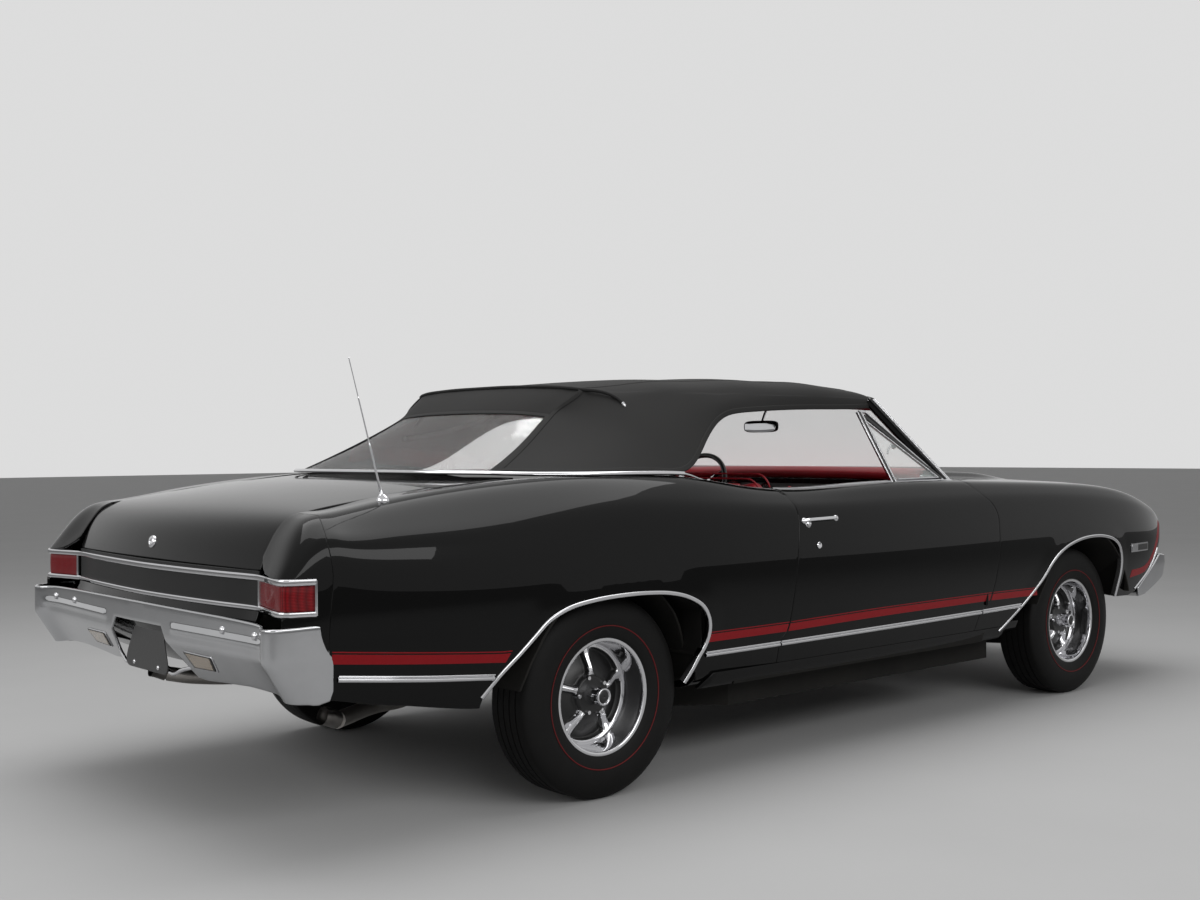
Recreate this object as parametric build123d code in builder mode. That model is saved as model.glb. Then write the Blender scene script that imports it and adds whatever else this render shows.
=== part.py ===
# Two-door convertible with its fabric top up.
# Millimetres. Front towards -Y, driver's side +X, up +Z, ground at Z = 0 under the middle of the car.
from build123d import *
from math import cos, radians, sin
import os

os.makedirs("parts", exist_ok=True)

# Overall sizes
overall_length = 5006.0
body_width = 1923.0
wheelbase = 2845.0
front_overhang = 957.6
roof_height = 1407.0
belt_height = 985.0

# Wheels
tyre_radius = 329.0
wheel_inset = 199.5         # wheel's middle plane, in from the widest point of the body
tyre_width = 205.0
rim_seat_radius = 180.0
rim_width = 178.0
stub_radius = 25.0
stub_clearance = 0.08
drum_radius = 135.0
king_pin_offset = 72.0      # from the wheel's middle plane to the steering axis
king_pin_radius = 12.0
pin_clearance = 0.3

# Body
skin = 8.0
door_thickness = 95.0
door_skin = 25.0
door_step = 18.0            # how far the door's inner block stands in from its outline
shut_gap = 10.0
panel_gap = 6.0
seat_gap = 0.3
sill_height = 360.0
floor_height = 309.0
floor_thickness = 20.0
tunnel_half_width = 140.0
tunnel_height = 450.0
axle_headroom = 201.0       # floor above the rear axle, over the wheels' middle
trunk_floor_height = 505.0
hood_inset = 216.5          # hood's side edge, in from the widest point of the body
hood_thickness = 22.0
dome_rise = 30.0
lid_inset = 306.5
lid_thickness = 22.0
lid_seam_height = 790.0
nose_inset = 161.5
cabin_inset = 281.5
floor_inset = 329.5
hinge_inset = 27.0          # door hinge line, in from the widest point of the body
hinge_pin_radius = 8.0

# Fabric top and windshield
fabric_thickness = 14.0
top_inset = 171.5           # top's side edge at the belt, in from the widest point of the body
bow_width = 30.0
bow_depth = 18.0
header_inset = 371.5
windshield_thickness = 6.0

# Bumpers
bumper_thickness = 14.0
bumper_stand_off = 18.0
plate_hole_spacing = 178.0
plate_hole_radius = 3.5
plate_hole_height = 462.0
plate_seat_depth = 50.0     # plate's seat, in from the tail
plate_panel_width = 300.0
bumper_cut_width = 370.0    # opening in front of the plate

# Frame and running gear
rail_width = 82.0
rail_depth = 100.0
rail_front_height = 440.0
rail_front_inset = 540.5    # rail's middle line, in from the widest point of the body
rail_middle_inset = 231.5
rail_rear_inset = 456.5
member_depth = 36.0
engine_clearance = 150.0    # engine's side to the front rail
tank_clearance = 144.0
tank_depth = 90.0
pipe_clearance = 105.0      # exhaust pipe's middle, in from the rear rail's middle line
axle_tube_radius = 38.0
differential_radius = 105.0
shaft_radius = 30.0
pipe_radius = 20.0
pipe_bend = 45.0

# Seats and steering wheel
seat_side_gap = 50.0        # seat's outer edge to the cabin's side
seat_middle_gap = 110.0     # seat's inner edge to the car's middle
lamp_radius = 68.0
lamp_height = 663.0
lamp_insets = (235.0, 88.0)  # each side's lamps, in from the nose's edge
hinge_heights = (520.0, 760.0)
hinge_pin_length = 100.0
steering_wheel_radius = 190.0
steering_rim_radius = 12.0
column_angle = 28.0

half_width = body_width / 2
nose_y = -overall_length / 2
tail_y = overall_length / 2
front_axle_y = nose_y + front_overhang
rear_axle_y = front_axle_y + wheelbase
rear_overhang = tail_y - rear_axle_y
wheel_x = half_width - wheel_inset
wheel_z = tyre_radius
king_pin_x = wheel_x - king_pin_offset
hinge_x = half_width - hinge_inset
hood_half_width = half_width - hood_inset
lid_half_width = half_width - lid_inset
nose_half_width = half_width - nose_inset
cabin_half_width = half_width - cabin_inset
floor_half_width = half_width - floor_inset
top_half_width = half_width - top_inset
header_half_width = half_width - header_inset
rail_front_x = half_width - rail_front_inset
rail_middle_x = half_width - rail_middle_inset
rail_rear_x = half_width - rail_rear_inset
engine_half_width = rail_front_x - rail_width / 2 - engine_clearance
pipe_x = rail_rear_x - pipe_clearance
seat_width = cabin_half_width - seat_side_gap - seat_middle_gap
seat_x = seat_middle_gap + seat_width / 2
rear_shelf_height = wheel_z + axle_headroom
member_top = rail_front_height - rail_depth + 10      # top of the member under the engine
member_foot = wheel_z - 99
roof_rise = roof_height - belt_height
reach = 2 * overall_length

door_front_y = front_axle_y + 805       # hinge line
door_rear_y = rear_axle_y - 862         # top of the rear shut line
cowl_y = front_axle_y + 655             # rear edge of the hood
firewall_y = cowl_y + 20
kick_start_y = rear_axle_y - 430
kick_end_y = rear_axle_y - 150
lid_front_y = rear_axle_y + 0.45 * rear_overhang
shaft_front = (0, firewall_y + 370, 278)
shaft_rear = (0, rear_axle_y - differential_radius - seat_gap, wheel_z)
steering_wheel_at = (seat_x + 10, door_front_y + 400, 925.0)

# Side view of the body: station, height
side_rows = [
    (-0.60, 395), (-0.68, 480), (-0.83, 560), (-0.91, 680), (-0.934, 750), (-0.892, 800),
    (-0.776, 845), (-0.571, 900), (-0.373, 936), (-0.09, 962), (0.09, 975), (0.30, 985),
    (0.697, 985), (0.81, 1012), (0.86, 1036), (1.166, 1040), (1.39, 1030), (1.65, 1000),
    (1.82, 964), (1.918, 915), (1.934, 790), (1.973, 736), (1.96, 640), (1.914, 540),
    (1.848, 470), (1.784, 440), (1.413, 352), (1.25, 309), (0.25, 309), (-0.30, 330),
]
# Plan view of the body: station, inset from the half width
plan_rows = [
    (-0.981, 700), (-0.965, 261), (-0.91, 161), (-0.81, 93), (-0.684, 56), (-0.475, 36), (0, 16),
    (0.297, 5), (0.79, 0), (1, 4), (1.5, 21), (1.823, 56), (1.947, 100), (1.972, 190), (1.985, 700),
]
# Cross-section of the body side: inset from the half width, height
section_rows = [
    (81, -400), (81, 300), (56, 370), (31, 440), (6, 560), (0, 660), (11, 800), (56, 880),
    (111, 975), (185, 1040), (185, 1800),
]
# Fabric top, side view: station, share of the roof's rise
roof_rows = [
    (0.383, -0.4), (0.383, 0.84), (0.395, 0.932), (0.437, 0.962), (0.515, 0.984), (0.582, 1.0),
    (0.70, 0.976), (0.827, 0.943), (0.895, 0.912), (0.96, 0.862), (1.0, 0.655), (1.37, 0.155),
    (1.37, -0.4),
]
# Fabric top, cross-section: inset from its half width at the belt, share of the roof's rise
roof_section_rows = [(0, -0.4), (0, 0.12), (16, 0.15), (100, 0.45), (178, 0.84), (215, 0.94), (290, 0.99)]
# Fabric top, plan view: station, inset from its half width at the belt
roof_plan_rows = [(0.383, 180), (0.45, 160), (0.86, 0), (1.16, 0), (1.28, 60), (1.355, 330), (1.371, 700)]
# Side window opening under the top: station, share of the roof's rise
window_rows = [
    (0.30, -0.5), (0.30, 0.80), (0.401, 0.80), (0.455, 0.72), (0.60, 0.706), (0.65, 0.699),
    (0.695, 0.66), (0.732, 0.61), (0.742, 0.5), (0.842, 0.155), (0.842, -0.5),
]
# Door edges: offset from the hinge line or from the rear shut line, height
door_front_rows = [(26, 1000), (12, 945), (-60, 886), (-88, 847), (-82, 777), (-77, 694), (-60, 612),
                   (-43, 529), (-20, 477), (20, 446), (42, 372)]
door_rear_rows = [(98, 372), (97, 447), (70, 480), (57, 587), (39, 692), (28, 769), (15, 832),
                  (4, 885), (0, 938), (0, 1000)]
# Wheel arches: offset from the axle and height, both as shares of the tyre's radius
front_arch_rows = [(2.3, 0.4), (2.07, 0.985), (1.56, 1.35), (1.19, 1.66), (0.94, 1.89), (0.30, 2.13),
                   (-0.07, 2.17), (-0.45, 2.155), (-0.72, 2.09), (-0.87, 2.0), (-0.95, 1.66),
                   (-0.95, 0.4)]
rear_arch_rows = [(-2.0, 0.4), (-1.6, 1.22), (-0.885, 1.88), (-0.65, 1.94), (-0.04, 2.01),
                  (0.29, 2.01), (0.62, 1.98), (0.85, 1.93), (1.04, 1.83), (1.14, 1.70), (1.16, 1.565),
                  (1.085, 1.385), (0.88, 0.99), (0.7, 0.4)]
# Underside that the frame carries: y, height
underbody_rows = [
    (kick_start_y, floor_height), (kick_end_y, rear_shelf_height), (rear_axle_y + 260, rear_shelf_height),
    (rear_axle_y + 420, trunk_floor_height),
]

made = {}


def at(station):
    """Y of a station: -1 nose, 0 front axle, 1 rear axle, 2 tail."""
    if station < 0:
        return front_axle_y + station * front_overhang
    if station < 1:
        return front_axle_y + station * wheelbase
    return rear_axle_y + (station - 1) * rear_overhang


def roof_z(share):
    """Height of a point of the top: 0 at the belt, 1 at the roof's crown."""
    return belt_height + share * roof_rise


def prism_x(points, start, stop):
    """Solid with the given (y, z) outline between two x planes."""
    with BuildPart(mode=Mode.PRIVATE) as solid:
        with BuildSketch(Plane.YZ.offset(start)):
            Polygon(*points, align=None)
        extrude(amount=stop - start)
    return solid.part


def across(points, half):
    """Solid with the given (y, z) outline across the car."""
    return prism_x(points, -half, half)


def block(x_range, y_range, z_range):
    """Box between pairs of coordinates."""
    middle = [(low + high) / 2 for low, high in (x_range, y_range, z_range)]
    size = [high - low for low, high in (x_range, y_range, z_range)]
    return Pos(*middle) * Box(*size, mode=Mode.PRIVATE)


def middle_block(half, y_range, z_range):
    """Box across the middle of the car."""
    return block((-half, half), y_range, z_range)


def bar(start, stop, radius):
    """Round bar from one point to another."""
    axis = Vector(*stop) - Vector(*start)
    with BuildPart(mode=Mode.PRIVATE) as solid:
        with BuildSketch(Plane(origin=start, z_dir=axis)):
            Circle(radius)
        extrude(amount=axis.length)
    return solid.part


def symmetric(rows):
    """Closed outline from (half width, other) rows, left and right."""
    return [(-half, other) for half, other in rows] + [(half, other) for half, other in reversed(rows)]


def plan_prism(inset):
    """Body's plan view, pulled in by inset."""
    with BuildPart(mode=Mode.PRIVATE) as prism:
        with BuildSketch(Plane.XY.offset(-50)):
            rows = [(half_width - pull, at(station)) for station, pull in plan_rows]
            Polygon(*symmetric(rows), align=None)
            offset(amount=-inset, kind=Kind.INTERSECTION)
        extrude(amount=2 * roof_height)
    return prism.part


def side_walls(inset):
    """Body walls with no top or bottom, pulled in by inset."""
    with BuildPart(mode=Mode.PRIVATE) as prism:
        with BuildSketch(Plane.XZ.offset(-reach / 2)):
            rows = [(half_width - pull, height) for pull, height in section_rows]
            Polygon(*symmetric(rows), align=None)
            offset(amount=-inset, kind=Kind.INTERSECTION)
        extrude(amount=reach)
    return plan_prism(inset) & prism.part


def side_prism(inset):
    """Body's side view across its whole width, pulled in by inset."""
    with BuildPart(mode=Mode.PRIVATE) as prism:
        with BuildSketch(Plane.YZ.offset(-half_width)):
            Polygon(*[(at(station), height) for station, height in side_rows], align=None)
            offset(amount=-inset, kind=Kind.INTERSECTION)
        extrude(amount=body_width)
    return prism.part


def roof_solid(inset):
    """Space under the fabric top's outer face, pulled in by inset."""
    with BuildPart(mode=Mode.PRIVATE) as solid:
        with BuildSketch(Plane.YZ.offset(-half_width)):
            Polygon(*[(at(station), roof_z(share)) for station, share in roof_rows], align=None)
            offset(amount=-inset, kind=Kind.INTERSECTION)
        extrude(amount=body_width)
        with BuildSketch(Plane.XZ.offset(-reach / 2)):
            rows = [(top_half_width - pull, roof_z(share)) for pull, share in roof_section_rows]
            rows[-1] = (rows[-1][0], roof_height + inset)
            Polygon(*symmetric(rows), align=None)
            offset(amount=-inset, kind=Kind.INTERSECTION)
        extrude(amount=reach, mode=Mode.INTERSECT)
        with BuildSketch(Plane.XY):
            rows = [(top_half_width - pull, at(station)) for station, pull in roof_plan_rows]
            Polygon(*symmetric(rows), align=None)
            offset(amount=-inset, kind=Kind.INTERSECTION)
        extrude(amount=2 * roof_height, mode=Mode.INTERSECT)
    return solid.part


def arch(axle_y, rows):
    """Wheel arch opening on both sides."""
    points = [(axle_y + along * tyre_radius, up * tyre_radius) for along, up in rows]
    return across(points, half_width)


def door_outline(inset):
    """Door's side view, pulled in by inset from its shut lines."""
    front = [(door_front_y + along + inset, height) for along, height in door_front_rows]
    rear = [(door_rear_y + along - inset, height) for along, height in door_rear_rows]
    front[-1] = (front[-1][0], front[-1][1] + inset)
    rear[0] = (rear[0][0], rear[0][1] + inset)
    return front + rear


def finish(node, part):
    """Label a finished piece and write its file."""
    part.label = node
    export_step(part, f"parts/{node}.step")
    made[node] = part


def finish_pair(name, part):
    """Write a left piece and its mirror image."""
    finish(f"{name}_left", part)
    finish(f"{name}_right", mirror(part, about=Plane.YZ))


def both_sides(part):
    """The piece with its mirror image, as separate solids."""
    return Compound(children=[*part.solids(), *mirror(part, about=Plane.YZ).solids()])


side_profile = side_prism(0)
solid_body = side_walls(0) & side_profile
body_skin = solid_body - (side_walls(skin) & side_prism(skin))
arches = arch(front_axle_y, front_arch_rows) + arch(rear_axle_y, rear_arch_rows)
door_opening = across(door_outline(-shut_gap), half_width)
hood_front_y = at(-0.88)
nose_zone = middle_block(nose_half_width, (nose_y, at(-0.80)), (0, 785)) + middle_block(
    nose_half_width, (nose_y, hood_front_y - panel_gap), (780, roof_height))

# Front fenders: side skin with the arch cut, and the strip beside the hood
with BuildPart() as front_fender:
    add(body_skin)
    add(block((hood_half_width + panel_gap, half_width), (nose_y, door_front_y + 60),
              (sill_height, roof_height)), mode=Mode.INTERSECT)
    add(door_opening, mode=Mode.SUBTRACT)
    add(arches, mode=Mode.SUBTRACT)
    add(nose_zone, mode=Mode.SUBTRACT)
finish_pair("front_fender", front_fender.part)

# Quarter panels: skin, thick beside the rear seat, cut for the arch, lid and tail lamps
lamp_outline = [(tail_y - 175, 682), (tail_y + 50, 682), (tail_y + 50, 776), (tail_y - 130, 776)]
lamp_zone = prism_x(lamp_outline, lid_half_width - 35, half_width)
lamp_zones = lamp_zone + mirror(lamp_zone, about=Plane.YZ)
seat_side = solid_body - side_walls(door_thickness)
seat_side = seat_side & block((0, half_width), (door_rear_y - 30, kick_end_y), (sill_height, roof_height))
with BuildPart() as quarter_panel:
    add(body_skin)
    add(block((lid_half_width + panel_gap, half_width), (door_rear_y - 30, tail_y),
              (sill_height, roof_height)), mode=Mode.INTERSECT)
    add(seat_side)
    add(door_opening, mode=Mode.SUBTRACT)
    add(arches, mode=Mode.SUBTRACT)
    add(lamp_zones, mode=Mode.SUBTRACT)
finish_pair("quarter_panel", quarter_panel.part)

# Nose panel around the grille, with a ledge under the hood's front edge
grille_opening = middle_block(nose_half_width - 15, (nose_y, at(-0.80)), (590, 737))
hood_underside = side_prism(hood_thickness + seat_gap) - side_prism(hood_thickness + 12)
with BuildPart() as nose_panel:
    add(body_skin)
    add(nose_zone, mode=Mode.INTERSECT)
    add(grille_opening, mode=Mode.SUBTRACT)
    ledge_half_width = nose_half_width - 100
    ledge_range = (hood_front_y - 14, hood_front_y + 45)
    add(hood_underside & middle_block(ledge_half_width, ledge_range, (745, roof_height)))
    web = side_profile - side_prism(hood_thickness + 12)
    web_range = (hood_front_y - 14, hood_front_y - panel_gap)
    add(web & middle_block(ledge_half_width, web_range, (745, roof_height)))
finish("nose_panel", nose_panel.part)

# Grille plate with round holes, and the four lamps in them
lamp_places = [(side * (nose_half_width - inset), lamp_height) for side in (-1, 1) for inset in lamp_insets]
grille_y = at(-0.87)
with BuildPart() as grille:
    add(middle_block(nose_half_width - 15 - seat_gap, (grille_y, grille_y + 14),
                     (590 + seat_gap, 737 - seat_gap)))
    for x, z in lamp_places:
        add(bar((x, grille_y - 5, z), (x, grille_y + 20, z), lamp_radius + seat_gap), mode=Mode.SUBTRACT)
finish("grille", grille.part)
lamps = [bar((x, grille_y - 25, z), (x, grille_y + 60, z), lamp_radius) for x, z in lamp_places]
finish("headlamps", Compound(children=[lamp.solid() for lamp in lamps]))

# Hood with two raised domes
dome_side = [(at(-0.32), 900), (at(-0.32), 938), (at(-0.12), 960 + dome_rise), (at(0.05), 973 + dome_rise),
             (cowl_y - 45, 980 + dome_rise), (cowl_y - 12, 982), (cowl_y - 12, 955)]
with BuildPart() as hood:
    add(solid_body - side_prism(hood_thickness))
    add(middle_block(hood_half_width, (hood_front_y, cowl_y - 0.5), (700, roof_height)), mode=Mode.INTERSECT)
    for side in (-1, 1):
        inner, outer = sorted((side * 130.0, side * 450.0))
        dome = prism_x(dome_side, inner, outer) - side_prism(hood_thickness)
        add(dome)
finish("hood", hood.part)

# Cowl: firewall, hinge pillars with the door pins, and the strip under the windshield
with BuildPart() as cowl:
    add(middle_block(cabin_half_width, (firewall_y, firewall_y + 20),
                     (floor_height + floor_thickness, belt_height - 12)))
    add(middle_block(150, (firewall_y - 5, firewall_y + 25), (floor_height, 450)), mode=Mode.SUBTRACT)
    strip = solid_body - side_prism(20)
    strip_y = cowl_y + panel_gap
    add(strip & middle_block(hood_half_width + panel_gap, (strip_y, door_front_y + 20), (900, 1100)))
    add(strip & middle_block(cabin_half_width, (strip_y, door_front_y + 150), (900, 1100)))
    for side in (-1, 1):
        inner, outer = sorted((side * cabin_half_width, side * (hinge_x - 140)))
        add(block((inner, outer), (firewall_y, door_front_y + 30), (floor_height + floor_thickness, 840)))
        for hinge_z in hinge_heights:
            pin_top, pin_foot = hinge_z + hinge_pin_length / 2, hinge_z - hinge_pin_length / 2
            add(bar((side * hinge_x, door_front_y, pin_foot), (side * hinge_x, door_front_y, pin_top),
                    hinge_pin_radius))
            inner, outer = sorted((side * (hinge_x - 145), side * hinge_x))
            add(block((inner, outer), (door_front_y - 7, door_front_y + 7), (hinge_z - 20, hinge_z + 20)))
finish("cowl", cowl.part)

# Doors: outer skin, thicker inner block, pocket for each hinge arm, and the vent window's frame
vent_lean = Vector(-178, 0, 284).normalized()
vent_foot = Vector(half_width - 162, 0, belt_height + 2)
vent_plane = Plane(origin=vent_foot, x_dir=(0, 1, 0), z_dir=Vector(0, 1, 0).cross(vent_lean))
vent_points = [(door_front_y + 132, -12), (door_front_y + 436, -12), (door_front_y + 455, 325),
               (door_front_y + 425, 325)]
vent_bar = 12.0


def vent_prism(inset, thickness):
    """Vent window's outline in its leaning plane, pulled in by inset."""
    with BuildPart(mode=Mode.PRIVATE) as prism:
        with BuildSketch(vent_plane):
            Polygon(*vent_points, align=None)
            offset(amount=-inset, kind=Kind.INTERSECTION)
        extrude(amount=thickness / 2, both=True)
    return prism.part


with BuildPart() as door:
    add(solid_body - side_walls(door_skin))
    add(prism_x(door_outline(0), 0, half_width), mode=Mode.INTERSECT)
    inner_block = (solid_body - side_walls(door_thickness)) & prism_x(door_outline(door_step), 0, half_width)
    pillar_notch = block((0, half_width - 150), (door_front_y - 100, door_front_y + 125), (845, roof_height))
    add(inner_block - pillar_notch)
    add(vent_prism(0, 18) - vent_prism(vent_bar, 30))
    for hinge_z in hinge_heights:
        add(block((hinge_x - 150, hinge_x + 12), (door_front_y - 110, door_front_y + 14),
                  (hinge_z - 30, hinge_z + 30)), mode=Mode.SUBTRACT)
        pin_reach = hinge_pin_length / 2 + 6
        add(bar((hinge_x, door_front_y, hinge_z - pin_reach), (hinge_x, door_front_y, hinge_z + pin_reach),
                hinge_pin_radius + pin_clearance), mode=Mode.SUBTRACT)
finish_pair("door", door.part)
finish_pair("vent_glass", vent_prism(vent_bar, 5))

# Windshield: frame with two pillars and a header, and the curved glass between them
glass_foot = (door_front_y + 40, belt_height + seat_gap)      # y at the pillars, height
glass_head = (door_front_y + 312, belt_height + 0.762 * roof_rise)


def glass_band(grow, extra):
    """Curved band in the windshield's plane; grow thickens it, extra widens it."""
    with BuildPart(mode=Mode.PRIVATE) as band:
        foot_half, head_half = top_half_width - 40 + extra, header_half_width - 30 + extra
        for (y, z), half, bow in ((glass_foot, foot_half, 100), (glass_head, head_half, 55)):
            with BuildSketch(Plane.XY.offset(z)):
                with BuildLine():
                    ThreePointArc((-half, y - grow), (0, y - bow - grow), (half, y - grow))
                    Line((half, y - grow), (half, y + windshield_thickness + grow))
                    ThreePointArc((half, y + windshield_thickness + grow),
                                  (0, y - bow + windshield_thickness + grow),
                                  (-half, y + windshield_thickness + grow))
                    Line((-half, y + windshield_thickness + grow), (-half, y - grow))
                make_face()
        loft()
    return band.part


def pillar():
    """Left windshield pillar, leaning in and back."""
    with BuildPart(mode=Mode.PRIVATE) as post:
        for x, y, z, width, depth in (
            (half_width - 216, door_front_y + 72, 841, 34, 84),
            (top_half_width - 22, door_front_y + 72, belt_height + 6, 36, 84),
        ):
            with BuildSketch(Plane.XY.offset(z)):
                with Locations((x, y)):
                    Rectangle(width, depth)
        loft()
        for x, y, z, width, depth in (
            (top_half_width - 22, door_front_y + 72, belt_height + 6, 36, 84),
            (header_half_width - 2, door_front_y + 350, glass_head[1], 36, 84),
        ):
            with BuildSketch(Plane.XY.offset(z)):
                with Locations((x, y)):
                    Rectangle(width, depth)
        loft()
    return post.part


with BuildPart() as windshield_frame:
    for post in (pillar(), mirror(pillar(), about=Plane.YZ)):
        add(post)
    header_low, header_high = glass_head[1], glass_head[1] + 32
    with BuildSketch(Plane.XY.offset(header_low)):
        with BuildLine():
            half, y = header_half_width + 16, door_front_y + 308
            ThreePointArc((-half, y), (0, y - 55), (half, y))
            Line((half, y), (half, y + 50))
            ThreePointArc((half, y + 50), (0, y + 10), (-half, y + 50))
            Line((-half, y + 50), (-half, y))
        make_face()
    extrude(amount=header_high - header_low)
finish("windshield_frame", windshield_frame.part)
windshield_glass = glass_band(0, 0) - windshield_frame.part
finish("windshield_glass", windshield_glass)

# Fabric top, its bows and rails, and the rear window
top_foot = block((-half_width, half_width), (nose_y, tail_y), (0, 1040 + seat_gap))
window_opening = across([(at(station), roof_z(share)) for station, share in window_rows], half_width)
rear_window_rows = [(top_half_width - 201, 1062.0), (top_half_width - 325, 1246.0)]


def rear_window_prism(grow):
    """Opening for the rear window, seen from behind."""
    with BuildPart(mode=Mode.PRIVATE) as prism:
        with BuildSketch(Plane.XZ.offset(-(kick_end_y + 50))):
            Polygon(*symmetric(rear_window_rows), align=None)
            offset(amount=grow, kind=Kind.INTERSECTION)
        extrude(amount=-1000)
    return prism.part


with BuildPart() as convertible_top:
    add(roof_solid(0) - roof_solid(fabric_thickness))
    add(top_foot, mode=Mode.SUBTRACT)
    add(window_opening, mode=Mode.SUBTRACT)
    add(rear_window_prism(0), mode=Mode.SUBTRACT)
    add(windshield_frame.part, mode=Mode.SUBTRACT)
    add(windshield_glass, mode=Mode.SUBTRACT)
finish("convertible_top", convertible_top.part)
finish("rear_window", (roof_solid(5) - roof_solid(8)) & rear_window_prism(-seat_gap))

lining = roof_solid(fabric_thickness + seat_gap) - roof_solid(fabric_thickness + bow_depth)
bow_rows = [at(0.50), at(0.68), at(0.86)]
with BuildPart() as top_frame:
    for bow_y in bow_rows:
        add(lining & middle_block(half_width, (bow_y, bow_y + bow_width), (roof_z(0.72), roof_height)))
    rail_zone = middle_block(half_width, (at(0.43), at(0.86) + bow_width), (roof_z(0.72), roof_z(0.86)))
    rail_zone = rail_zone - middle_block(top_half_width - 230, (nose_y, tail_y), (0, roof_height))
    add(lining & rail_zone)
finish("top_frame", top_frame.part)

# Deck between the top and the trunk lid, the lid, the tail panel and the tail lamps
with BuildPart() as deck_panel:
    add(solid_body - side_prism(12))
    add(middle_block(lid_half_width + panel_gap, (at(1.34), lid_front_y - panel_gap), (900, roof_height)),
        mode=Mode.INTERSECT)
finish("deck_panel", deck_panel.part)

with BuildPart() as trunk_lid:
    add(solid_body - side_prism(lid_thickness))
    add(middle_block(lid_half_width, (lid_front_y, tail_y), (lid_seam_height, roof_height)),
        mode=Mode.INTERSECT)
finish("trunk_lid", trunk_lid.part)

lid_rest = side_prism(lid_thickness + seat_gap) - side_prism(lid_thickness + 12)
lid_rest_range = (at(1.8754), tail_y)
lid_rest_half_width = lid_half_width - 55
with BuildPart() as tail_panel:
    add(body_skin)
    add(middle_block(lid_half_width + panel_gap, (at(1.8), tail_y),
                     (trunk_floor_height + floor_thickness, lid_seam_height - panel_gap)),
        mode=Mode.INTERSECT)
    add(lamp_zones, mode=Mode.SUBTRACT)
    add(lid_rest & middle_block(lid_rest_half_width, lid_rest_range, (760, 830)))
    bridge = solid_body - side_prism(lid_thickness + 12)
    add(bridge & middle_block(lid_rest_half_width, lid_rest_range, (760, lid_seam_height - panel_gap)))
finish("tail_panel", tail_panel.part)
tail_lamp = (solid_body - (side_walls(40) & side_prism(40))) & lamp_zone
finish("tail_lamps", both_sides(tail_lamp))

# Floor pan: stepped floor with its tunnel and sills, the divider behind the rear seat, and the toe board
floor_rows = [(firewall_y, floor_height), *underbody_rows, (at(1.9086), trunk_floor_height)]
floor_band = floor_rows + [(y, z + floor_thickness) for y, z in reversed(floor_rows)]
with BuildPart() as floor_pan:
    add(across(floor_band, floor_half_width))
    sill = solid_body & middle_block(half_width, (at(0.27), at(0.80)), (floor_height, sill_height))
    add(sill - middle_block(half_width - 165, (nose_y, tail_y), (floor_height + floor_thickness, 1000)))
    add(middle_block(tunnel_half_width, (firewall_y, kick_start_y + 75), (floor_height, tunnel_height)))
    add(middle_block(tunnel_half_width - 15, (firewall_y - 5, kick_start_y + 60),
                     (floor_height - 10, tunnel_height - 18)), mode=Mode.SUBTRACT)
    add(bar(shaft_front, shaft_rear, shaft_radius + 8), mode=Mode.SUBTRACT)
    divider_y = rear_axle_y + 262
    add(middle_block(floor_half_width - 32, (divider_y, divider_y + 8), (rear_shelf_height, 985)))
finish("floor_pan", floor_pan.part)

# Wheelhouses: half drums over each wheel, with an inner wall
front_house_radius = tyre_radius + 81
rear_house_radius = tyre_radius + 60


def wheelhouse(axle_y, radius, inner_x, foot):
    """Left wheelhouse from its inner wall out to the body's skin."""
    def drum(size, start):
        return bar((start, axle_y, tyre_radius), (half_width, axle_y, tyre_radius), size)
    shell = drum(radius + skin, inner_x) - drum(radius, inner_x + skin)
    shell = shell & block((0, half_width), (nose_y, tail_y), (foot, roof_height))
    return shell & side_walls(skin) & side_prism(skin)


rail_edge = rail_front_x + rail_width / 2
front_house = wheelhouse(front_axle_y, front_house_radius, rail_edge - skin, wheel_z + 111)
rear_house = wheelhouse(rear_axle_y, rear_house_radius, floor_half_width, wheel_z + 71)
rear_house = rear_house - seat_side
houses = [*both_sides(front_house).solids(), *both_sides(rear_house).solids()]
finish("wheelhouses", Compound(children=houses))

# Frame: a rail each side that follows the underbody, and the members across
rail_end_y = tail_y - 260
rail_top_rows = [(at(-0.80), rail_front_height), (front_axle_y + 300, rail_front_height),
                 (front_axle_y + 560, floor_height), *underbody_rows, (rail_end_y, trunk_floor_height)]
rail_side = rail_top_rows + [(y, z - rail_depth) for y, z in reversed(rail_top_rows)]
rail_side[len(rail_top_rows)] = (rail_end_y, trunk_floor_height - rail_depth / 2)
rail_plan_rows = [(at(-0.80), rail_front_x), (front_axle_y + 330, rail_front_x),
                  (front_axle_y + 560, rail_middle_x), (kick_start_y - 230, rail_middle_x),
                  (kick_start_y + 30, rail_rear_x), (rail_end_y, rail_rear_x)]
rail_plan = [(x - rail_width / 2, y) for y, x in rail_plan_rows]
rail_plan += [(x + rail_width / 2, y) for y, x in reversed(rail_plan_rows)]
with BuildPart(mode=Mode.PRIVATE) as rail:
    with BuildSketch(Plane.XY):
        Polygon(*rail_plan, align=None)
    extrude(amount=1000)
    add(prism_x(rail_side, 0, half_width), mode=Mode.INTERSECT)
rail_foot = floor_height - rail_depth
with BuildPart() as frame:
    add(rail.part)
    add(mirror(rail.part, about=Plane.YZ))
    member_range = (rail_foot, rail_foot + member_depth)
    add(middle_block(rail_front_x, (at(-0.80), at(-0.80) + 50), (rail_front_height - 80, rail_front_height)))
    add(middle_block(rail_front_x, (front_axle_y - 70, front_axle_y + 70), (member_foot, member_top)))
    add(middle_block(rail_middle_x, (firewall_y + 310, firewall_y + 370), member_range))
    add(middle_block(rail_rear_x, (kick_start_y - 60, kick_start_y - 10), member_range))
    add(middle_block(rail_rear_x, (rail_end_y - 50, rail_end_y),
                     (trunk_floor_height - rail_depth / 2, trunk_floor_height)))
finish("frame", frame.part)

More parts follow.
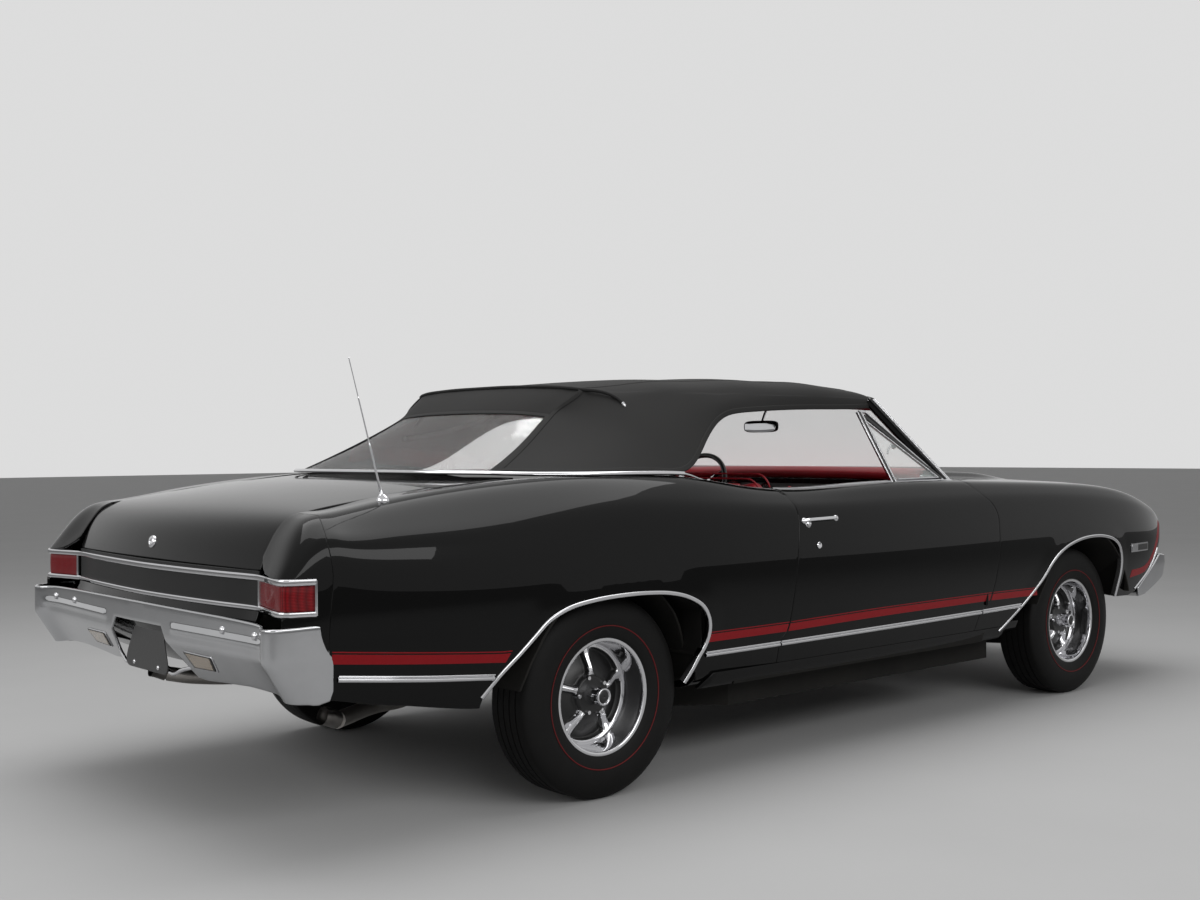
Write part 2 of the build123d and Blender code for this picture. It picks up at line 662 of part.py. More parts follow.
# Engine as one plain block with the gearbox and the drive shaft behind it
with BuildPart() as engine_block:
    engine_foot = member_top + seat_gap
    add(middle_block(engine_half_width, (front_axle_y - 300, front_axle_y + 300), (engine_foot, 850)))
    gearbox_foot = rail_foot + member_depth + seat_gap
    add(middle_block(110, (front_axle_y + 290, firewall_y + 380), (gearbox_foot, 420)))
    add(bar(shaft_front, shaft_rear, shaft_radius))
finish("engine_block", engine_block.part)

# Exhaust: a pipe each side, muffler ahead of the axle, tail pipe over it and out behind the wheel
with BuildPart() as exhaust_side:
    under_z, over_axle_z, outlet_z = floor_height - 25, wheel_z + 111, 312
    port_x, port_y = engine_half_width + seat_gap, front_axle_y + 60
    pipe_rows = [
        (port_x, port_y, 470), (engine_half_width + 60, port_y, 470),
        (engine_half_width + 70, front_axle_y + 420, under_z), (pipe_x, firewall_y + 200, under_z),
        (pipe_x, kick_start_y, under_z), (pipe_x, rear_axle_y - 150, over_axle_z),
        (pipe_x, rear_axle_y + 150, over_axle_z), (pipe_x, rear_axle_y + 380, outlet_z),
        (pipe_x + 40, tail_y - 560, outlet_z), (pipe_x + 200, tail_y - 340, outlet_z),
    ]
    with BuildLine() as pipe_run:
        FilletPolyline(*pipe_rows, radius=pipe_bend)
    with BuildSketch(Plane(origin=pipe_rows[0], z_dir=(1, 0, 0))):
        Circle(pipe_radius)
    sweep(path=pipe_run.line)
    add(block((pipe_x - 70, pipe_x + 70), (kick_start_y - 600, kick_start_y - 90),
              (under_z - 84, under_z + 12)))
    add(block((pipe_x - 10, pipe_x + 10), (kick_start_y - 400, kick_start_y - 380),
              (under_z + 6, floor_height - seat_gap)))
finish("exhaust_system", both_sides(exhaust_side.part))

# Fuel tank under the trunk floor
with BuildPart() as fuel_tank:
    add(middle_block(rail_rear_x - rail_width / 2 - tank_clearance, (rear_axle_y + 435, rail_end_y - 100),
                     (trunk_floor_height - tank_depth, trunk_floor_height - seat_gap)))
    fillet(fuel_tank.edges().filter_by(Axis.X), tank_depth / 3)
finish("fuel_tank", fuel_tank.part)

# Front suspension arms: a lower and an upper one each side, bored for the knuckle's pins
lower_arm_z, upper_arm_z, arm_depth = wheel_z - 124, wheel_z + 111, 15.0
with BuildPart() as arms:
    for foot_z, spread in ((lower_arm_z, 150.0), (upper_arm_z, 110.0)):
        with BuildSketch(Plane.XY.offset(foot_z)):
            root_x = rail_edge + seat_gap
            Polygon((root_x, front_axle_y - spread), (root_x, front_axle_y + spread),
                    (king_pin_x, front_axle_y + 30), (king_pin_x, front_axle_y - 30), align=None)
            with Locations((king_pin_x, front_axle_y)):
                Circle(26)
        extrude(amount=arm_depth)
    add(block((rail_edge - 70, rail_edge + 40), (front_axle_y - 60, front_axle_y + 60),
              (lower_arm_z, member_foot - seat_gap)))
    add(bar((king_pin_x, front_axle_y, 0), (king_pin_x, front_axle_y, 2 * wheel_z),
            king_pin_radius + pin_clearance), mode=Mode.SUBTRACT)
finish("control_arms", both_sides(arms.part))

# Knuckles: an upright with its pins, a backing plate and the wheel's stub
with BuildPart() as knuckle:
    add(block((king_pin_x - 30, king_pin_x + 30), (front_axle_y - 32, front_axle_y + 32),
              (lower_arm_z + 21, upper_arm_z - 6)))
    add(bar((king_pin_x, front_axle_y, lower_arm_z - 5), (king_pin_x, front_axle_y, upper_arm_z + 20),
            king_pin_radius))
    add(bar((king_pin_x + 28, front_axle_y, wheel_z), (king_pin_x + 38, front_axle_y, wheel_z), drum_radius))
    add(bar((king_pin_x + 30, front_axle_y, wheel_z), (wheel_x + 84, front_axle_y, wheel_z), stub_radius))
finish_pair("knuckle", knuckle.part)

# Rear axle: tube, differential, backing plates, stubs, springs and trailing arms
with BuildPart() as rear_axle:
    plate_x = king_pin_x + 38
    add(bar((-plate_x, rear_axle_y, wheel_z), (plate_x, rear_axle_y, wheel_z), axle_tube_radius))
    add(bar((-95, rear_axle_y, wheel_z), (95, rear_axle_y, wheel_z), differential_radius))
    for side in (-1, 1):
        add(bar((side * (plate_x - 10), rear_axle_y, wheel_z), (side * plate_x, rear_axle_y, wheel_z),
                drum_radius))
        add(bar((side * (plate_x - 5), rear_axle_y, wheel_z), (side * (wheel_x + 84), rear_axle_y, wheel_z),
                stub_radius))
        add(bar((side * rail_rear_x, rear_axle_y, wheel_z), (side * rail_rear_x, rear_axle_y,
                rear_shelf_height - rail_depth - seat_gap), 50))
        inner, outer = sorted((side * (rail_rear_x - 80), side * (rail_rear_x - 50)))
        add(block((inner, outer), (kick_start_y - 10 + seat_gap, rear_axle_y + 25),
                  (rail_foot + 3, rail_foot + 33)))
        add(block((inner, outer), (rear_axle_y - 25, rear_axle_y + 25), (rail_foot + 3, wheel_z)))
finish("rear_axle", rear_axle.part)

# Wheels: a rim with five spokes and a tyre, made about the X axis and moved to each corner
bore_radius = stub_radius + stub_clearance
flange_x, hub_depth = rim_width / 2, 20.0
rim_profile = [(-flange_x - 3, rim_seat_radius - 9), (-flange_x - 3, rim_seat_radius + 12),
               (-flange_x + 3, rim_seat_radius + 12), (-flange_x + 3, rim_seat_radius),
               (flange_x - 3, rim_seat_radius), (flange_x - 3, rim_seat_radius + 14),
               (flange_x + 3, rim_seat_radius + 14), (flange_x + 3, rim_seat_radius - 9)]
hub_profile = [(-25, bore_radius), (-25, drum_radius), (20, drum_radius), (20, 62), (78, 62), (78, 34),
               (100, 34), (100, 0), (84.5, 0), (84.5, bore_radius)]
tyre_profile = [(-flange_x + 4, rim_seat_radius), (-flange_x + 4, rim_seat_radius + 16),
                (-tyre_width / 2, tyre_radius - 92), (-tyre_width / 2, tyre_radius - 64),
                (-tyre_width / 2 + 5, tyre_radius - 28), (-tyre_width / 2 + 25, tyre_radius)]
tyre_profile += [(-x, r) for x, r in reversed(tyre_profile)]

with BuildPart() as wheel_rim:
    for profile in (rim_profile, hub_profile):
        with BuildSketch(Plane.XY):
            Polygon(*profile, align=None)
        revolve(axis=Axis.X)
    with BuildSketch(Plane.YZ.offset(35)) as spokes:
        with PolarLocations(0, 5, start_angle=90):
            Polygon((40, -21), (40, 21), (rim_seat_radius - 5, 15), (rim_seat_radius - 5, -15), align=None)
    extrude(amount=34)
with BuildPart() as wheel_tyre:
    with BuildSketch(Plane.XY):
        Polygon(*tyre_profile, align=None)
    revolve(axis=Axis.X)
for place, axle_y in (("front", front_axle_y), ("rear", rear_axle_y)):
    for side, sign in (("left", 1), ("right", -1)):
        for name, piece in (("rim", wheel_rim.part), ("tyre", wheel_tyre.part)):
            turned = piece if sign > 0 else mirror(piece, about=Plane.YZ)
            finish(f"{name}_{place}_{side}", Pos(sign * wheel_x, axle_y, wheel_z) * turned)

# Bumpers: a wrapped band on two brackets, the rear one cut out in front of the plate
bumper_band = plan_prism(-bumper_stand_off) - plan_prism(bumper_thickness - bumper_stand_off)
plate_seat_y = tail_y - plate_seat_depth
plate_half_width = plate_panel_width / 2
rear_band_range, front_band_range = (448, 650), (415, 580)
cut_head = 612.0
with BuildPart() as rear_bumper:
    add(bumper_band)
    add(middle_block(half_width, (at(1.86), tail_y), rear_band_range), mode=Mode.INTERSECT)
    for side in (-1, 1):
        inner, outer = sorted((side * (rail_rear_x - 30), side * (rail_rear_x + 30)))
        add(block((inner, outer), (rail_end_y + seat_gap, tail_y - bumper_thickness),
                  (trunk_floor_height - rail_depth / 2, trunk_floor_height - 8)))
    add(middle_block(bumper_cut_width / 2, (plate_seat_y, tail_y), (0, cut_head)), mode=Mode.SUBTRACT)
    add(middle_block(plate_half_width, (plate_seat_y - 6, tail_y - 6), (cut_head, cut_head + 8)))
    add(middle_block(plate_half_width, (plate_seat_y - 6, plate_seat_y), (plate_hole_height - 14, cut_head)))
    for side in (-1, 1):
        hole_x, hole_z = side * plate_hole_spacing / 2, plate_hole_height
        add(bar((hole_x, plate_seat_y - 20, hole_z), (hole_x, plate_seat_y + 20, hole_z), plate_hole_radius),
            mode=Mode.SUBTRACT)
finish("rear_bumper", rear_bumper.part)

with BuildPart() as front_bumper:
    add(bumper_band)
    add(middle_block(half_width, (nose_y, at(-0.77)), front_band_range), mode=Mode.INTERSECT)
    for side in (-1, 1):
        inner, outer = sorted((side * (rail_front_x - 30), side * (rail_front_x + 30)))
        add(block((inner, outer), (nose_y + 25, at(-0.80) - seat_gap), (345, 385)))
        add(block((inner, outer), (nose_y + 10, nose_y + 33), (345, 560)))
finish("front_bumper", front_bumper.part)

# Dashboard with the steering column, and the steering wheel
wheel_centre = Vector(*steering_wheel_at)
column_axis = Vector(0, cos(radians(column_angle)), sin(radians(column_angle)))
dash_side = [(firewall_y + 20, 790), (firewall_y + 20, 945), (door_front_y + 152, 945),
             (door_front_y + 152, 1018), (door_front_y + 200, 1010), (door_front_y + 212, 900),
             (door_front_y + 150, 770)]
with BuildPart() as dashboard:
    add(across(dash_side, cabin_half_width - 15))
    add(bar(wheel_centre - column_axis * 320, wheel_centre - column_axis * (hub_depth + seat_gap), 28))
finish("dashboard", dashboard.part)

with BuildPart() as steering_wheel:
    with BuildSketch(Plane(origin=wheel_centre - column_axis * hub_depth, z_dir=column_axis)):
        Circle(55)
    extrude(amount=hub_depth + 12)
    wheel_plane = Plane(origin=wheel_centre, x_dir=(1, 0, 0), z_dir=column_axis)
    add(wheel_plane.location * Torus(steering_wheel_radius, steering_rim_radius, mode=Mode.PRIVATE))
    with BuildSketch(wheel_plane.offset(-5)):
        with PolarLocations(0, 3, start_angle=-90, angular_range=360):
            Polygon((30, -14), (30, 14), (steering_wheel_radius, 11), (steering_wheel_radius, -11),
                    align=None)
    extrude(amount=9)
finish("steering_wheel", steering_wheel.part)

# Seats: two buckets and a rear bench, as plain solids standing on the floor
floor_top = floor_height + floor_thickness
seat_y = door_rear_y - 438
bucket_side = [(seat_y - 240, 460), (seat_y - 330, 465), (seat_y - 340, 560), (seat_y - 300, 600),
               (seat_y + 120, 560), (seat_y + 245, 980), (seat_y + 280, 1012), (seat_y + 370, 1000),
               (seat_y + 330, 760), (seat_y + 290, 460)]
with BuildPart() as bucket:
    add(prism_x(bucket_side, seat_x - seat_width / 2, seat_x + seat_width / 2))
    add(block((tunnel_half_width + 60, seat_x + seat_width / 2 - 30), (seat_y - 240, seat_y + 200),
              (floor_top + seat_gap, 465)))
finish("front_seats", both_sides(bucket.part))

bench_side = [(kick_start_y - 220, floor_top + seat_gap), (kick_start_y - 230, 570),
              (kick_start_y - 180, 600), (kick_end_y - 150, 570), (kick_end_y - 60, 930),
              (kick_end_y + 40, 940), (kick_end_y + 40, 700),
              (kick_end_y - 5, rear_shelf_height + 30), (kick_start_y - 10, floor_top + seat_gap)]
with BuildPart() as rear_seat:
    add(across(bench_side, floor_half_width - 32))
    add(middle_block(tunnel_half_width + 10, (kick_start_y - 300, kick_end_y), (0, tunnel_height + 10)),
        mode=Mode.SUBTRACT)
finish("rear_seat", rear_seat.part)

for node, piece in made.items():
    print(node, len(piece.solids()), round(piece.volume / 1e6, 2), "litres")
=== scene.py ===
import math
import bmesh
import bpy
import numpy as np
from mathutils import Matrix, Vector
from mathutils.geometry import delaunay_2d_cdt


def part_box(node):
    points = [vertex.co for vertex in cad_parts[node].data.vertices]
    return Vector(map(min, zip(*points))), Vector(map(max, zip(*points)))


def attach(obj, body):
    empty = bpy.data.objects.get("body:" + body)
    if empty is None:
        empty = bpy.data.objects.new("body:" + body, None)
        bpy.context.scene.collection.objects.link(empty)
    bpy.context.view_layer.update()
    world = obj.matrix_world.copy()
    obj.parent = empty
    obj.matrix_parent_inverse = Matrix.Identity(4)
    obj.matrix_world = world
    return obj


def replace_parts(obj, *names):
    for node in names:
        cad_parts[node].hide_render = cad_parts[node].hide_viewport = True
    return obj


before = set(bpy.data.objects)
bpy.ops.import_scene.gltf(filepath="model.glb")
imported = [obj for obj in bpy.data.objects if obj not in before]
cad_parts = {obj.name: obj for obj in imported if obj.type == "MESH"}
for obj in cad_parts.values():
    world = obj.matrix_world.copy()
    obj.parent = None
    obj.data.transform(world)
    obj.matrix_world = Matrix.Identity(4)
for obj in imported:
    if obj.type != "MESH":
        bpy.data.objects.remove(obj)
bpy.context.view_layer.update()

# Metres. Front towards -Y, driver's side +X, up +Z.
frontAxle = (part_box("tyre_front_left")[0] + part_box("tyre_front_left")[1]) / 2
rearAxle = (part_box("tyre_rear_left")[0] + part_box("tyre_rear_left")[1]) / 2
bothSides = (("left", 1), ("right", -1))
signOf = dict(bothSides)

# ---- camera

cameraValues = {
    "place": (-4.20714, 4.25748, 1.12784),
    "yaw": 131.2867,
    "down": 0.0557,
    "roll": -0.3866,
    "lens": 41.73,
}


def placeCamera(values):
    yaw, down, roll = (math.radians(values[key]) for key in ("yaw", "down", "roll"))
    ahead = Vector((math.sin(yaw) * math.cos(down), math.cos(yaw) * math.cos(down), -math.sin(down)))
    level = Vector((math.cos(yaw), -math.sin(yaw), 0))
    upright = level.cross(ahead)
    right = math.cos(roll) * level + math.sin(roll) * upright
    up = math.cos(roll) * upright - math.sin(roll) * level
    data = bpy.data.cameras.new("camera")
    data.lens = values["lens"]
    data.sensor_width = 36
    data.clip_end = 200
    camera = bpy.data.objects.new("camera", data)
    turn = Matrix((right, up, -ahead)).transposed()
    camera.matrix_world = Matrix.Translation(values["place"]) @ turn.to_4x4()
    bpy.context.scene.collection.objects.link(camera)
    bpy.context.scene.camera = camera


placeCamera(cameraValues)
print("camera placed")


# ---- shader maths and node making

class Amount:
    # a number that varies over the surface
    def __init__(self, finish, socket):
        self.finish = finish
        self.socket = socket

    def maths(self, operation, first, second):
        return self.finish.node("ShaderNodeMath", {"operation": operation}, {0: first, 1: second})

    def __add__(self, other):
        return self.maths("ADD", self, other)

    __radd__ = __add__

    def __mul__(self, other):
        return self.maths("MULTIPLY", self, other)


class Finish:
    # one material: its Principled surface and the nodes that feed it
    def __init__(self, name, **sockets):
        self.material = bpy.data.materials.new(name)
        self.material.use_nodes = True
        self.tree = self.material.node_tree
        self.surface = self.tree.nodes["Principled BSDF"]
        for key, value in sockets.items():
            socket = "".join(" " + letter if letter.isupper() else letter for letter in key)
            socket = socket[0].upper() + socket[1:]
            self.surface.inputs[socket.replace("I O R", "IOR")].default_value = value

    def node(self, kind, settings=None, inputs=None, output=0):
        made = self.tree.nodes.new(kind)
        for key, value in (settings or {}).items():
            setattr(made, key, value)
        for key, value in (inputs or {}).items():
            self.put(made.inputs[key], value)
        return Amount(self, made.outputs[output])

    def put(self, socket, value):
        if isinstance(value, Amount):
            self.tree.links.new(value.socket, socket)
        else:
            socket.default_value = value

    def feed(self, socket, value):
        self.put(self.surface.inputs[socket], value)

    def place(self, axis=None):
        spot = self.node("ShaderNodeTexCoord", output="Object")
        if axis is None:
            return spot
        return self.node("ShaderNodeSeparateXYZ", {}, {0: spot}, output=axis)

    def noise(self, scale, detail=3, rough=0.5):
        spot = self.node("ShaderNodeMapping", {}, {"Vector": self.place()})
        return self.node("ShaderNodeTexNoise", {}, {"Vector": spot, "Scale": scale, "Detail": detail,
            "Roughness": rough})

    def ribs(self, axis, pitch):
        # rises and falls evenly along one axis
        return self.node("ShaderNodeMath", {"operation": "PINGPONG"}, {0: self.place(axis), 1: pitch})

    def bump(self, height, strength, distance):
        bumped = self.node("ShaderNodeBump", {}, {"Height": height, "Strength": strength,
            "Distance": distance})
        self.feed("Normal", bumped)

    def shade(self, amount, dark, light):
        mixed = self.node("ShaderNodeMix", {"data_type": "RGBA"}, {0: amount, 6: dark, 7: light}, output=2)
        self.feed("Base Color", mixed)


def grey(level):
    return (level, level, level, 1)


def steady(x, y, z):
    # the same outward direction for the whole of a piece
    return lambda centre: Vector((x, y, z))


def plainFinish(name, base, noise, dark, light, rough=None, bump=None, **sockets):
    # one noise for tone and roughness (span, start); bump is (strength, distance) and its own noise
    made = Finish(name, baseColor=base, **sockets)
    tone = made.noise(*noise)
    made.shade(tone, dark, light)
    if rough:
        made.feed("Roughness", tone * rough[0] + rough[1])
    if bump:
        made.bump(made.noise(*bump[2]) if len(bump) > 2 else tone, *bump[:2])
    return made.material


paintBlack = plainFinish("bodyPaint", grey(0.002), (900, 2), grey(0.0015), grey(0.0028), (0.06, 0.2),
    (0.015, 0.0006, (350, 1)), roughness=0.35, coatWeight=0.65, coatRoughness=0.015, coatIOR=1.33,
    specularIORLevel=0.02)
# bumper chrome: a darker copy of chromePlate, painted shade that makes the bumpers look dimmer than the other
# chrome trims
shadedBumperChrome = plainFinish("bumperPlateShaded", (0.5, 0.505, 0.515, 1), (6, 5, 0.6), (0.44, 0.445, 0.455, 1),
    (0.55, 0.555, 0.565, 1), (0.08, 0.05), (0.02, 0.0006, (25, 2)), metallic=1.0, roughness=0.09)
paintMatte = plainFinish("mattePaint", grey(0.006), (700, 3), grey(0.005), grey(0.009), (0.15, 0.42),
    (0.08, 0.0008), roughness=0.5, specularIORLevel=0.25)
paintChassis = plainFinish("chassisPaint", grey(0.008), (9, 6, 0.65), grey(0.006), (0.013, 0.012, 0.011, 1),
    (0.3, 0.4), (0.12, 0.001, (180, 4)), roughness=0.6, specularIORLevel=0.2)
chrome = plainFinish("chromePlate", (0.63, 0.63, 0.645, 1), (14, 5, 0.6), (0.6, 0.6, 0.615, 1),
    (0.67, 0.67, 0.685, 1), (0.05, 0.03), (0.02, 0.0006, (60, 2)), metallic=1.0, roughness=0.05)
print("first finishes made")


# ---- smooth curves and surfaces

def cubicThrough(rows):
    # natural cubic spline through rows of (y, value, value, ...)
    table = np.array(rows, float)
    knots, values = table[:, 0], table[:, 1:]
    gaps = np.diff(knots)
    count = len(knots)
    system = np.eye(count)
    right = np.zeros_like(values)
    slopes = np.diff(values, axis=0) / gaps[:, None]
    for index in range(1, count - 1):
        system[index, index - 1:index + 2] = (gaps[index - 1], 2 * (gaps[index - 1] + gaps[index]),
            gaps[index])
        right[index] = 6 * (slopes[index] - slopes[index - 1])
    bends = np.linalg.solve(system, right)

    def value(places):
        places = np.atleast_1d(np.asarray(places, float))
        index = np.clip(np.searchsorted(knots, places) - 1, 0, count - 2)
        gap = gaps[index][:, None]
        ahead = (places - knots[index])[:, None]
        back = gap - ahead
        return (bends[index] * back ** 3 + bends[index + 1] * ahead ** 3) / (6 * gap) + (
            values[index] / gap - bends[index] * gap / 6) * back + (
            values[index + 1] / gap - bends[index + 1] * gap / 6) * ahead

    return value


def alongRows(rows, places):
    # uniform cubic spline over control rows (samples, rows, 2) at one place in each sample
    rows = np.concatenate([2 * rows[:, :1] - rows[:, 1:2], rows, 2 * rows[:, -1:] - rows[:, -2:-1]], axis=1)
    index = np.clip(np.floor(places).astype(int), 0, rows.shape[1] - 4)
    part = (places - index)[:, None]
    weights = ((1 - part) ** 3, 3 * part ** 3 - 6 * part ** 2 + 4,
               -3 * part ** 3 + 3 * part ** 2 + 3 * part + 1, part ** 3)
    pick = np.arange(len(places))
    return sum(weight * rows[pick, index + step] for step, weight in enumerate(weights)) / 6


def smoothLine(points, closed=False, step=0.012):
    # points spaced evenly along a rounded line through the given ones
    spots = [np.array(point, float) for point in points]
    count = len(spots)
    line = []
    for index in range(count if closed else count - 1):
        before = spots[index - 1] if closed or index else 2 * spots[0] - spots[1]
        start, stop = spots[index], spots[(index + 1) % count]
        last = index + 2 < count or closed
        after = spots[(index + 2) % count] if last else 2 * spots[-1] - spots[-2]
        legs = ((before, start), (start, stop), (stop, after))
        k0, k1, k2 = (max(np.linalg.norm(b - a), 1e-6) ** 0.5 for a, b in legs)
        inAngle = (start - before) / k0 - (stop - before) / (k0 + k1) + (stop - start) / k1
        outAngle = (stop - start) / k1 - (after - start) / (k1 + k2) + (after - stop) / k2
        inAngle, outAngle = inAngle * k1, outAngle * k1
        pieces = max(1, int(round(np.linalg.norm(stop - start) / step)))
        for part in np.arange(pieces) / pieces:
            line.append(start * (2 * part ** 3 - 3 * part ** 2 + 1) + inAngle
                * (part ** 3 - 2 * part ** 2 + part) + stop * (3 * part ** 2 - 2 * part ** 3) + outAngle
                * (part ** 3 - part ** 2))
    if not closed:
        line.append(spots[-1])
    return line


def inside(points, outline):
    # which points lie inside a closed outline
    x, y = points[:, 0][:, None], points[:, 1][:, None]
    x1, y1 = outline[:, 0][None], outline[:, 1][None]
    x2, y2 = np.roll(outline[:, 0], -1)[None], np.roll(outline[:, 1], -1)[None]
    crosses = ((y1 > y) != (y2 > y)) & (x < (x2 - x1) * (y - y1) / np.where(y2 == y1, 1e-12, y2 - y1) + x1)
    return crosses.sum(1) % 2 == 1


def near(points, outline, distance):
    start, run = outline[None], (np.roll(outline, -1, 0) - outline)[None]
    offset = points[:, None] - start
    share = np.clip((offset * run).sum(2) / np.maximum((run ** 2).sum(2), 1e-12), 0, 1)
    return np.sqrt(((offset - share[..., None] * run) ** 2).sum(2).min(1)) < distance


def linked(name, data):
    holder = bpy.data.objects.new(name, data)
    bpy.context.scene.collection.objects.link(holder)
    return holder


def evaluated(holder):
    return holder.evaluated_get(bpy.context.evaluated_depsgraph_get())


def fillOutline(outline, grain):
    # triangles over a flat outline, with a grid of points inside it
    outline = np.array(outline, float)
    low, high = outline.min(0), outline.max(0)
    grid = np.stack(np.meshgrid(np.arange(low[0], high[0], grain), np.arange(low[1], high[1], grain)), -1)
    grid[1::2, :, 0] += grain / 2
    grid = grid.reshape(-1, 2)
    keep = []
    for part in np.array_split(grid, max(1, len(grid) // 4000)):
        part = part[inside(part, outline)]
        keep.append(part[~near(part, outline, 0.55 * grain)] if len(part) else part)
    grid = np.concatenate(keep)
    spots = [Vector(point) for point in np.concatenate([outline, grid])]
    count = len(outline)
    edges = [(index, (index + 1) % count) for index in range(count)]
    flat, _, faces, *_ = delaunay_2d_cdt(spots, edges, [list(range(count))], 1, 1e-7)
    return np.array([tuple(point) for point in flat]), [tuple(face) for face in faces]


def rawMesh(name, points, faces):
    mesh = bpy.data.meshes.new(name)
    mesh.from_pydata([tuple(point) for point in points], [], [tuple(face) for face in faces])
    return mesh


def meshPiece(name, points, faces, material, body, smooth=True, sharp=None):
    mesh = rawMesh(name, points, faces)
    mesh.validate()
    mesh.update()
    return dressPiece(name, mesh, material, body, smooth, sharp)


def dressPiece(name, mesh, material, body, smooth=True, sharp=None):
    if material is not None:
        mesh.materials.clear()
        mesh.materials.append(material)
    if smooth:
        mesh.shade_smooth()
        if sharp:
            mesh.set_sharp_from_angle(angle=math.radians(sharp))
    piece = linked(name, mesh)
    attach(piece, body)
    return piece


def hemEdges(bm, radius, depth, steps=3):
    # rolls every open edge of a skin inwards
    bm.normal_update()
    rim = [edge for edge in bm.edges if edge.is_boundary]
    facing = {corner: corner.normal.copy() for edge in rim for corner in edge.verts}
    outward = {corner: Vector() for corner in facing}
    for edge in rim:
        face = edge.link_faces[0]
        side = (edge.verts[1].co - edge.verts[0].co).cross(face.normal)
        middle = (edge.verts[0].co + edge.verts[1].co) / 2
        if side.dot(face.calc_center_median() - middle) > 0:
            side.negate()
        for corner in edge.verts:
            outward[corner] += side.normalized()
    home = {corner: corner.co.copy() for corner in facing}
    for corner in outward:
        outward[corner].normalize()
    rings = [(radius * math.sin(turn), radius * (1 - math.cos(turn)))
             for turn in (math.pi / 2 * step / steps for step in range(1, steps + 1))] + [(radius, depth)]
    root = {corner: corner for corner in facing}
    for out, down in rings:
        grown = bmesh.ops.extrude_edge_only(bm, edges=rim)["geom"]
        fresh = [item for item in grown if isinstance(item, bmesh.types.BMVert)]
        newRoot = {}
        for corner in fresh:
            partner = next(edge.other_vert(corner) for edge in corner.link_edges
                if edge.other_vert(corner) in root)
            newRoot[corner] = root[partner]
        for corner, base in newRoot.items():
            corner.co = home[base] + outward[base] * out - facing[base] * down
        rim = [item for item in grown if isinstance(item, bmesh.types.BMEdge) and item.is_boundary]
        root = newRoot


def turnOut(mesh, towards):
    # makes an open skin face the given way
    total = sum((face.normal.dot(towards(face.center)) * face.area for face in mesh.polygons), 0.0)
    if total < 0:
        mesh.flip_normals()


def skinPanel(name, points, faces, material, body, slot, towards, hem=0.0025, depth=0.012, thick=0.0015):
    # a sheet panel: smooth skin, rolled edges, real thickness
    mesh = rawMesh(name, points, faces)
    mesh.update()
    turnOut(mesh, towards)
    bm = bmesh.new()
    bm.from_mesh(mesh)
    bmesh.ops.remove_doubles(bm, verts=bm.verts, dist=1e-6)
    if hem:
        hemEdges(bm, hem, depth)
    bm.to_mesh(mesh)
    bm.free()
    mesh.shade_smooth()
    piece = linked(name + "Draft", mesh)
    if thick:
        wall = piece.modifiers.new("wall", "SOLIDIFY")
        wall.thickness = thick
        wall.offset = -1
    even = piece.modifiers.new("even", "WEIGHTED_NORMAL")
    even.weight = 90
    done = bpy.data.meshes.new_from_object(evaluated(piece))
    bpy.data.objects.remove(piece)
    done.name = name
    return dressPiece(name, done, material, body, smooth=False)


# ---- body side: one surface from the rocker over the crest to the hood or lid

# y, widest x, shoulder x, shoulder z, crest x, crest z, inner edge x, inner edge z
bodySideLines = [
    (-2.420, 0.842, 0.834, 0.722, 0.818, 0.748, 0.742, 0.762),
    (-2.350, 0.864, 0.853, 0.762, 0.834, 0.796, 0.742, 0.808),
    (-2.250, 0.890, 0.874, 0.798, 0.845, 0.838, 0.742, 0.852),
    (-2.080, 0.917, 0.897, 0.838, 0.852, 0.889, 0.742, 0.900),
    (-1.840, 0.934, 0.913, 0.868, 0.855, 0.931, 0.742, 0.941),
    (-1.545, 0.943, 0.922, 0.888, 0.857, 0.953, 0.742, 0.963),
    (-1.180, 0.950, 0.927, 0.900, 0.856, 0.968, 0.742, 0.977),
    (-0.820, 0.955, 0.930, 0.905, 0.850, 0.979, 0.745, 0.986),
    (-0.450, 0.9585, 0.932, 0.905, 0.842, 0.986, 0.795, 0.990),
    (0.000, 0.9605, 0.934, 0.903, 0.840, 0.979, 0.793, 0.984),
    (0.400, 0.9605, 0.935, 0.905, 0.837, 0.972, 0.790, 0.978),
    (0.600, 0.9600, 0.934, 0.909, 0.828, 0.988, 0.786, 0.994),
    (0.820, 0.9590, 0.930, 0.917, 0.812, 1.019, 0.782, 1.024),
    (1.120, 0.9540, 0.922, 0.926, 0.802, 1.038, 0.772, 1.041),
    (1.450, 0.9510, 0.919, 0.908, 0.794, 1.036, 0.752, 1.040),
    (1.780, 0.9450, 0.921, 0.874, 0.784, 1.016, 0.666, 1.016),
    (2.080, 0.9290, 0.914, 0.866, 0.778, 0.977, 0.661, 0.982),
    (2.260, 0.9130, 0.902, 0.872, 0.778, 0.950, 0.661, 0.954),
    (2.340, 0.9030, 0.893, 0.868, 0.785, 0.928, 0.661, 0.926),
    (2.390, 0.8930, 0.884, 0.826, 0.805, 0.876, 0.668, 0.858),
    (2.425, 0.8810, 0.874, 0.788, 0.828, 0.822, 0.700, 0.806),
    (2.456, 0.8660, 0.862, 0.752, 0.846, 0.776, 0.740, 0.776),
]
frontArchLine = [(0.68, 0.324), (0.655, 0.342), (0.6, 0.381), (0.513, 0.444), (0.391, 0.546),
    (0.309, 0.621), (0.216, 0.671), (0.098, 0.702), (-0.023, 0.714), (-0.148, 0.709), (-0.236, 0.689),
    (-0.287, 0.657), (-0.312, 0.597), (-0.312, 0.42)]
rearArchLine = [(0.521, 0.394), (0.464, 0.46), (0.407, 0.513), (0.352, 0.565), (0.301, 0.608),
    (0.222, 0.64), (0.118, 0.656), (0.014, 0.662), (-0.094, 0.662), (-0.2, 0.654), (-0.285, 0.634),
    (-0.35, 0.6), (-0.381, 0.558), (-0.391, 0.512), (-0.383, 0.47), (-0.362, 0.43), (-0.341, 0.388),
    (-0.316, 0.344), (-0.304, 0.326)]
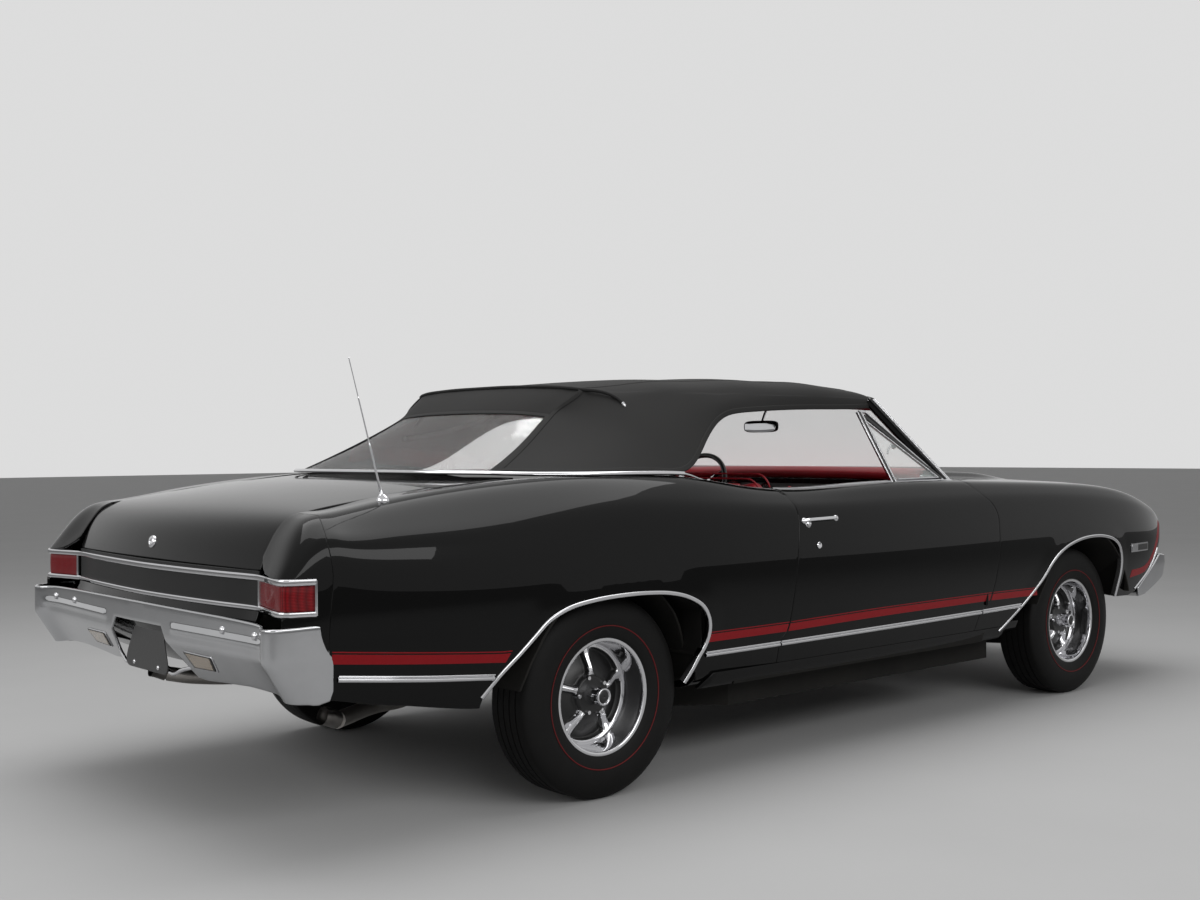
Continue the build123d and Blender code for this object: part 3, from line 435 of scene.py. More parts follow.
archValues = {"flare": 0.0026, "flareWidth": 0.085}
sideLines = cubicThrough(bodySideLines)


def archRing(line, axleY):
    # lip distance from the axle at each angle
    spots = np.array(smoothLine(line, step=0.02))
    angles = np.arctan2(spots[:, 1] - rearAxle.z, spots[:, 0])
    order = np.argsort(angles)
    return axleY, angles[order], np.hypot(spots[:, 0], spots[:, 1] - rearAxle.z)[order]


archRings = [archRing(frontArchLine, frontAxle.y), archRing(rearArchLine, rearAxle.y)]


def flare(y, z):
    # how far the skin stands out beside the wheel openings
    swell = np.zeros_like(y)
    for axleY, angles, reach in archRings:
        angle = np.arctan2(z - rearAxle.z, y - axleY)
        beyond = np.hypot(y - axleY, z - rearAxle.z) - np.interp(angle, angles, reach)
        fade = np.clip(1 - beyond / archValues["flareWidth"], 0, 1)
        upper = np.clip((z - 0.42) / 0.12, 0, 1)
        swell = np.maximum(swell, archValues["flare"] * fade ** 2 * (3 - 2 * fade) * upper)
    return swell


def sideSection(y):
    # control rows of the body's cross-section at each y
    wide, shoulderX, shoulderZ, crestX, crestZ, edgeX, edgeZ = sideLines(y).T
    level = np.ones_like(wide)
    low = np.minimum(0.66, shoulderZ - 0.10)
    rows = [
        (wide - 0.130, 0.300 * level), (wide - 0.084, 0.300 * level), (wide - 0.058, 0.340 * level),
        (wide - 0.042, 0.400 * level), (wide - 0.022, 0.480 * level), (wide - 0.004, 0.570 * level),
        (wide, low), (wide - 0.004, (low + shoulderZ) / 2), (shoulderX, shoulderZ),
        (0.62 * shoulderX + 0.38 * crestX + 0.004, 0.58 * shoulderZ + 0.42 * crestZ),
        (0.18 * shoulderX + 0.82 * crestX + 0.006, 0.10 * shoulderZ + 0.90 * crestZ + 0.002),
        (0.86 * crestX + 0.14 * edgeX, crestZ + 0.004),
        (0.40 * crestX + 0.60 * edgeX, 0.45 * crestZ + 0.55 * edgeZ),
        (edgeX, edgeZ), (edgeX - 0.04, edgeZ + 0.001),
    ]
    return np.stack([np.stack(row, 1) for row in rows], 1)


sideRowCount = 15
rowPitch = 0.075
crestRow = 10.6


def sidePoints(flat):
    # points on the driver's side from (y, row * rowPitch)
    flat = np.asarray(flat, float)
    section = alongRows(sideSection(flat[:, 0]), np.clip(flat[:, 1] / rowPitch, 0, sideRowCount - 1))
    return np.stack([section[:, 0] + flare(flat[:, 0], section[:, 1]), flat[:, 0], section[:, 1]], 1)


def sideSpot(y, level=None, across=None):
    # (y, row * rowPitch) of the side point at a height, or of the top point at an x
    trial = np.linspace(0 if across is None else crestRow - 1.2, crestRow if across is None else 14, 160)
    spots = sidePoints([(y, row * rowPitch) for row in trial])
    if across is None:
        start = int(np.argmin(spots[:60, 2]))
        return (y, float(np.interp(level, spots[start:, 2], trial[start:])) * rowPitch)
    return (y, float(np.interp(-across, -spots[:, 0], trial)) * rowPitch)


def sideLine(points):
    # side view points (y, z) on the flat map
    return [sideSpot(y, level=z) for y, z in points]


def topLine(points):
    # plan view points (x, y) on the flat map
    return [sideSpot(y, across=x) for x, y in points]


def spaced(points, step=0.012):
    # straight lines between points, divided evenly
    line = []
    for start, stop in zip(points, points[1:]):
        start, stop = np.array(start, float), np.array(stop, float)
        pieces = max(1, int(round(np.linalg.norm(stop - start) / step)))
        line += [start + (stop - start) * part / pieces for part in range(pieces)]
    return line + [np.array(points[-1], float)]


def joined(*lines):
    # one closed outline from lines that meet
    outline = []
    for line in lines:
        for point in line:
            if not outline or np.linalg.norm(np.array(point) - outline[-1]) > 1e-4:
                outline.append(np.array(point, float))
    if np.linalg.norm(outline[0] - outline[-1]) < 1e-4:
        outline.pop()
    return outline


def mirrored(points, side):
    return points if side == "left" else points * np.array([-1, 1, 1])


def outFromSide(side):
    return steady(signOf[side], 0, 0.6)


panelGrain = 0.016
shutGap = 0.006
sillHeight = 0.366
fenderInner, quarterInner = 0.7475, 0.6635

doorFrontLine = [(-0.693, sillHeight), (-0.714, 0.44), (-0.752, 0.475), (-0.777, 0.53), (-0.795, 0.612),
    (-0.812, 0.694), (-0.818, 0.777), (-0.82, 0.84), (-0.797, 0.886), (-0.745, 0.93), (-0.712, 0.962),
    (-0.704, 0.978)]
doorRearLine = [(0.535, sillHeight), (0.534, 0.445), (0.507, 0.482), (0.494, 0.587), (0.476, 0.692),
    (0.465, 0.769), (0.452, 0.832), (0.442, 0.885), (0.438, 0.938), (0.437, 0.962)]


def shifted(line, amount):
    return [(y + amount, z) for y, z in line]


def doorOutline():
    front = sideLine(smoothLine(shifted(doorFrontLine, shutGap / 2)))
    rear = sideLine(smoothLine(shifted(doorRearLine, -shutGap / 2)))
    top = spaced([front[-1], topLine([(0.806, front[-1][0])])[0]])
    inner = topLine([(0.806 - 0.006 * (y + 0.7), y) for y in np.arange(front[-1][0], rear[-1][0], 0.03)])
    close = spaced([topLine([(0.799, rear[-1][0])])[0], rear[-1]])
    foot = sideLine([(y, sillHeight) for y in np.arange(rear[0][0], front[0][0], -0.015)])
    return joined(front, top, inner, close, rear[::-1], foot)


def fenderOutline():
    rearEdge = sideLine(smoothLine(shifted(doorFrontLine, -shutGap / 2)))
    arch = smoothLine([(frontAxle.y + y, z) for y, z in frontArchLine])
    arch = sideLine([point for point in arch if point[1] > sillHeight])
    nose = sideLine(smoothLine([(-2.065, 0.43), (-2.135, 0.473), (-2.194, 0.508), (-2.264, 0.563),
        (-2.325, 0.618), (-2.377, 0.68), (-2.412, 0.738)]))
    foot = spaced([arch[-1], sideSpot(-2.0, level=0.415), nose[0]])
    corner = topLine([(0.805, -2.414)])
    inner = topLine([(fenderInner, y) for y in np.arange(-2.40, -0.86, 0.015)])
    cowl = spaced([inner[-1], topLine([(fenderInner, -0.848)])[0], topLine([(0.8, -0.78)])[0],
        topLine([(0.8, -0.712)])[0], rearEdge[-1]])
    return joined(rearEdge[::-1], [rearEdge[0], arch[0]], arch, foot, nose, corner, inner, cowl)


def quarterOutline():
    frontEdge = sideLine(smoothLine(shifted(doorRearLine, shutGap / 2)))
    arch = smoothLine([(rearAxle.y + y, z) for y, z in rearArchLine])
    arch = sideLine([point for point in arch if point[1] > sillHeight or point[0] > rearAxle.y])[::-1]
    foot = sideLine(smoothLine([(1.826, sillHeight), (1.873, 0.371), (1.979, 0.388), (2.081, 0.406),
        (2.18, 0.422), (2.282, 0.443), (2.33, 0.452)]))
    seam = sideLine(smoothLine([(2.324, 0.46), (2.33, 0.6), (2.325, 0.7), (2.316, 0.777), (2.32, 0.84),
        (2.322, 0.88), (2.31, 0.915)]))
    over = spaced([seam[-1], topLine([(0.776, 2.290)])[0], topLine([(quarterInner, 2.290)])[0]])
    inner = topLine([(float(np.interp(y, (1.45, 1.8), (0.76, quarterInner))), y)
        for y in np.arange(2.285, 0.442, -0.015)])
    return joined(frontEdge, inner[::-1], over[::-1], seam[::-1], foot[::-1], arch[::-1],
        [arch[0], sideSpot(0.538, level=sillHeight)])


def sidePanel(name, side, outline, body):
    flat, faces = fillOutline(outline, panelGrain)
    points = mirrored(sidePoints(flat), side)
    return skinPanel(f"{name}_{side}", points, faces, paintBlack, body, "body_paint", outFromSide(side))


for side in ("left", "right"):
    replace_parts(sidePanel("door_skin", side, doorOutline(), f"door_{side}"), f"door_{side}")
    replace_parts(sidePanel("front_fender_skin", side, fenderOutline(), "body"), f"front_fender_{side}")
    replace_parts(sidePanel("quarter_skin", side, quarterOutline(), "body"), f"quarter_panel_{side}")
print("side panels made")


# ---- hood, cowl, deck, trunk lid and the ends of the quarters

def edgeHeight(y):
    return sideLines(y)[:, 6]


hoodValues = {"halfWidth": 0.7415, "crown": 0.012, "dome": 0.026, "domeInner": 0.125, "domeOuter": 0.462,
    "shoulder": 0.055, "rampStart": -1.83, "rampEnd": -1.36, "backStart": -0.985, "backEnd": -0.945}


def ease(low, high, value):
    part = np.clip((value - low) / (high - low), 0, 1)
    return part * part * part * (part * (part * 6 - 15) + 10)


def hoodPoints(flat):
    x, y = flat[:, 0], flat[:, 1]
    v = hoodValues
    across = np.abs(x)
    swell = ease(v["domeInner"], v["domeInner"] + v["shoulder"], across)
    swell = swell * (1 - ease(v["domeOuter"] - v["shoulder"], v["domeOuter"], across))
    swell = swell * ease(v["rampStart"], v["rampEnd"], y) * (1 - ease(v["backStart"], v["backEnd"], y))
    z = edgeHeight(y) + v["crown"] * (1 - (x / v["halfWidth"]) ** 2) + v["dome"] * swell
    return np.stack([x, y, z], 1)


upwards = steady(0, 0, 1)


def mirrorRound(points):
    # whole outline from a half one of (x, y, z) rows that starts and ends near the middle
    return list(points) + [(-x, y, z) for x, y, z in reversed(points) if x > 0]


def mirrorOutline(points):
    # closed outline from its driver's half, listed front to rear
    return joined(points, [(-x, y) for x, y in reversed(points)])


def hoodOutline():
    edge = hoodValues["halfWidth"]
    front = [(x, -2.397 + 0.008 * (x / edge) ** 2) for x in np.arange(0.0, edge - 0.01, 0.015)]
    return mirrorOutline(spaced(front, 0.015) + spaced([(edge, -2.389), (edge, -0.9), (0.0, -0.9)], 0.015))


flat, faces = fillOutline(hoodOutline(), panelGrain)
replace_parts(skinPanel("hood_skin", hoodPoints(flat), faces, paintBlack, "hood", "body_paint", upwards),
    "hood")


def cowlOutline():
    glassFoot = [(0.752, -0.690), (0.65, -0.712), (0.50, -0.742), (0.30, -0.770), (0.0, -0.786)]
    side = spaced([(0.0, -0.8805), (0.7415, -0.8805), (0.7415, -0.846), (0.794, -0.777), (0.794, -0.7)],
        0.02)
    return mirrorOutline(side + smoothLine(glassFoot, step=0.02))


def cowlPoints(flat):
    return np.stack([flat[:, 0], flat[:, 1], edgeHeight(flat[:, 1]) + 0.01 * (1 - (flat[:, 0] / 0.8) ** 2)],
        1)


flat, faces = fillOutline(cowlOutline(), 0.02)
skinPanel("cowl_skin", cowlPoints(flat), faces, paintBlack, "body", "body_paint", upwards)


lidHalfWidth = 0.6575
# y, height along the lid's middle and along its side edge
lidMiddle = [(1.8475, 1.03), (1.95, 1.021), (2.08, 1.004), (2.2, 0.985), (2.3, 0.962), (2.365, 0.937),
    (2.408, 0.903), (2.431, 0.86), (2.441, 0.82), (2.444, 0.797)]
lidSide = [(1.8475, 1.012), (1.950, 1.000), (2.080, 0.982), (2.200, 0.966), (2.285, 0.950), (2.335, 0.927),
           (2.364, 0.893), (2.386, 0.853), (2.401, 0.817), (2.408, 0.797)]


def lidPatch(columns=49, lines=72):
    places = np.linspace(0, len(lidMiddle) - 1, lines)
    middle = alongRows(np.repeat(np.array([lidMiddle]), lines, 0), places)
    edge = alongRows(np.repeat(np.array([lidSide]), lines, 0), places)
    points = []
    for share in np.linspace(-1, 1, columns):
        line = edge + (middle - edge) * (1 - share ** 2)
        points.append([(share * lidHalfWidth, y, z) for y, z in line])
    return points


def gridFaces(columns, lines):
    return [(column * lines + line, (column + 1) * lines + line, (column + 1) * lines + line + 1,
             column * lines + line + 1) for column in range(columns - 1) for line in range(lines - 1)]


def ringFaces(rows, count, closedRows=False):
    # quads between neighbouring rows of points, each row a closed ring
    faces = []
    for row in range(rows if closedRows else rows - 1):
        first, second = row * count, (row + 1) % rows * count
        for step in range(count):
            after = (step + 1) % count
            faces.append((first + step, first + after, second + after, second + step))
    return faces


def mendMesh(mesh, merge=0, fill=False):
    # joins doubled points, closes open ends and turns the faces outwards
    bm = bmesh.new()
    bm.from_mesh(mesh)
    if merge:
        bmesh.ops.remove_doubles(bm, verts=bm.verts, dist=merge)
    if fill:
        bmesh.ops.holes_fill(bm, edges=[edge for edge in bm.edges if edge.is_boundary])
    bmesh.ops.recalc_face_normals(bm, faces=bm.faces)
    bm.to_mesh(mesh)
    bm.free()


def gridPiece(name, patch, material, body, slot, towards, **skin):
    columns, lines = len(patch), len(patch[0])
    points = [point for column in patch for point in column]
    return skinPanel(name, points, gridFaces(columns, lines), material, body, slot, towards, **skin)


lidSkin = gridPiece("trunk_lid_skin", lidPatch(), paintBlack, "trunk_lid", "body_paint", upwards)
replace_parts(lidSkin, "trunk_lid")


def deckPoints(flat):
    edge = edgeHeight(flat[:, 1])
    return np.stack([flat[:, 0], flat[:, 1], edge + 0.016 * (1 - (flat[:, 0] / 0.665) ** 2)], 1)


deckFlat, deckFaces = fillOutline(mirrorOutline(spaced([(0.0, 1.6), (0.5, 1.6), (0.662, 1.52),
    (0.662, 1.832), (0.0, 1.832)], 0.02)), 0.02)
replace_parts(skinPanel("deck_skin", deckPoints(deckFlat), deckFaces, paintBlack, "body", "body_paint",
    upwards), "deck_panel")


def capOutline():
    seam = sideLine(smoothLine([(2.328, 0.46), (2.334, 0.6), (2.329, 0.7), (2.32, 0.777), (2.324, 0.84),
        (2.326, 0.88), (2.314, 0.915)]))
    over = spaced([seam[-1], topLine([(0.776, 2.294)])[0], topLine([(quarterInner, 2.294)])[0]])
    inner = topLine([(float(np.interp(y, (2.37, 2.405), (quarterInner, 0.672))), y)
        for y in np.arange(2.298, 2.406, 0.012)])
    rear = topLine([(0.69, 2.4165), (0.715, 2.428), (0.745, 2.4385), (0.775, 2.445), (0.805, 2.4495),
        (0.835, 2.452)])
    lamp = sideLine([(2.452, 0.774), (2.43, 0.7755), (2.4, 0.777), (2.366, 0.778), (2.362, 0.77),
        (2.361, 0.73), (2.361, 0.688), (2.366, 0.68), (2.4, 0.68), (2.43, 0.68), (2.452, 0.68)])
    foot = sideLine([(2.453, 0.620), (2.440, 0.500), (2.385, 0.460)])
    outline = joined(seam, over, inner, rear, lamp, foot)
    return joined(spaced(outline + [outline[0]], 0.012))


for side in ("left", "right"):
    sidePanel("quarter_cap", side, capOutline(), "body")
    outline = joined(sideLine([(y, 0.36) for y in np.arange(-0.93, 0.86, 0.02)]),
        [(y, 1.15 * rowPitch) for y in np.arange(0.9, -0.96, -0.02)])
    sidePanel("rocker_skin", side, outline, "body")
print("hood, cowl, deck, lid and caps made")


# ---- tail panel and lamps

# plan path of the tail from the middle to the lamp's front edge: x, y
tailPath = [(0.0, 2.462), (0.15, 2.458), (0.30, 2.450), (0.46, 2.437), (0.60, 2.420), (0.655, 2.4165),
            (0.71, 2.424), (0.77, 2.438), (0.82, 2.449), (0.848, 2.452), (0.866, 2.442), (0.880, 2.410),
            (0.8935, 2.366)]


def followPath(path, step):
    # evenly spaced points and outward directions along a plan path
    line = np.array(smoothLine(path, step=step))
    run = np.gradient(line, axis=0)
    run /= np.linalg.norm(run, axis=1)[:, None]
    return line, np.stack([-run[:, 1], run[:, 0]], 1)


def wholePath(path):
    return [(-x, y) for x, y in reversed(path) if x > 0] + list(path)


def strip(name, path, section, material, slot, step=0.012, end=1, towards=None, **skin):
    # a section of (out, z) rows along a plan path, out being away from the car; end is -1 at the front
    line, outward = followPath(path, step)
    if outward[len(outward) // 2][1] * end < 0:
        outward = -outward
    patch = []
    for (x, y), (outX, outY) in zip(line, outward):
        rows = section(x, y) if callable(section) else section
        patch.append([(x + outX * out, y + outY * out, z) for out, z in rows])
    return gridPiece(name, patch, material, "body", slot, towards or steady(0, end, 0.3), **skin)


def barSection(low, high, depth, out=0.0, rounding=0.004):
    # closed-looking moulding: rolls from the panel over the face and back
    r = rounding
    return [(out - depth, low), (out - r, low), (out - r * 0.3, low + r * 0.3), (out, low + r),
            (out, high - r), (out - r * 0.3, high - r * 0.3), (out - r, high), (out - depth, high)]


tail = wholePath(tailPath)
innerTail = [point for point in tail if abs(point[0]) < 0.66]
strip("tail_strip_upper", tail, barSection(0.7655, 0.7835, 0.016, 0.004), chrome, "chrome", hem=0)
strip("tail_strip_lower", tail, barSection(0.6800, 0.6960, 0.016, 0.004), chrome, "chrome", hem=0)
tailSkin = strip("tail_panel_black", innerTail, [(-0.006, 0.66), (-0.006, 0.72), (-0.006, 0.79)],
    paintMatte, "matte_black_paint")
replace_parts(tailSkin, "tail_panel")
shelf = [(-0.004, 0.684), (0.000, 0.668), (0.006, 0.655), (0.008, 0.640), (0.002, 0.600), (-0.03, 0.540),
         (-0.09, 0.475), (-0.16, 0.455)]
strip("tail_lower_skin", innerTail, shelf, paintBlack, "body_paint")


def lampLens():
    lens = Finish("redLens", baseColor=(0.16, 0.002, 0.004, 1), roughness=0.35, coatWeight=0.25,
        coatRoughness=0.03, specularIORLevel=0.08)
    ribs, cells = lens.ribs(2, 0.002) * 500, lens.ribs(0, 0.0035) * 285
    lens.shade(ribs * cells, (0.09, 0.001, 0.003, 1), (0.30, 0.004, 0.008, 1))
    lens.bump(ribs * 0.6 + cells * 0.4, 0.5, 0.002)
    return lens.material


redLens = lampLens()
lensStart = 0.668
for side, sign in bothSides:
    path = [(sign * x, y) for x, y in tailPath if x > 0.60]
    lensPath = [(sign * lensStart, 2.4165)] + [point for point in path if abs(point[0]) > 0.70]
    lens = strip(f"tail_lens_{side}", lensPath, [(-0.03, 0.694), (-0.007, 0.694), (-0.005, 0.7),
        (-0.004, 0.73), (-0.005, 0.762), (-0.007, 0.768), (-0.03, 0.768)], redLens, "red_lens", step=0.008,
        hem=0)
    if side == "left":
        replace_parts(lens, "tail_lamps")
    for name, place in (("inner", 0), ("outer", -1)):
        line, outward = followPath(lensPath, 0.008)
        spot = line[place]
        run = line[1] - line[0] if place == 0 else line[-1] - line[-2]
        run = run / np.linalg.norm(run)
        away = outward[place] if (outward[place] @ (sign * 0.5, 1)) > 0 else -outward[place]
        half = 0.0045
        rows = []
        for along, out in ((-half, -0.014), (-half, 0.001), (-half * 0.5, 0.004), (half * 0.5, 0.004),
                (half, 0.001), (half, -0.014)):
            base = spot + run * along + away * out
            rows.append([(base[0], base[1], z) for z in (0.684, 0.710, 0.740, 0.780)])
        gridPiece(f"tail_bezel_{name}_{side}", rows, chrome, "body", "chrome",
                  steady(away[0], away[1], 0), hem=0)
print("tail made")


# ---- stripes and mouldings along the sides

stripeRed = plainFinish("stripeRed", (0.22, 0.0015, 0.005, 1), (120, 3), (0.2, 0.001, 0.004, 1),
    (0.24, 0.002, 0.006, 1), roughness=0.45, coatWeight=0.35, coatRoughness=0.03, specularIORLevel=0.04)


def sideFrames(points):
    # surface point, outward normal, for side view points (y, z)
    flat = np.array(sideLine(points))
    base = sidePoints(flat)
    ahead = sidePoints(flat + (0.004, 0)) - sidePoints(flat - (0.004, 0))
    over = sidePoints(flat + (0, 0.004)) - sidePoints(flat - (0, 0.004))
    normal = np.cross(ahead, over)
    normal /= np.linalg.norm(normal, axis=1)[:, None]
    return base, np.where(normal[:, :1] < 0, -normal, normal)


def sideStripe(name, side, lower, upper, material, slot, body, lift=0.0007, rows=4):
    # flat band between two side view lines with as many points each
    lower, upper = (np.array(smoothLine(line, step=0.03)) for line in (lower, upper))
    count = max(len(lower), len(upper))
    spread = np.linspace(0, 1, count)
    lower, upper = (np.stack([np.interp(spread, np.linspace(0, 1, len(line)), line[:, axis])
        for axis in (0, 1)], 1) for line in (lower, upper))
    patch = []
    for share in np.linspace(0, 1, rows):
        base, normal = sideFrames(lower + (upper - lower) * share)
        patch.append(mirrored(base + normal * lift, side))
    return gridPiece(f"{name}_{side}", patch, material, body, slot, outFromSide(side), hem=0.0004,
        depth=0.0009, thick=0)


def sideTrim(name, side, line, section, material, slot, body, flip=1, step=0.02, closed=False):
    # moulding with a section of (across, out) rows along a side view line
    spots = np.array(smoothLine(line, step=step, closed=closed))
    base, normal = sideFrames(spots)
    run = np.gradient(base, axis=0)
    run /= np.linalg.norm(run, axis=1)[:, None]
    across = np.cross(run, normal) * flip
    patch = [mirrored(base + across * over + normal * out, side) for over, out in section]
    return gridPiece(f"{name}_{side}", patch, material, body, slot, outFromSide(side), hem=0, thick=0.0012)


archSection = [(-0.0044, -0.02), (-0.0053, -0.002), (-0.004, 0.0024), (-0.0009, 0.0037), (0.0018, 0.0029),
    (0.004, 0.0041), (0.007, 0.0034), (0.0092, 0.0005)]
lowerSection = [(-0.0105, 0.0), (-0.01, 0.0045), (-0.006, 0.007), (-0.001, 0.007), (0.001, 0.005),
    (0.0016, 0.0012), (0.0052, 0.0012), (0.0058, 0.0048), (0.009, 0.0052), (0.01, 0.0005)]
mouldingLine = [(-1.000, 0.447), (-0.720, 0.4435), (-0.030, 0.4385), (0.539, 0.4355), (0.905, 0.4345)]
rearMouldingLine = [(1.772, 0.4555), (2.030, 0.478), (2.300, 0.5065)]
stripeLine = [(-1.130, 0.4995), (-0.757, 0.5045), (-0.020, 0.502), (0.507, 0.4935), (0.912, 0.4930)]
rearStripeLine = [(1.760, 0.5145), (2.030, 0.5380), (2.330, 0.5670)]


def cutLine(line, start, stop, rise=0.0, startSlant=0.0, stopSlant=0.0):
    # the stretch of a line between two y values, lifted, with slanted ends
    y, z = np.array(line).T
    start, stop = start + rise * startSlant, stop + rise * stopSlant
    spots = [start] + [value for value in y if start + 0.02 < value < stop - 0.02] + [stop]
    return [(spot, float(np.interp(spot, y, z)) + rise) for spot in spots]


stripeHalf = 0.0175
stripeBands = {"band": (-1.0, 0.52), "pin": (0.80, 0.96)}
stretches = [
    ("fender", "body", stripeLine, -1.122, -0.778, 0.60, -0.25),
    ("door", "door", stripeLine, -0.766, 0.498, -0.25, -0.25),
    ("quarter", "body", stripeLine, 0.508, 0.912, -0.25, 0.10),
    ("rear", "body", rearStripeLine, 1.745, 2.322, -0.60, 0.0),
]
mouldingStretches = [
    ("fender", "body", mouldingLine, -1.012, -0.722),
    ("door", "door", mouldingLine, -0.714, 0.531),
    ("quarter", "body", mouldingLine, 0.538, 0.908),
    ("rear", "body", rearMouldingLine, 1.790, 2.300),
]
noseBandLow = [(-1.975, 0.5), (-2.06, 0.507), (-2.15, 0.52), (-2.232, 0.572), (-2.305, 0.634),
    (-2.362, 0.697), (-2.396, 0.738)]
noseBandHigh = [(-1.985, 0.536), (-2.08, 0.54), (-2.15, 0.552), (-2.215, 0.592), (-2.28, 0.652),
    (-2.334, 0.715), (-2.366, 0.754)]
for side in ("left", "right"):
    for part, body, line, start, stop, startSlant, stopSlant in stretches:
        rides = f"door_{side}" if body == "door" else body
        for band, (low, high) in stripeBands.items():
            edges = [cutLine(line, start, stop, rise * stripeHalf, startSlant, stopSlant)
                for rise in (low, high)]
            sideStripe(f"stripe_{band}_{part}", side, *edges, stripeRed, "red_vinyl", rides)
    sideStripe("stripe_band_nose", side, noseBandLow, noseBandHigh, stripeRed, "red_vinyl", "body")
    for part, body, line, start, stop in mouldingStretches:
        rides = f"door_{side}" if body == "door" else body
        sideTrim(f"lower_moulding_{part}", side, cutLine(line, start, stop), lowerSection, chrome, "chrome",
            rides, flip=-1)
    for name, line, axleY, foot in (("front", frontArchLine, frontAxle.y, 0.34),
            ("rear", rearArchLine, rearAxle.y, 0.34)):
        lip = [(axleY + y, z) for y, z in line if z > foot]
        sideTrim(f"arch_moulding_{name}", side, lip, archSection, chrome, "chrome", "body",
                 flip=1, step=0.012)
print("stripes and mouldings made")


# ---- wheels

def tyreRubber():
    rubber = Finish("tyreRubber", baseColor=grey(0.005), roughness=0.72, specularIORLevel=0.14)
    grain = rubber.noise(260, 4)
    rubber.shade(rubber.noise(18, 4), grey(0.004), (0.0075, 0.0072, 0.007, 1))
    rubber.feed("Roughness", grain * 0.2 + 0.5)
    rubber.bump(grain, 0.10, 0.0008)
    return rubber.material


rubber = tyreRubber()
redline = plainFinish("redRubber", (0.12, 0.006, 0.007, 1), (300, 3), (0.1, 0.005, 0.006, 1),
    (0.14, 0.007, 0.008, 1), None, (0.1, 0.0006), roughness=0.65, specularIORLevel=0.25)
recessBlack = plainFinish("wheelBlack", grey(0.006), (240, 3), grey(0.004), grey(0.009), (0.15, 0.32),
    roughness=0.38)


def revolved(name, profile, centre, outward, material, body, steps=96, sharp=None):
    # turns a closed (radius, out) profile about the wheel's axle
    points = []
    for step in range(steps):
        turn = 2 * math.pi * step / steps
        for radius, out in profile:
            points.append((centre[0] + outward * out, centre[1] + radius * math.cos(turn),
                centre[2] + radius * math.sin(turn)))
    mesh = rawMesh(name, points, ringFaces(steps, len(profile), closedRows=True))
    mendMesh(mesh, merge=1e-6)
    return dressPiece(name, mesh, material, body, sharp=sharp)


tyreValues = {"radius": 0.3288, "halfWidth": 0.102, "bead": 0.186, "groove": 0.006, "grooves": 4,
    "redline": 0.23, "redlineWidth": 0.0034}


def tyreProfile(v):
    # closed section from the outer bead over the tread to the inner bead
    radius, half = v["radius"], v["halfWidth"]
    wall = [(v["bead"], 0.07), (v["bead"], 0.084), (0.192, 0.0905), (0.205, 0.095), (0.225, 0.0995),
        (0.25, half), (0.275, 0.101), (0.297, 0.096), (0.31, 0.0905), (0.318, 0.085), (0.3245, 0.079)]
    tread = []
    pitch = 0.148 / (v["grooves"] + 1)
    for index in range(v["grooves"] + 1):
        start = 0.074 - index * pitch
        crown = [radius - 0.0022 * ((start - 0.003) / 0.074) ** 2,
            radius - 0.0022 * ((start - pitch + 0.003) / 0.074) ** 2]
        tread += [(crown[0] - v["groove"], start - 0.0018), (crown[0], start - 0.0028),
            (crown[1], start - pitch + 0.0028), (crown[1] - v["groove"], start - pitch + 0.0018)]
    tread = tread[1:-1]
    return wall + tread + [(r, -out) for r, out in reversed(wall)] + [(v["bead"] - 0.006, 0.0)]


rimProfile = [(0.1935, 0.076), (0.1952, 0.0815), (0.195, 0.085), (0.1935, 0.0868), (0.1885, 0.0874),
    (0.183, 0.0872), (0.1785, 0.0862), (0.1768, 0.0835), (0.176, 0.078), (0.175, 0.07), (0.174, 0.056),
    (0.1725, 0.036), (0.17, 0.02), (0.1672, 0.009), (0.164, 0.004), (0.164, -0.004), (0.168, -0.012),
    (0.169, -0.04), (0.178, -0.055), (0.18, -0.08), (0.19, -0.085), (0.194, -0.086), (0.194, -0.078),
    (0.185, -0.074), (0.176, -0.04), (0.178, 0.03), (0.18, 0.065), (0.186, 0.074)]
discValues = {"spokes": 5, "inner": 0.03, "outer": 0.1655, "windowInner": 0.06, "windowOuter": 0.152,
    "spokeAtHub": 0.006, "spokeAtRim": 0.012, "edge": 0.0055, "depth": 0.022, "turn": 0.3, "hub": 0.066}


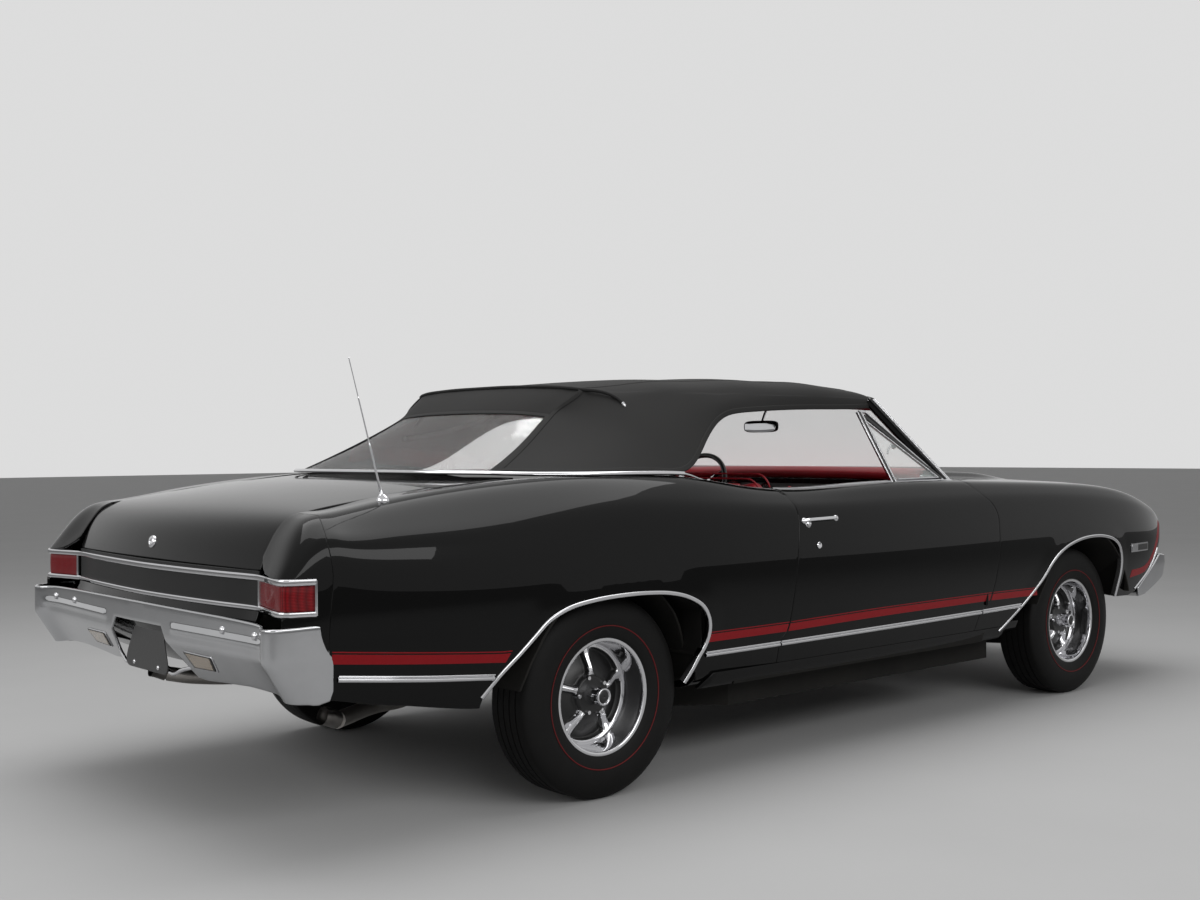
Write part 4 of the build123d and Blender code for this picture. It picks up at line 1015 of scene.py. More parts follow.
def discPiece(name, centre, outward, body):
    # five slender spokes with recessed windows between them
    v = discValues
    rings, steps = 46, 260
    radii = np.linspace(v["inner"], v["outer"], rings)
    turns = np.linspace(0, 2 * math.pi, steps, endpoint=False)
    radius, turn = np.meshgrid(radii, turns, indexing="ij")
    sector = 2 * math.pi / v["spokes"]
    offset = (turn - v["turn"] + sector / 2) % sector - sector / 2
    lateral = radius * np.abs(offset)
    share = (radius - v["windowInner"]) / (v["windowOuter"] - v["windowInner"])
    half = v["spokeAtHub"] + (v["spokeAtRim"] - v["spokeAtHub"]) * np.clip(share, 0, 1) ** 1.6
    room = np.stack([lateral - half, radius - v["windowInner"], v["windowOuter"] - radius])
    soft = 0.006
    room = -soft * np.log(np.exp(-room / soft).sum(0))
    window = ease(0.0, v["edge"], room)
    crown = 0.004 * np.exp(-(lateral / (0.55 * half)) ** 2) * ease(0.058, 0.080, radius) * (
        1 - ease(0.145, 0.158, radius))
    bowl = 0.030 - 0.026 * ease(0.060, 0.160, radius)
    out = bowl + crown - v["depth"] * window
    out = np.where(radius > 0.160, np.minimum(out, 0.006), out)
    points = np.stack([centre[0] + outward * out, centre[1] + radius * np.cos(turn),
        centre[2] + radius * np.sin(turn)], -1).reshape(-1, 3)
    dark = ((window > 0.42) | (radius < v["hub"]))[:-1]
    mesh = rawMesh(name, points, ringFaces(rings, steps))
    mesh.materials.append(chrome)
    mesh.materials.append(recessBlack)
    mesh.polygons.foreach_set("material_index", dark.ravel().astype(np.int32))
    turnOut(mesh, steady(outward, 0, 0))
    mesh.shade_smooth()
    disc = linked(name, mesh)
    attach(disc, body)
    return disc


capProfile = [(0.0001, 0.087), (0.01, 0.087), (0.02, 0.087), (0.0212, 0.088), (0.0222, 0.0905),
    (0.0235, 0.0915), (0.0262, 0.0915), (0.028, 0.09), (0.029, 0.086), (0.0292, 0.07), (0.031, 0.05),
    (0.032, 0.035), (0.034, 0.03), (0.034, 0.02), (0.0001, 0.02)]

capFace = [(0.0001, 0.0892), (0.008, 0.089), (0.015, 0.0884), (0.0208, 0.0874), (0.0208, 0.086),
    (0.0001, 0.086)]


lugValues = {"count": 5, "circle": 0.0585, "radius": 0.0095, "height": 0.026, "taper": 0.72, "seat": 0.012}


def lugNuts(name, centre, outward, body):
    # a ring of chrome nuts, spread by a node tree
    v = lugValues
    tree = bpy.data.node_groups.new(name + "Tree", "GeometryNodeTree")
    for label in ("Count", "Circle", "Radius", "Height"):
        kind = "NodeSocketInt" if label == "Count" else "NodeSocketFloat"
        tree.interface.new_socket(label, in_out="INPUT", socket_type=kind).default_value = v[label.lower()]
    tree.interface.new_socket("Geometry", in_out="OUTPUT", socket_type="NodeSocketGeometry")
    start = tree.nodes.new("NodeGroupInput")
    end = tree.nodes.new("NodeGroupOutput")
    circle = tree.nodes.new("GeometryNodeMeshCircle")
    nut = tree.nodes.new("GeometryNodeMeshCone")
    nut.inputs["Vertices"].default_value = 6
    spread = tree.nodes.new("GeometryNodeInstanceOnPoints")
    real = tree.nodes.new("GeometryNodeRealizeInstances")
    paint = tree.nodes.new("GeometryNodeSetMaterial")
    paint.inputs["Material"].default_value = chrome
    top = tree.nodes.new("ShaderNodeMath")
    top.operation = "MULTIPLY"
    top.inputs[1].default_value = v["taper"]
    link = tree.links.new
    link(start.outputs["Count"], circle.inputs["Vertices"])
    link(start.outputs["Circle"], circle.inputs["Radius"])
    link(start.outputs["Radius"], nut.inputs["Radius Bottom"])
    link(start.outputs["Radius"], top.inputs[0])
    link(top.outputs[0], nut.inputs["Radius Top"])
    link(start.outputs["Height"], nut.inputs["Depth"])
    link(circle.outputs["Mesh"], spread.inputs["Points"])
    link(nut.outputs["Mesh"], spread.inputs["Instance"])
    link(spread.outputs["Instances"], real.inputs["Geometry"])
    link(real.outputs["Geometry"], paint.inputs["Geometry"])
    link(paint.outputs["Geometry"], end.inputs["Geometry"])
    holder = linked(name + "Draft", bpy.data.meshes.new(name + "Draft"))
    holder.modifiers.new("nuts", "NODES").node_group = tree
    mesh = bpy.data.meshes.new_from_object(evaluated(holder))
    bpy.data.objects.remove(holder)
    mesh.name = name
    turn = Matrix.Rotation(math.pi / 2 * outward, 4, "Y") @ Matrix.Rotation(discValues["turn"], 4, "Z")
    mesh.transform(Matrix.Translation((centre[0] + outward * v["seat"], centre[1], centre[2])) @ turn)
    return dressPiece(name, mesh, None, body, smooth=False)


for place, axle in (("front", frontAxle), ("rear", rearAxle)):
    for side, outward in bothSides:
        centre = (outward * abs(axle.x), axle.y, axle.z)
        tag, body = f"{place}_{side}", f"wheel_{place}_{side}"
        tyre = revolved(f"tyre_soft_{tag}", tyreProfile(tyreValues), centre, outward, rubber, body,
            steps=112, sharp=40)
        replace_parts(tyre, f"tyre_{tag}")
        line, width = tyreValues["redline"], tyreValues["redlineWidth"]
        ring = [(line - width / 2, 0.1), (line - width / 2, 0.1012), (line, 0.1019),
            (line + width / 2, 0.1018), (line + width / 2, 0.1)]
        revolved(f"tyre_redline_{tag}", ring, centre, outward, redline, body, steps=112)
        rim = revolved(f"rim_chrome_{tag}", rimProfile, centre, outward, chrome, body, steps=112,
            sharp=50)
        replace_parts(rim, f"rim_{tag}")
        discPiece(f"rim_spokes_{tag}", centre, outward, body)
        revolved(f"rim_cap_{tag}", capProfile, centre, outward, chrome, body, steps=48, sharp=50)
        revolved(f"rim_cap_face_{tag}", capFace, centre, outward, recessBlack, body,
            steps=40)
        lugNuts(f"lug_nuts_{tag}", centre, outward, body)
print("wheels made")


# ---- rear bumper and plate

def pathPanel(name, path, outline, place, material, slot, grain=0.014, towards=None, **skin):
    # a panel drawn flat as (distance along a plan path, z), then carried onto the path
    line, outward = followPath(path, 0.004)
    run = np.concatenate([[0], np.cumsum(np.linalg.norm(np.diff(line, axis=0), axis=1))])
    run -= run[-1] / 2
    if outward[len(line) // 2, 1] * (1 if line[:, 1].mean() > 0 else -1) < 0:
        outward = -outward

    def distance(x, y):
        return float(run[int(np.argmin((line[:, 0] - x) ** 2 + (line[:, 1] - y) ** 2))])

    flat, faces = fillOutline(spaced([(distance(x, y), z) for x, y, z in outline] +
        [(distance(*outline[0][:2]), outline[0][2])], 0.01)[:-1], grain)
    base = np.stack([np.interp(flat[:, 0], run, line[:, axis]) for axis in (0, 1)], 1)
    away = np.stack([np.interp(flat[:, 0], run, outward[:, axis]) for axis in (0, 1)], 1)
    out, height = place(base, flat[:, 1])
    spots = base + (away * out[:, None] if out.ndim == 1 else out)
    return skinPanel(name, np.stack([spots[:, 0], spots[:, 1], height], 1), faces, material, "body", slot,
        towards or (lambda centre: Vector((0, math.copysign(1, centre.y), 0.2))), **skin)


bumperPath = [(0.0, 2.489), (0.25, 2.486), (0.55, 2.473), (0.73, 2.468), (0.785, 2.475), (0.825, 2.496),
    (0.853, 2.501), (0.877, 2.489), (0.892, 2.44), (0.898, 2.38), (0.899, 2.312)]
bumperOutline = [(0.0, 2.489, 0.66), (0.25, 2.486, 0.659), (0.55, 2.473, 0.656), (0.74, 2.468, 0.652),
    (0.83, 2.498, 0.648), (0.877, 2.489, 0.65), (0.898, 2.38, 0.652), (0.899, 2.35, 0.652),
    (0.899, 2.322, 0.56), (0.899, 2.316, 0.475), (0.899, 2.325, 0.45), (0.898, 2.36, 0.444),
    (0.896, 2.41, 0.445), (0.877, 2.489, 0.449), (0.83, 2.498, 0.452), (0.75, 2.468, 0.461),
    (0.6, 2.471, 0.464), (0.45, 2.477, 0.456), (0.34, 2.484, 0.449), (0.285, 2.486, 0.453),
    (0.178, 2.488, 0.605)]
bumperValues = {"ridge": 0.009, "ridgeHeight": 0.600, "fold": 0.566, "slope": 0.62, "sideSlope": 0.10}


def bumperPlace(base, z):
    # below the fold the face leans forwards, the side plate hardly inwards
    v = bumperValues
    across = np.abs(base[:, 0])
    ridge = np.exp(-((z - v["ridgeHeight"]) / 0.0075) ** 4)
    ridge = ridge * ease(0.235, 0.262, across) * (1 - ease(0.765, 0.815, across))
    drop = np.maximum(0, v["fold"] - z)
    drop = np.where(drop < 0.012, drop * drop / 0.024, drop - 0.006)
    forwards = v["slope"] * drop * ease(2.32, 2.50, base[:, 1]) / ease(2.32, 2.50, np.array([2.489]))
    inwards = np.sign(base[:, 0]) * v["sideSlope"] * drop * ease(0.80, 0.90, across)
    return np.stack([-inwards, v["ridge"] * ridge - forwards], 1), z


rearBumper = pathPanel("rear_bumper_face", wholePath(bumperPath), mirrorRound(bumperOutline), bumperPlace,
    shadedBumperChrome, "chrome", hem=0.005, depth=0.009, thick=0.0025, grain=0.0105)
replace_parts(rearBumper, "rear_bumper")


def roundHead(name, spot, towards, radius, steps=20):
    # domed bolt head or button, its foot sunk a little
    axis = Vector(towards).normalized()
    turn = axis.to_track_quat("Z", "Y").to_matrix().to_4x4()
    profile = [(1.0, -0.3), (1.0, 0.0), (0.93, 0.18), (0.75, 0.34), (0.48, 0.45), (0.2, 0.495)]
    points = []
    for out, up in profile:
        for step in range(steps):
            angle = 2 * math.pi * step / steps
            points.append((radius * out * math.cos(angle), radius * out * math.sin(angle), radius * up))
    last = (len(profile) - 1) * steps
    faces = ringFaces(len(profile), steps) + [tuple(range(last, last + steps)),
        tuple(range(steps - 1, -1, -1))]
    mesh = rawMesh(name, points, faces)
    mesh.transform(Matrix.Translation(spot) @ turn)
    return dressPiece(name, mesh, chrome, "body", sharp=50)


def bentTube(name, points, radius, material, body, sides=14, caps=True):
    # rigid round bar through a few points
    draft = bpy.data.curves.new(name + "Draft", "CURVE")
    draft.dimensions = "3D"
    draft.bevel_depth = radius
    draft.bevel_resolution = max(1, sides // 4)
    draft.use_fill_caps = caps
    spline = draft.splines.new("BEZIER")
    spline.bezier_points.add(len(points) - 1)
    for knot, point in zip(spline.bezier_points, points):
        knot.co = point[:3]
        knot.radius = point[3] if len(point) > 3 else 1.0
        knot.handle_left_type = knot.handle_right_type = "AUTO"
    spline.resolution_u = 8
    holder = linked(name + "Draft", draft)
    mesh = bpy.data.meshes.new_from_object(evaluated(holder))
    bpy.data.objects.remove(holder)
    mesh.name = name
    return dressPiece(name, mesh, material, body, sharp=60)


for side, sign in bothSides:
    for index, (x, y) in enumerate(((0.553, 2.4735), (0.738, 2.4695))):
        roundHead(f"bumper_bolt_{index}_{side}", (sign * x, y, 0.6235), (0, 1, 0.1), 0.0115)
    for place, x in (("inner", 0.300), ("outer", 0.700)):
        points = [(sign * x, 2.452, 0.615), (sign * x, 2.42, 0.59), (sign * x, 2.38, 0.57)]
        bentTube(f"bumper_iron_{place}_{side}", points, 0.014, paintChassis, "body")


def reverseGlass():
    lens = Finish("reverseGlass", baseColor=(0.3, 0.22, 0.14, 1), roughness=0.16, coatWeight=1.0,
        coatRoughness=0.03)
    ribs = lens.ribs(0, 0.003) * 333
    lens.shade(ribs, (0.10, 0.07, 0.045, 1), (0.42, 0.33, 0.22, 1))
    lens.bump(ribs, 0.4, 0.001)
    return lens.material


amberGlass = reverseGlass()
slotOutline = [(0.305, 0.532), (0.455, 0.530), (0.440, 0.490), (0.318, 0.488)]


def lifted(place, lift):
    # the same placing, moved outwards
    def moved(base, z):
        out, height = place(base, z)
        return out + lift, height

    return moved


def ringOutline(outline, grow):
    # pushes a small convex outline outwards from its middle
    middle = np.mean(np.array(outline), axis=0)
    return [tuple(middle + (np.array(point) - middle) * (1 + grow / np.linalg.norm(np.array(point) - middle)))
            for point in outline]


for side, sign in bothSides:
    for part, grow, lift, material, slotName in (("frame", 0.01, 0.003, chrome, "chrome"),
            ("well", 0.003, 0.0055, recessBlack, "grille_plastic"),
            ("lens", -0.006, 0.0065, amberGlass, "lamp_glass")):
        shape = [(sign * x, 2.483, z) for x, z in ringOutline(slotOutline, grow)]
        pathPanel(f"reverse_{part}_{side}", wholePath(bumperPath), shape, lifted(bumperPlace, (0, lift)),
            material, slotName, hem=0.001, depth=0.003, thick=0, grain=0.012)

plateSeat = 2.4545


def plateOutline():
    half = [(0.0, 0.603), (0.055, 0.600), (0.088, 0.588), (0.110, 0.562), (0.128, 0.525), (0.146, 0.488),
            (0.152, 0.462), (0.140, 0.450), (0.08, 0.447), (0.0, 0.447)]
    return mirrorOutline(smoothLine(half, step=0.008))


plateBlack = plainFinish("plateBlack", grey(0.03), (90, 4), grey(0.022), grey(0.04), (0.2, 0.32),
    roughness=0.4)
flat, faces = fillOutline(plateOutline(), 0.012)
skinPanel("rear_plate", np.stack([flat[:, 0], plateSeat + 0.003 - 0.5 * (flat[:, 1] - 0.447) ** 2,
    flat[:, 1]], 1), faces, plateBlack, "body", "matte_black_paint", steady(0, 1, 0), hem=0.002,
    depth=0.004, thick=0)
for side, sign in bothSides:
    roundHead(f"plate_bolt_{side}", (sign * 0.089, plateSeat + 0.004, 0.462), (0, 1, 0), 0.0075)
    path = [(sign * 0.135, 2.450, 0.462), (sign * 0.170, 2.446, 0.452), (sign * 0.225, 2.440, 0.470),
            (sign * 0.270, 2.430, 0.480)]
    bentTube(f"plate_arm_{side}", path, 0.006, chrome, "body")


# ---- arch linings and exhaust ends

tipSteel = plainFinish("tipSteel", (0.16, 0.15, 0.145, 1), (40, 4), (0.09, 0.085, 0.08, 1),
    (0.22, 0.21, 0.2, 1), (0.2, 0.28), metallic=1.0, roughness=0.35)


def houseLining(name, side, line, axleY, foot, inner, outer, room=0.0):
    # rolled inner skin behind an arch lip, with extra room ahead of a wheel that steers
    sign = signOf[side]
    spots = np.array(smoothLine([(axleY + y, z) for y, z in line if z > foot], step=0.02))
    middle = np.array([axleY, 0.40])
    rows = []
    for x, grow in ((outer, 0.004), (outer - 0.03, 0.01), (0.8, 0.014), (inner + 0.02, 0.02),
            (inner, 0.024)):
        ahead = room * (x < 0.85)
        rows.append([(sign * min(x, sidePoints([sideSpot(y, level=max(z, 0.37))])[0][0] - 0.012),
            y + (y - middle[0]) * grow - ahead * float(ease(0.2, 0.29, axleY - y)),
            z + (z - middle[1]) * grow) for y, z in spots])
    return gridPiece(f"{name}_{side}", rows, paintChassis, "body", "chassis_paint",
        lambda centre: Vector((0, axleY - centre.y, 0.35 - centre.z)), hem=0, thick=0.0015)


for side, sign in bothSides:
    houseLining("front_house_lining", side, frontArchLine, frontAxle.y, 0.40, 0.66, 0.93, room=0.040)
    houseLining("rear_house_lining", side, rearArchLine, rearAxle.y, 0.42, 0.648, 0.93)
    tip = [(sign * 0.590, 2.130, 0.330), (sign * 0.600, 2.165, 0.345), (sign * 0.601, 2.182, 0.350)]
    bentTube(f"exhaust_tip_{side}", tip, 0.0275, tipSteel, "body", sides=24, caps=False)
print("rear bumper, plate and linings made")


# ---- fabric top and rear window

def topCanvas():
    canvas = Finish("topCanvas", baseColor=grey(0.012), roughness=0.82, specularIORLevel=0.25)
    warp, weft = (canvas.ribs(axis, 0.0011) * 900 for axis in (0, 1))
    dust = canvas.noise(5, 5, 0.6)
    canvas.shade(dust, grey(0.009), (0.0165, 0.0160, 0.0155, 1))
    canvas.feed("Roughness", dust * 0.12 + 0.74)
    canvas.bump(warp * 0.5 + weft * 0.5 + canvas.noise(400, 3) * 0.6, 0.28, 0.0006)
    return canvas.material


canvas = topCanvas()

# control net of the driver's half: columns from the header back to the rear window's side, each from the
# middle of the roof out and down to the hem
topNet = [
    [(0, -.492, 1.350), (.30, -.480, 1.347), (.48, -.458, 1.338), (.560, -.445, 1.330), (.585, -.440, 1.324),
     (.597, -.438, 1.316), (.601, -.436, 1.308), (.602, -.435, 1.300)],
    [(0, -.425, 1.378), (.30, -.415, 1.375), (.48, -.395, 1.364), (.565, -.385, 1.350), (.592, -.380, 1.338),
     (.604, -.378, 1.324), (.609, -.376, 1.310), (.610, -.375, 1.296)],
    [(0, -.220, 1.397), (.30, -.215, 1.394), (.48, -.205, 1.384), (.570, -.20, 1.368), (.603, -.20, 1.350),
     (.618, -.20, 1.330), (.624, -.20, 1.309), (.627, -.20, 1.288)],
    [(0, .10, 1.406), (.30, .10, 1.403), (.48, .10, 1.393), (.574, .10, 1.375), (.610, .10, 1.354),
     (.627, .10, 1.330), (.634, .10, 1.306), (.638, .10, 1.282)],
    [(0, .36, 1.404), (.30, .36, 1.401), (.48, .36, 1.391), (.575, .36, 1.371), (.612, .36, 1.348),
     (.634, .365, 1.320), (.646, .37, 1.294), (.654, .38, 1.269)],
    [(0, .54, 1.400), (.30, .54, 1.397), (.48, .54, 1.386), (.573, .54, 1.365), (.612, .54, 1.338),
     (.642, .542, 1.302), (.658, .545, 1.272), (.668, .552, 1.242)],
    [(0, .68, 1.394), (.30, .68, 1.391), (.48, .68, 1.380), (.571, .68, 1.357), (.612, .68, 1.326),
     (.656, .683, 1.268), (.692, .69, 1.208), (.724, .702, 1.150)],
    [(0, .85, 1.384), (.30, .85, 1.381), (.48, .85, 1.368), (.568, .85, 1.342), (.608, .85, 1.306),
     (.672, .85, 1.228), (.735, .855, 1.140), (.794, .862, 1.050)],
    [(0, 1.02, 1.372), (.28, 1.015, 1.368), (.455, 1.00, 1.354), (.545, .985, 1.326), (.596, .985, 1.286),
     (.668, 1.00, 1.205), (.736, 1.025, 1.125), (.800, 1.050, 1.049)],
    [(0, 1.10, 1.363), (.27, 1.09, 1.360), (.442, 1.062, 1.348), (.524, 1.035, 1.329), (.560, 1.065, 1.280),
     (.622, 1.11, 1.203), (.704, 1.18, 1.124), (.794, 1.255, 1.049)],
    [(0, 1.14, 1.357), (.26, 1.13, 1.354), (.432, 1.10, 1.345), (.510, 1.066, 1.331), (.522, 1.115, 1.282),
     (.552, 1.17, 1.220), (.634, 1.285, 1.132), (.748, 1.420, 1.050)],
    [(0, 1.165, 1.352), (.25, 1.155, 1.350), (.42, 1.125, 1.343), (.500, 1.090, 1.333), (.488, 1.150, 1.286),
     (.478, 1.210, 1.240), (.548, 1.375, 1.142), (.622, 1.552, 1.053)],
]


def netSurface(net, columns, rows):
    # smooth grid through a net of control points
    net = np.array(net, float)
    count, width = net.shape[:2]
    along = np.array([cubicThrough([(index, *point) for index, point in enumerate(line)])(
        np.linspace(0, width - 1, rows)) for line in net])
    spread = np.linspace(0, count - 1, columns)
    grid = np.zeros((columns, rows, 3))
    for row in range(rows):
        grid[:, row] = cubicThrough([(index, *point) for index, point in enumerate(along[:, row])])(spread)
    return grid


topColumns, topRows = 111, 71
half = netSurface(topNet, topColumns, topRows)
sag = 0.0045 * np.sin(np.clip((half[:, :, 1] + 0.44) / 0.40, 0, 8) * math.pi) ** 2
half[:, :, 2] -= sag * (half[:, :, 2] > 1.33) * (half[:, :, 1] < 1.1)
seamRow = int(round(2.15 / 7 * (topRows - 1)))
whole = np.concatenate([(half * (-1, 1, 1))[:, :0:-1], half], axis=1)


def clothPiece(name, grid, material, slot, towards, thick=0.0024):
    return gridPiece(name, grid, material, "body", slot, towards, hem=0, thick=thick)


def outOfTop(centre):
    return Vector((centre.x, 0.5 * (centre.y - 0.2), centre.z - 0.8))


mainTop = clothPiece("top_canvas", whole[::2], canvas, "top_fabric", outOfTop)
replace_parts(mainTop, "convertible_top")


def seamStrip(name, points, facing, width, rise, material, slot):
    # flat sewn strip with rounded edges that lies on a surface
    points, facing = np.array(points), np.array(facing)
    run = np.gradient(points, axis=0)
    run /= np.linalg.norm(run, axis=1)[:, None]
    facing = facing - run * (facing * run).sum(1)[:, None]
    facing /= np.linalg.norm(facing, axis=1)[:, None]
    across = np.cross(run, facing)
    rows = [(-0.5, -0.3), (-0.5, 0.45), (-0.42, 0.85), (-0.25, 1.0), (0.25, 1.0), (0.42, 0.85), (0.5, 0.45),
        (0.5, -0.3)]
    patch = [points + across * (width * over) + facing * (rise * up) for over, up in rows]
    return gridPiece(name, patch, material, "body", slot, steady(*facing.mean(0)), hem=0, thick=0)


def gridNormals(grid):
    first, second = np.gradient(grid, axis=0), np.gradient(grid, axis=1)
    normal = np.cross(first, second)
    normal /= np.maximum(np.linalg.norm(normal, axis=2), 1e-9)[..., None]
    return np.where(normal[..., 2:] < 0, -normal, normal)


topFacing = gridNormals(half)
for side, sign in bothSides:
    flip = np.array([sign, 1, 1])
    lines = {
        "roof_seam": (half[:, seamRow], topFacing[:, seamRow], 0.016, 0.0016),
        "side_hem": (half[:80, -2], topFacing[:80, -2], 0.020, 0.0030),
        "quarter_seam": (half[-1, 27:], topFacing[-1, 27:], 0.016, 0.0025),
        "belt_hem": (half[70:, -2], topFacing[70:, -2], 0.018, 0.0022),
    }
    for name, (points, facing, width, rise) in lines.items():
        seamStrip(f"top_{name}_{side}", points * flip, facing * flip, width, rise, canvas,
            "top_fabric")

# rear bow's welt, tip to tip, and its chrome ends
bowLine = [(0.604, 0.980, 1.279), (0.596, 0.984, 1.290), (0.580, 0.995, 1.306), (0.550, 1.025, 1.325),
           (0.500, 1.086, 1.336), (0.42, 1.125, 1.3455), (0.25, 1.155, 1.3525), (0.0, 1.165, 1.3545)]
bowPath = [(-x, y, z) for x, y, z in bowLine[:-1]] + bowLine[::-1]
bentTube("top_bow_welt", bowPath, 0.0062, canvas, "body", sides=14)
for side, sign in bothSides:
    bentTube(f"top_welt_tip_{side}", [(sign * 0.6065, 0.977, 1.272, 0.6), (sign * 0.605, 0.979, 1.277, 1.0),
        (sign * 0.598, 0.983, 1.288, 1.1)], 0.0066, chrome, "body")
headerLine = [(-.603, -.433, 1.301), (-.600, -.437, 1.318), (-.585, -.441, 1.327), (-.48, -.459, 1.339),
    (-.30, -.481, 1.348), (0, -.493, 1.351)]
headerLine = headerLine + [(-x, y, z) for x, y, z in headerLine[-2::-1]]
bentTube("top_header_bead", headerLine, 0.0065, canvas, "body", sides=12)

# rear curtain: a band under the bow, then the clear window down to the hem
windowTop = [(0.0, 1.285, 1.262), (0.20, 1.272, 1.260), (0.36, 1.243, 1.254), (0.465, 1.207, 1.243)]
windowFoot = [(0.0, 1.700, 1.056), (0.22, 1.692, 1.056), (0.43, 1.650, 1.055), (0.600, 1.560, 1.0535)]
bandTop = [(0.0, 1.165, 1.352), (0.25, 1.155, 1.350), (0.42, 1.125, 1.343), (0.500, 1.090, 1.333)]


def acrossRow(row, columns):
    line = [(-x, y, z) for x, y, z in row[:0:-1]] + list(row)
    curve = np.array(smoothLine(line, step=0.01))
    run = np.concatenate([[0], np.cumsum(np.linalg.norm(np.diff(curve, axis=0), axis=1))])
    return np.stack([np.interp(np.linspace(0, run[-1], columns), run, curve[:, axis]) for axis in range(3)],
        1)


def curtainGrid(upper, lower, columns, rows, bow=0.0):
    # ruled sheet between two rows that sags a little between them
    high, low = acrossRow(upper, columns), acrossRow(lower, columns)
    grid = np.zeros((columns, rows, 3))
    for row, share in enumerate(np.linspace(0, 1, rows)):
        grid[:, row] = high + (low - high) * share
        grid[:, row, 1] -= bow * math.sin(math.pi * share) * 0.6
        grid[:, row, 2] -= bow * math.sin(math.pi * share)
    return grid


band = clothPiece("top_rear_band", curtainGrid(bandTop, windowTop, 61, 9, -0.003), canvas, "top_fabric",
    outOfTop)


def clearVinyl():
    vinyl = Finish("clearVinyl", baseColor=(0.86, 0.87, 0.85, 1), roughness=0.05, transmissionWeight=1.0,
        iOR=1.2, alpha=0.3)
    wave = vinyl.noise(3.5, 4, 0.6)
    vinyl.feed("Roughness", wave * 0.10 + 0.03)
    vinyl.bump(wave, 0.35, 0.02)
    vinyl.feed("Alpha", wave * 0.14 + 0.20)
    return vinyl.material


windowClear = clearVinyl()
windowGrid = curtainGrid(windowTop, windowFoot, 61, 31, 0.010)
windowGrid[:, :, 2] += 0.0022 * np.sin(np.linspace(0, 9, 61))[:,
    None] * np.sin(np.linspace(0, math.pi, 31))[None]
rearGlass = clothPiece("rear_window_vinyl", windowGrid, windowClear, "clear_vinyl", outOfTop, thick=0.0012)
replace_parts(rearGlass, "rear_window")
facing = gridNormals(windowGrid)
for name, points, normal, width in (("upper", windowGrid[:, 0], facing[:, 0], 0.022),
        ("lower", windowGrid[:, -1], facing[:, -1], 0.02)):
    seamStrip(f"window_hem_{name}", points, normal, width, 0.003, canvas, "top_fabric")
for side, index in (("left", -1), ("right", 0)):
    seamStrip(f"window_hem_{side}", windowGrid[index], facing[index], 0.024, 0.0032, canvas,
        "top_fabric")

# chrome strip along the belt at the top's foot
beltLine = [(0.8035, 0.885, 1.040), (0.8085, 0.95, 1.043), (0.8085, 1.10, 1.045), (0.8065, 1.22, 1.0455),
            (0.795, 1.33, 1.046), (0.770, 1.425, 1.047), (0.725, 1.50, 1.048), (0.665, 1.555, 1.050),
            (0.60, 1.60, 1.052), (0.45, 1.665, 1.053), (0.22, 1.705, 1.054), (0.0, 1.713, 1.054)]
beltPath = [(-x, y, z) for x, y, z in beltLine[:-1]] + beltLine[::-1]
beltPoints = np.array(smoothLine(beltPath, step=0.02))
beltFacing = np.stack([beltPoints[:, 0] * 0.9, np.clip(beltPoints[:, 1] - 1.3, 0, 1),
    np.full(len(beltPoints), 0.55)], 1)
seamStrip("belt_strip", beltPoints, beltFacing, 0.014, 0.006, chrome, "chrome")
for side, sign in bothSides:
    drop = [(sign * 0.8035, 0.888, 1.041), (sign * 0.8045, 0.855, 1.034), (sign * 0.8045, 0.820, 1.023),
            (sign * 0.802, 0.70, 0.996), (sign * 0.800, 0.58, 0.980), (sign * 0.798, 0.445, 0.9735)]
    drop = np.array(smoothLine(drop, step=0.02))
    seamStrip(f"belt_drop_{side}", drop, np.tile((sign * 0.5, 0, 1.0), (len(drop), 1)), 0.01, 0.004, chrome,
        "chrome")
print("top and rear window made")


# ---- bows and rails under the fabric, windshield, vents, mirror

def lathe(name, profile, spot, axis, material, body, steps=40, sharp=45):
    # turns (radius, up) rows about an axis; rows that start and end at zero radius give a closed shape
    turn = Vector(axis).normalized().to_track_quat("Z", "Y").to_matrix().to_4x4()
    angles = [2 * math.pi * step / steps for step in range(steps)]
    points = [(radius * math.cos(angle), radius * math.sin(angle), up) for radius, up in profile
        for angle in angles]
    mesh = rawMesh(name, points, ringFaces(len(profile), steps))
    mesh.transform(Matrix.Translation(spot) @ turn)
    mendMesh(mesh, merge=1e-5, fill=True)
    return dressPiece(name, mesh, material, body, sharp=sharp)


def ringProfile(major, minor, steps=14):
    return [(major + minor * math.cos(2 * math.pi * step / steps),
        minor * math.sin(2 * math.pi * step / steps)) for step in range(steps + 1)]


def sweepBar(name, points, facing, section, material, body, sharp=40, closed=False):
    # carries a closed (across, up) section along a path, up being the facing direction
    points = np.array(points, float)
    facing = np.broadcast_to(np.array(facing, float), points.shape)
    run = np.gradient(points, axis=0)
    if closed:
        run = np.roll(points, -1, 0) - np.roll(points, 1, 0)
    run /= np.linalg.norm(run, axis=1)[:, None]
    facing = facing - run * (facing * run).sum(1)[:, None]
    facing /= np.linalg.norm(facing, axis=1)[:, None]
    across = np.cross(run, facing)
    count, rows = len(points), len(section)
    spots = [points[step] + across[step] * over + facing[step] * up for step in range(count)
        for over, up in section]
    faces = ringFaces(count, rows, closed)
    if not closed:
        faces += [tuple(range(rows - 1, -1, -1)), tuple((count - 1) * rows + row for row in range(rows))]
    mesh = rawMesh(name, spots, faces)
    mendMesh(mesh)
    return dressPiece(name, mesh, material, body, sharp=sharp)


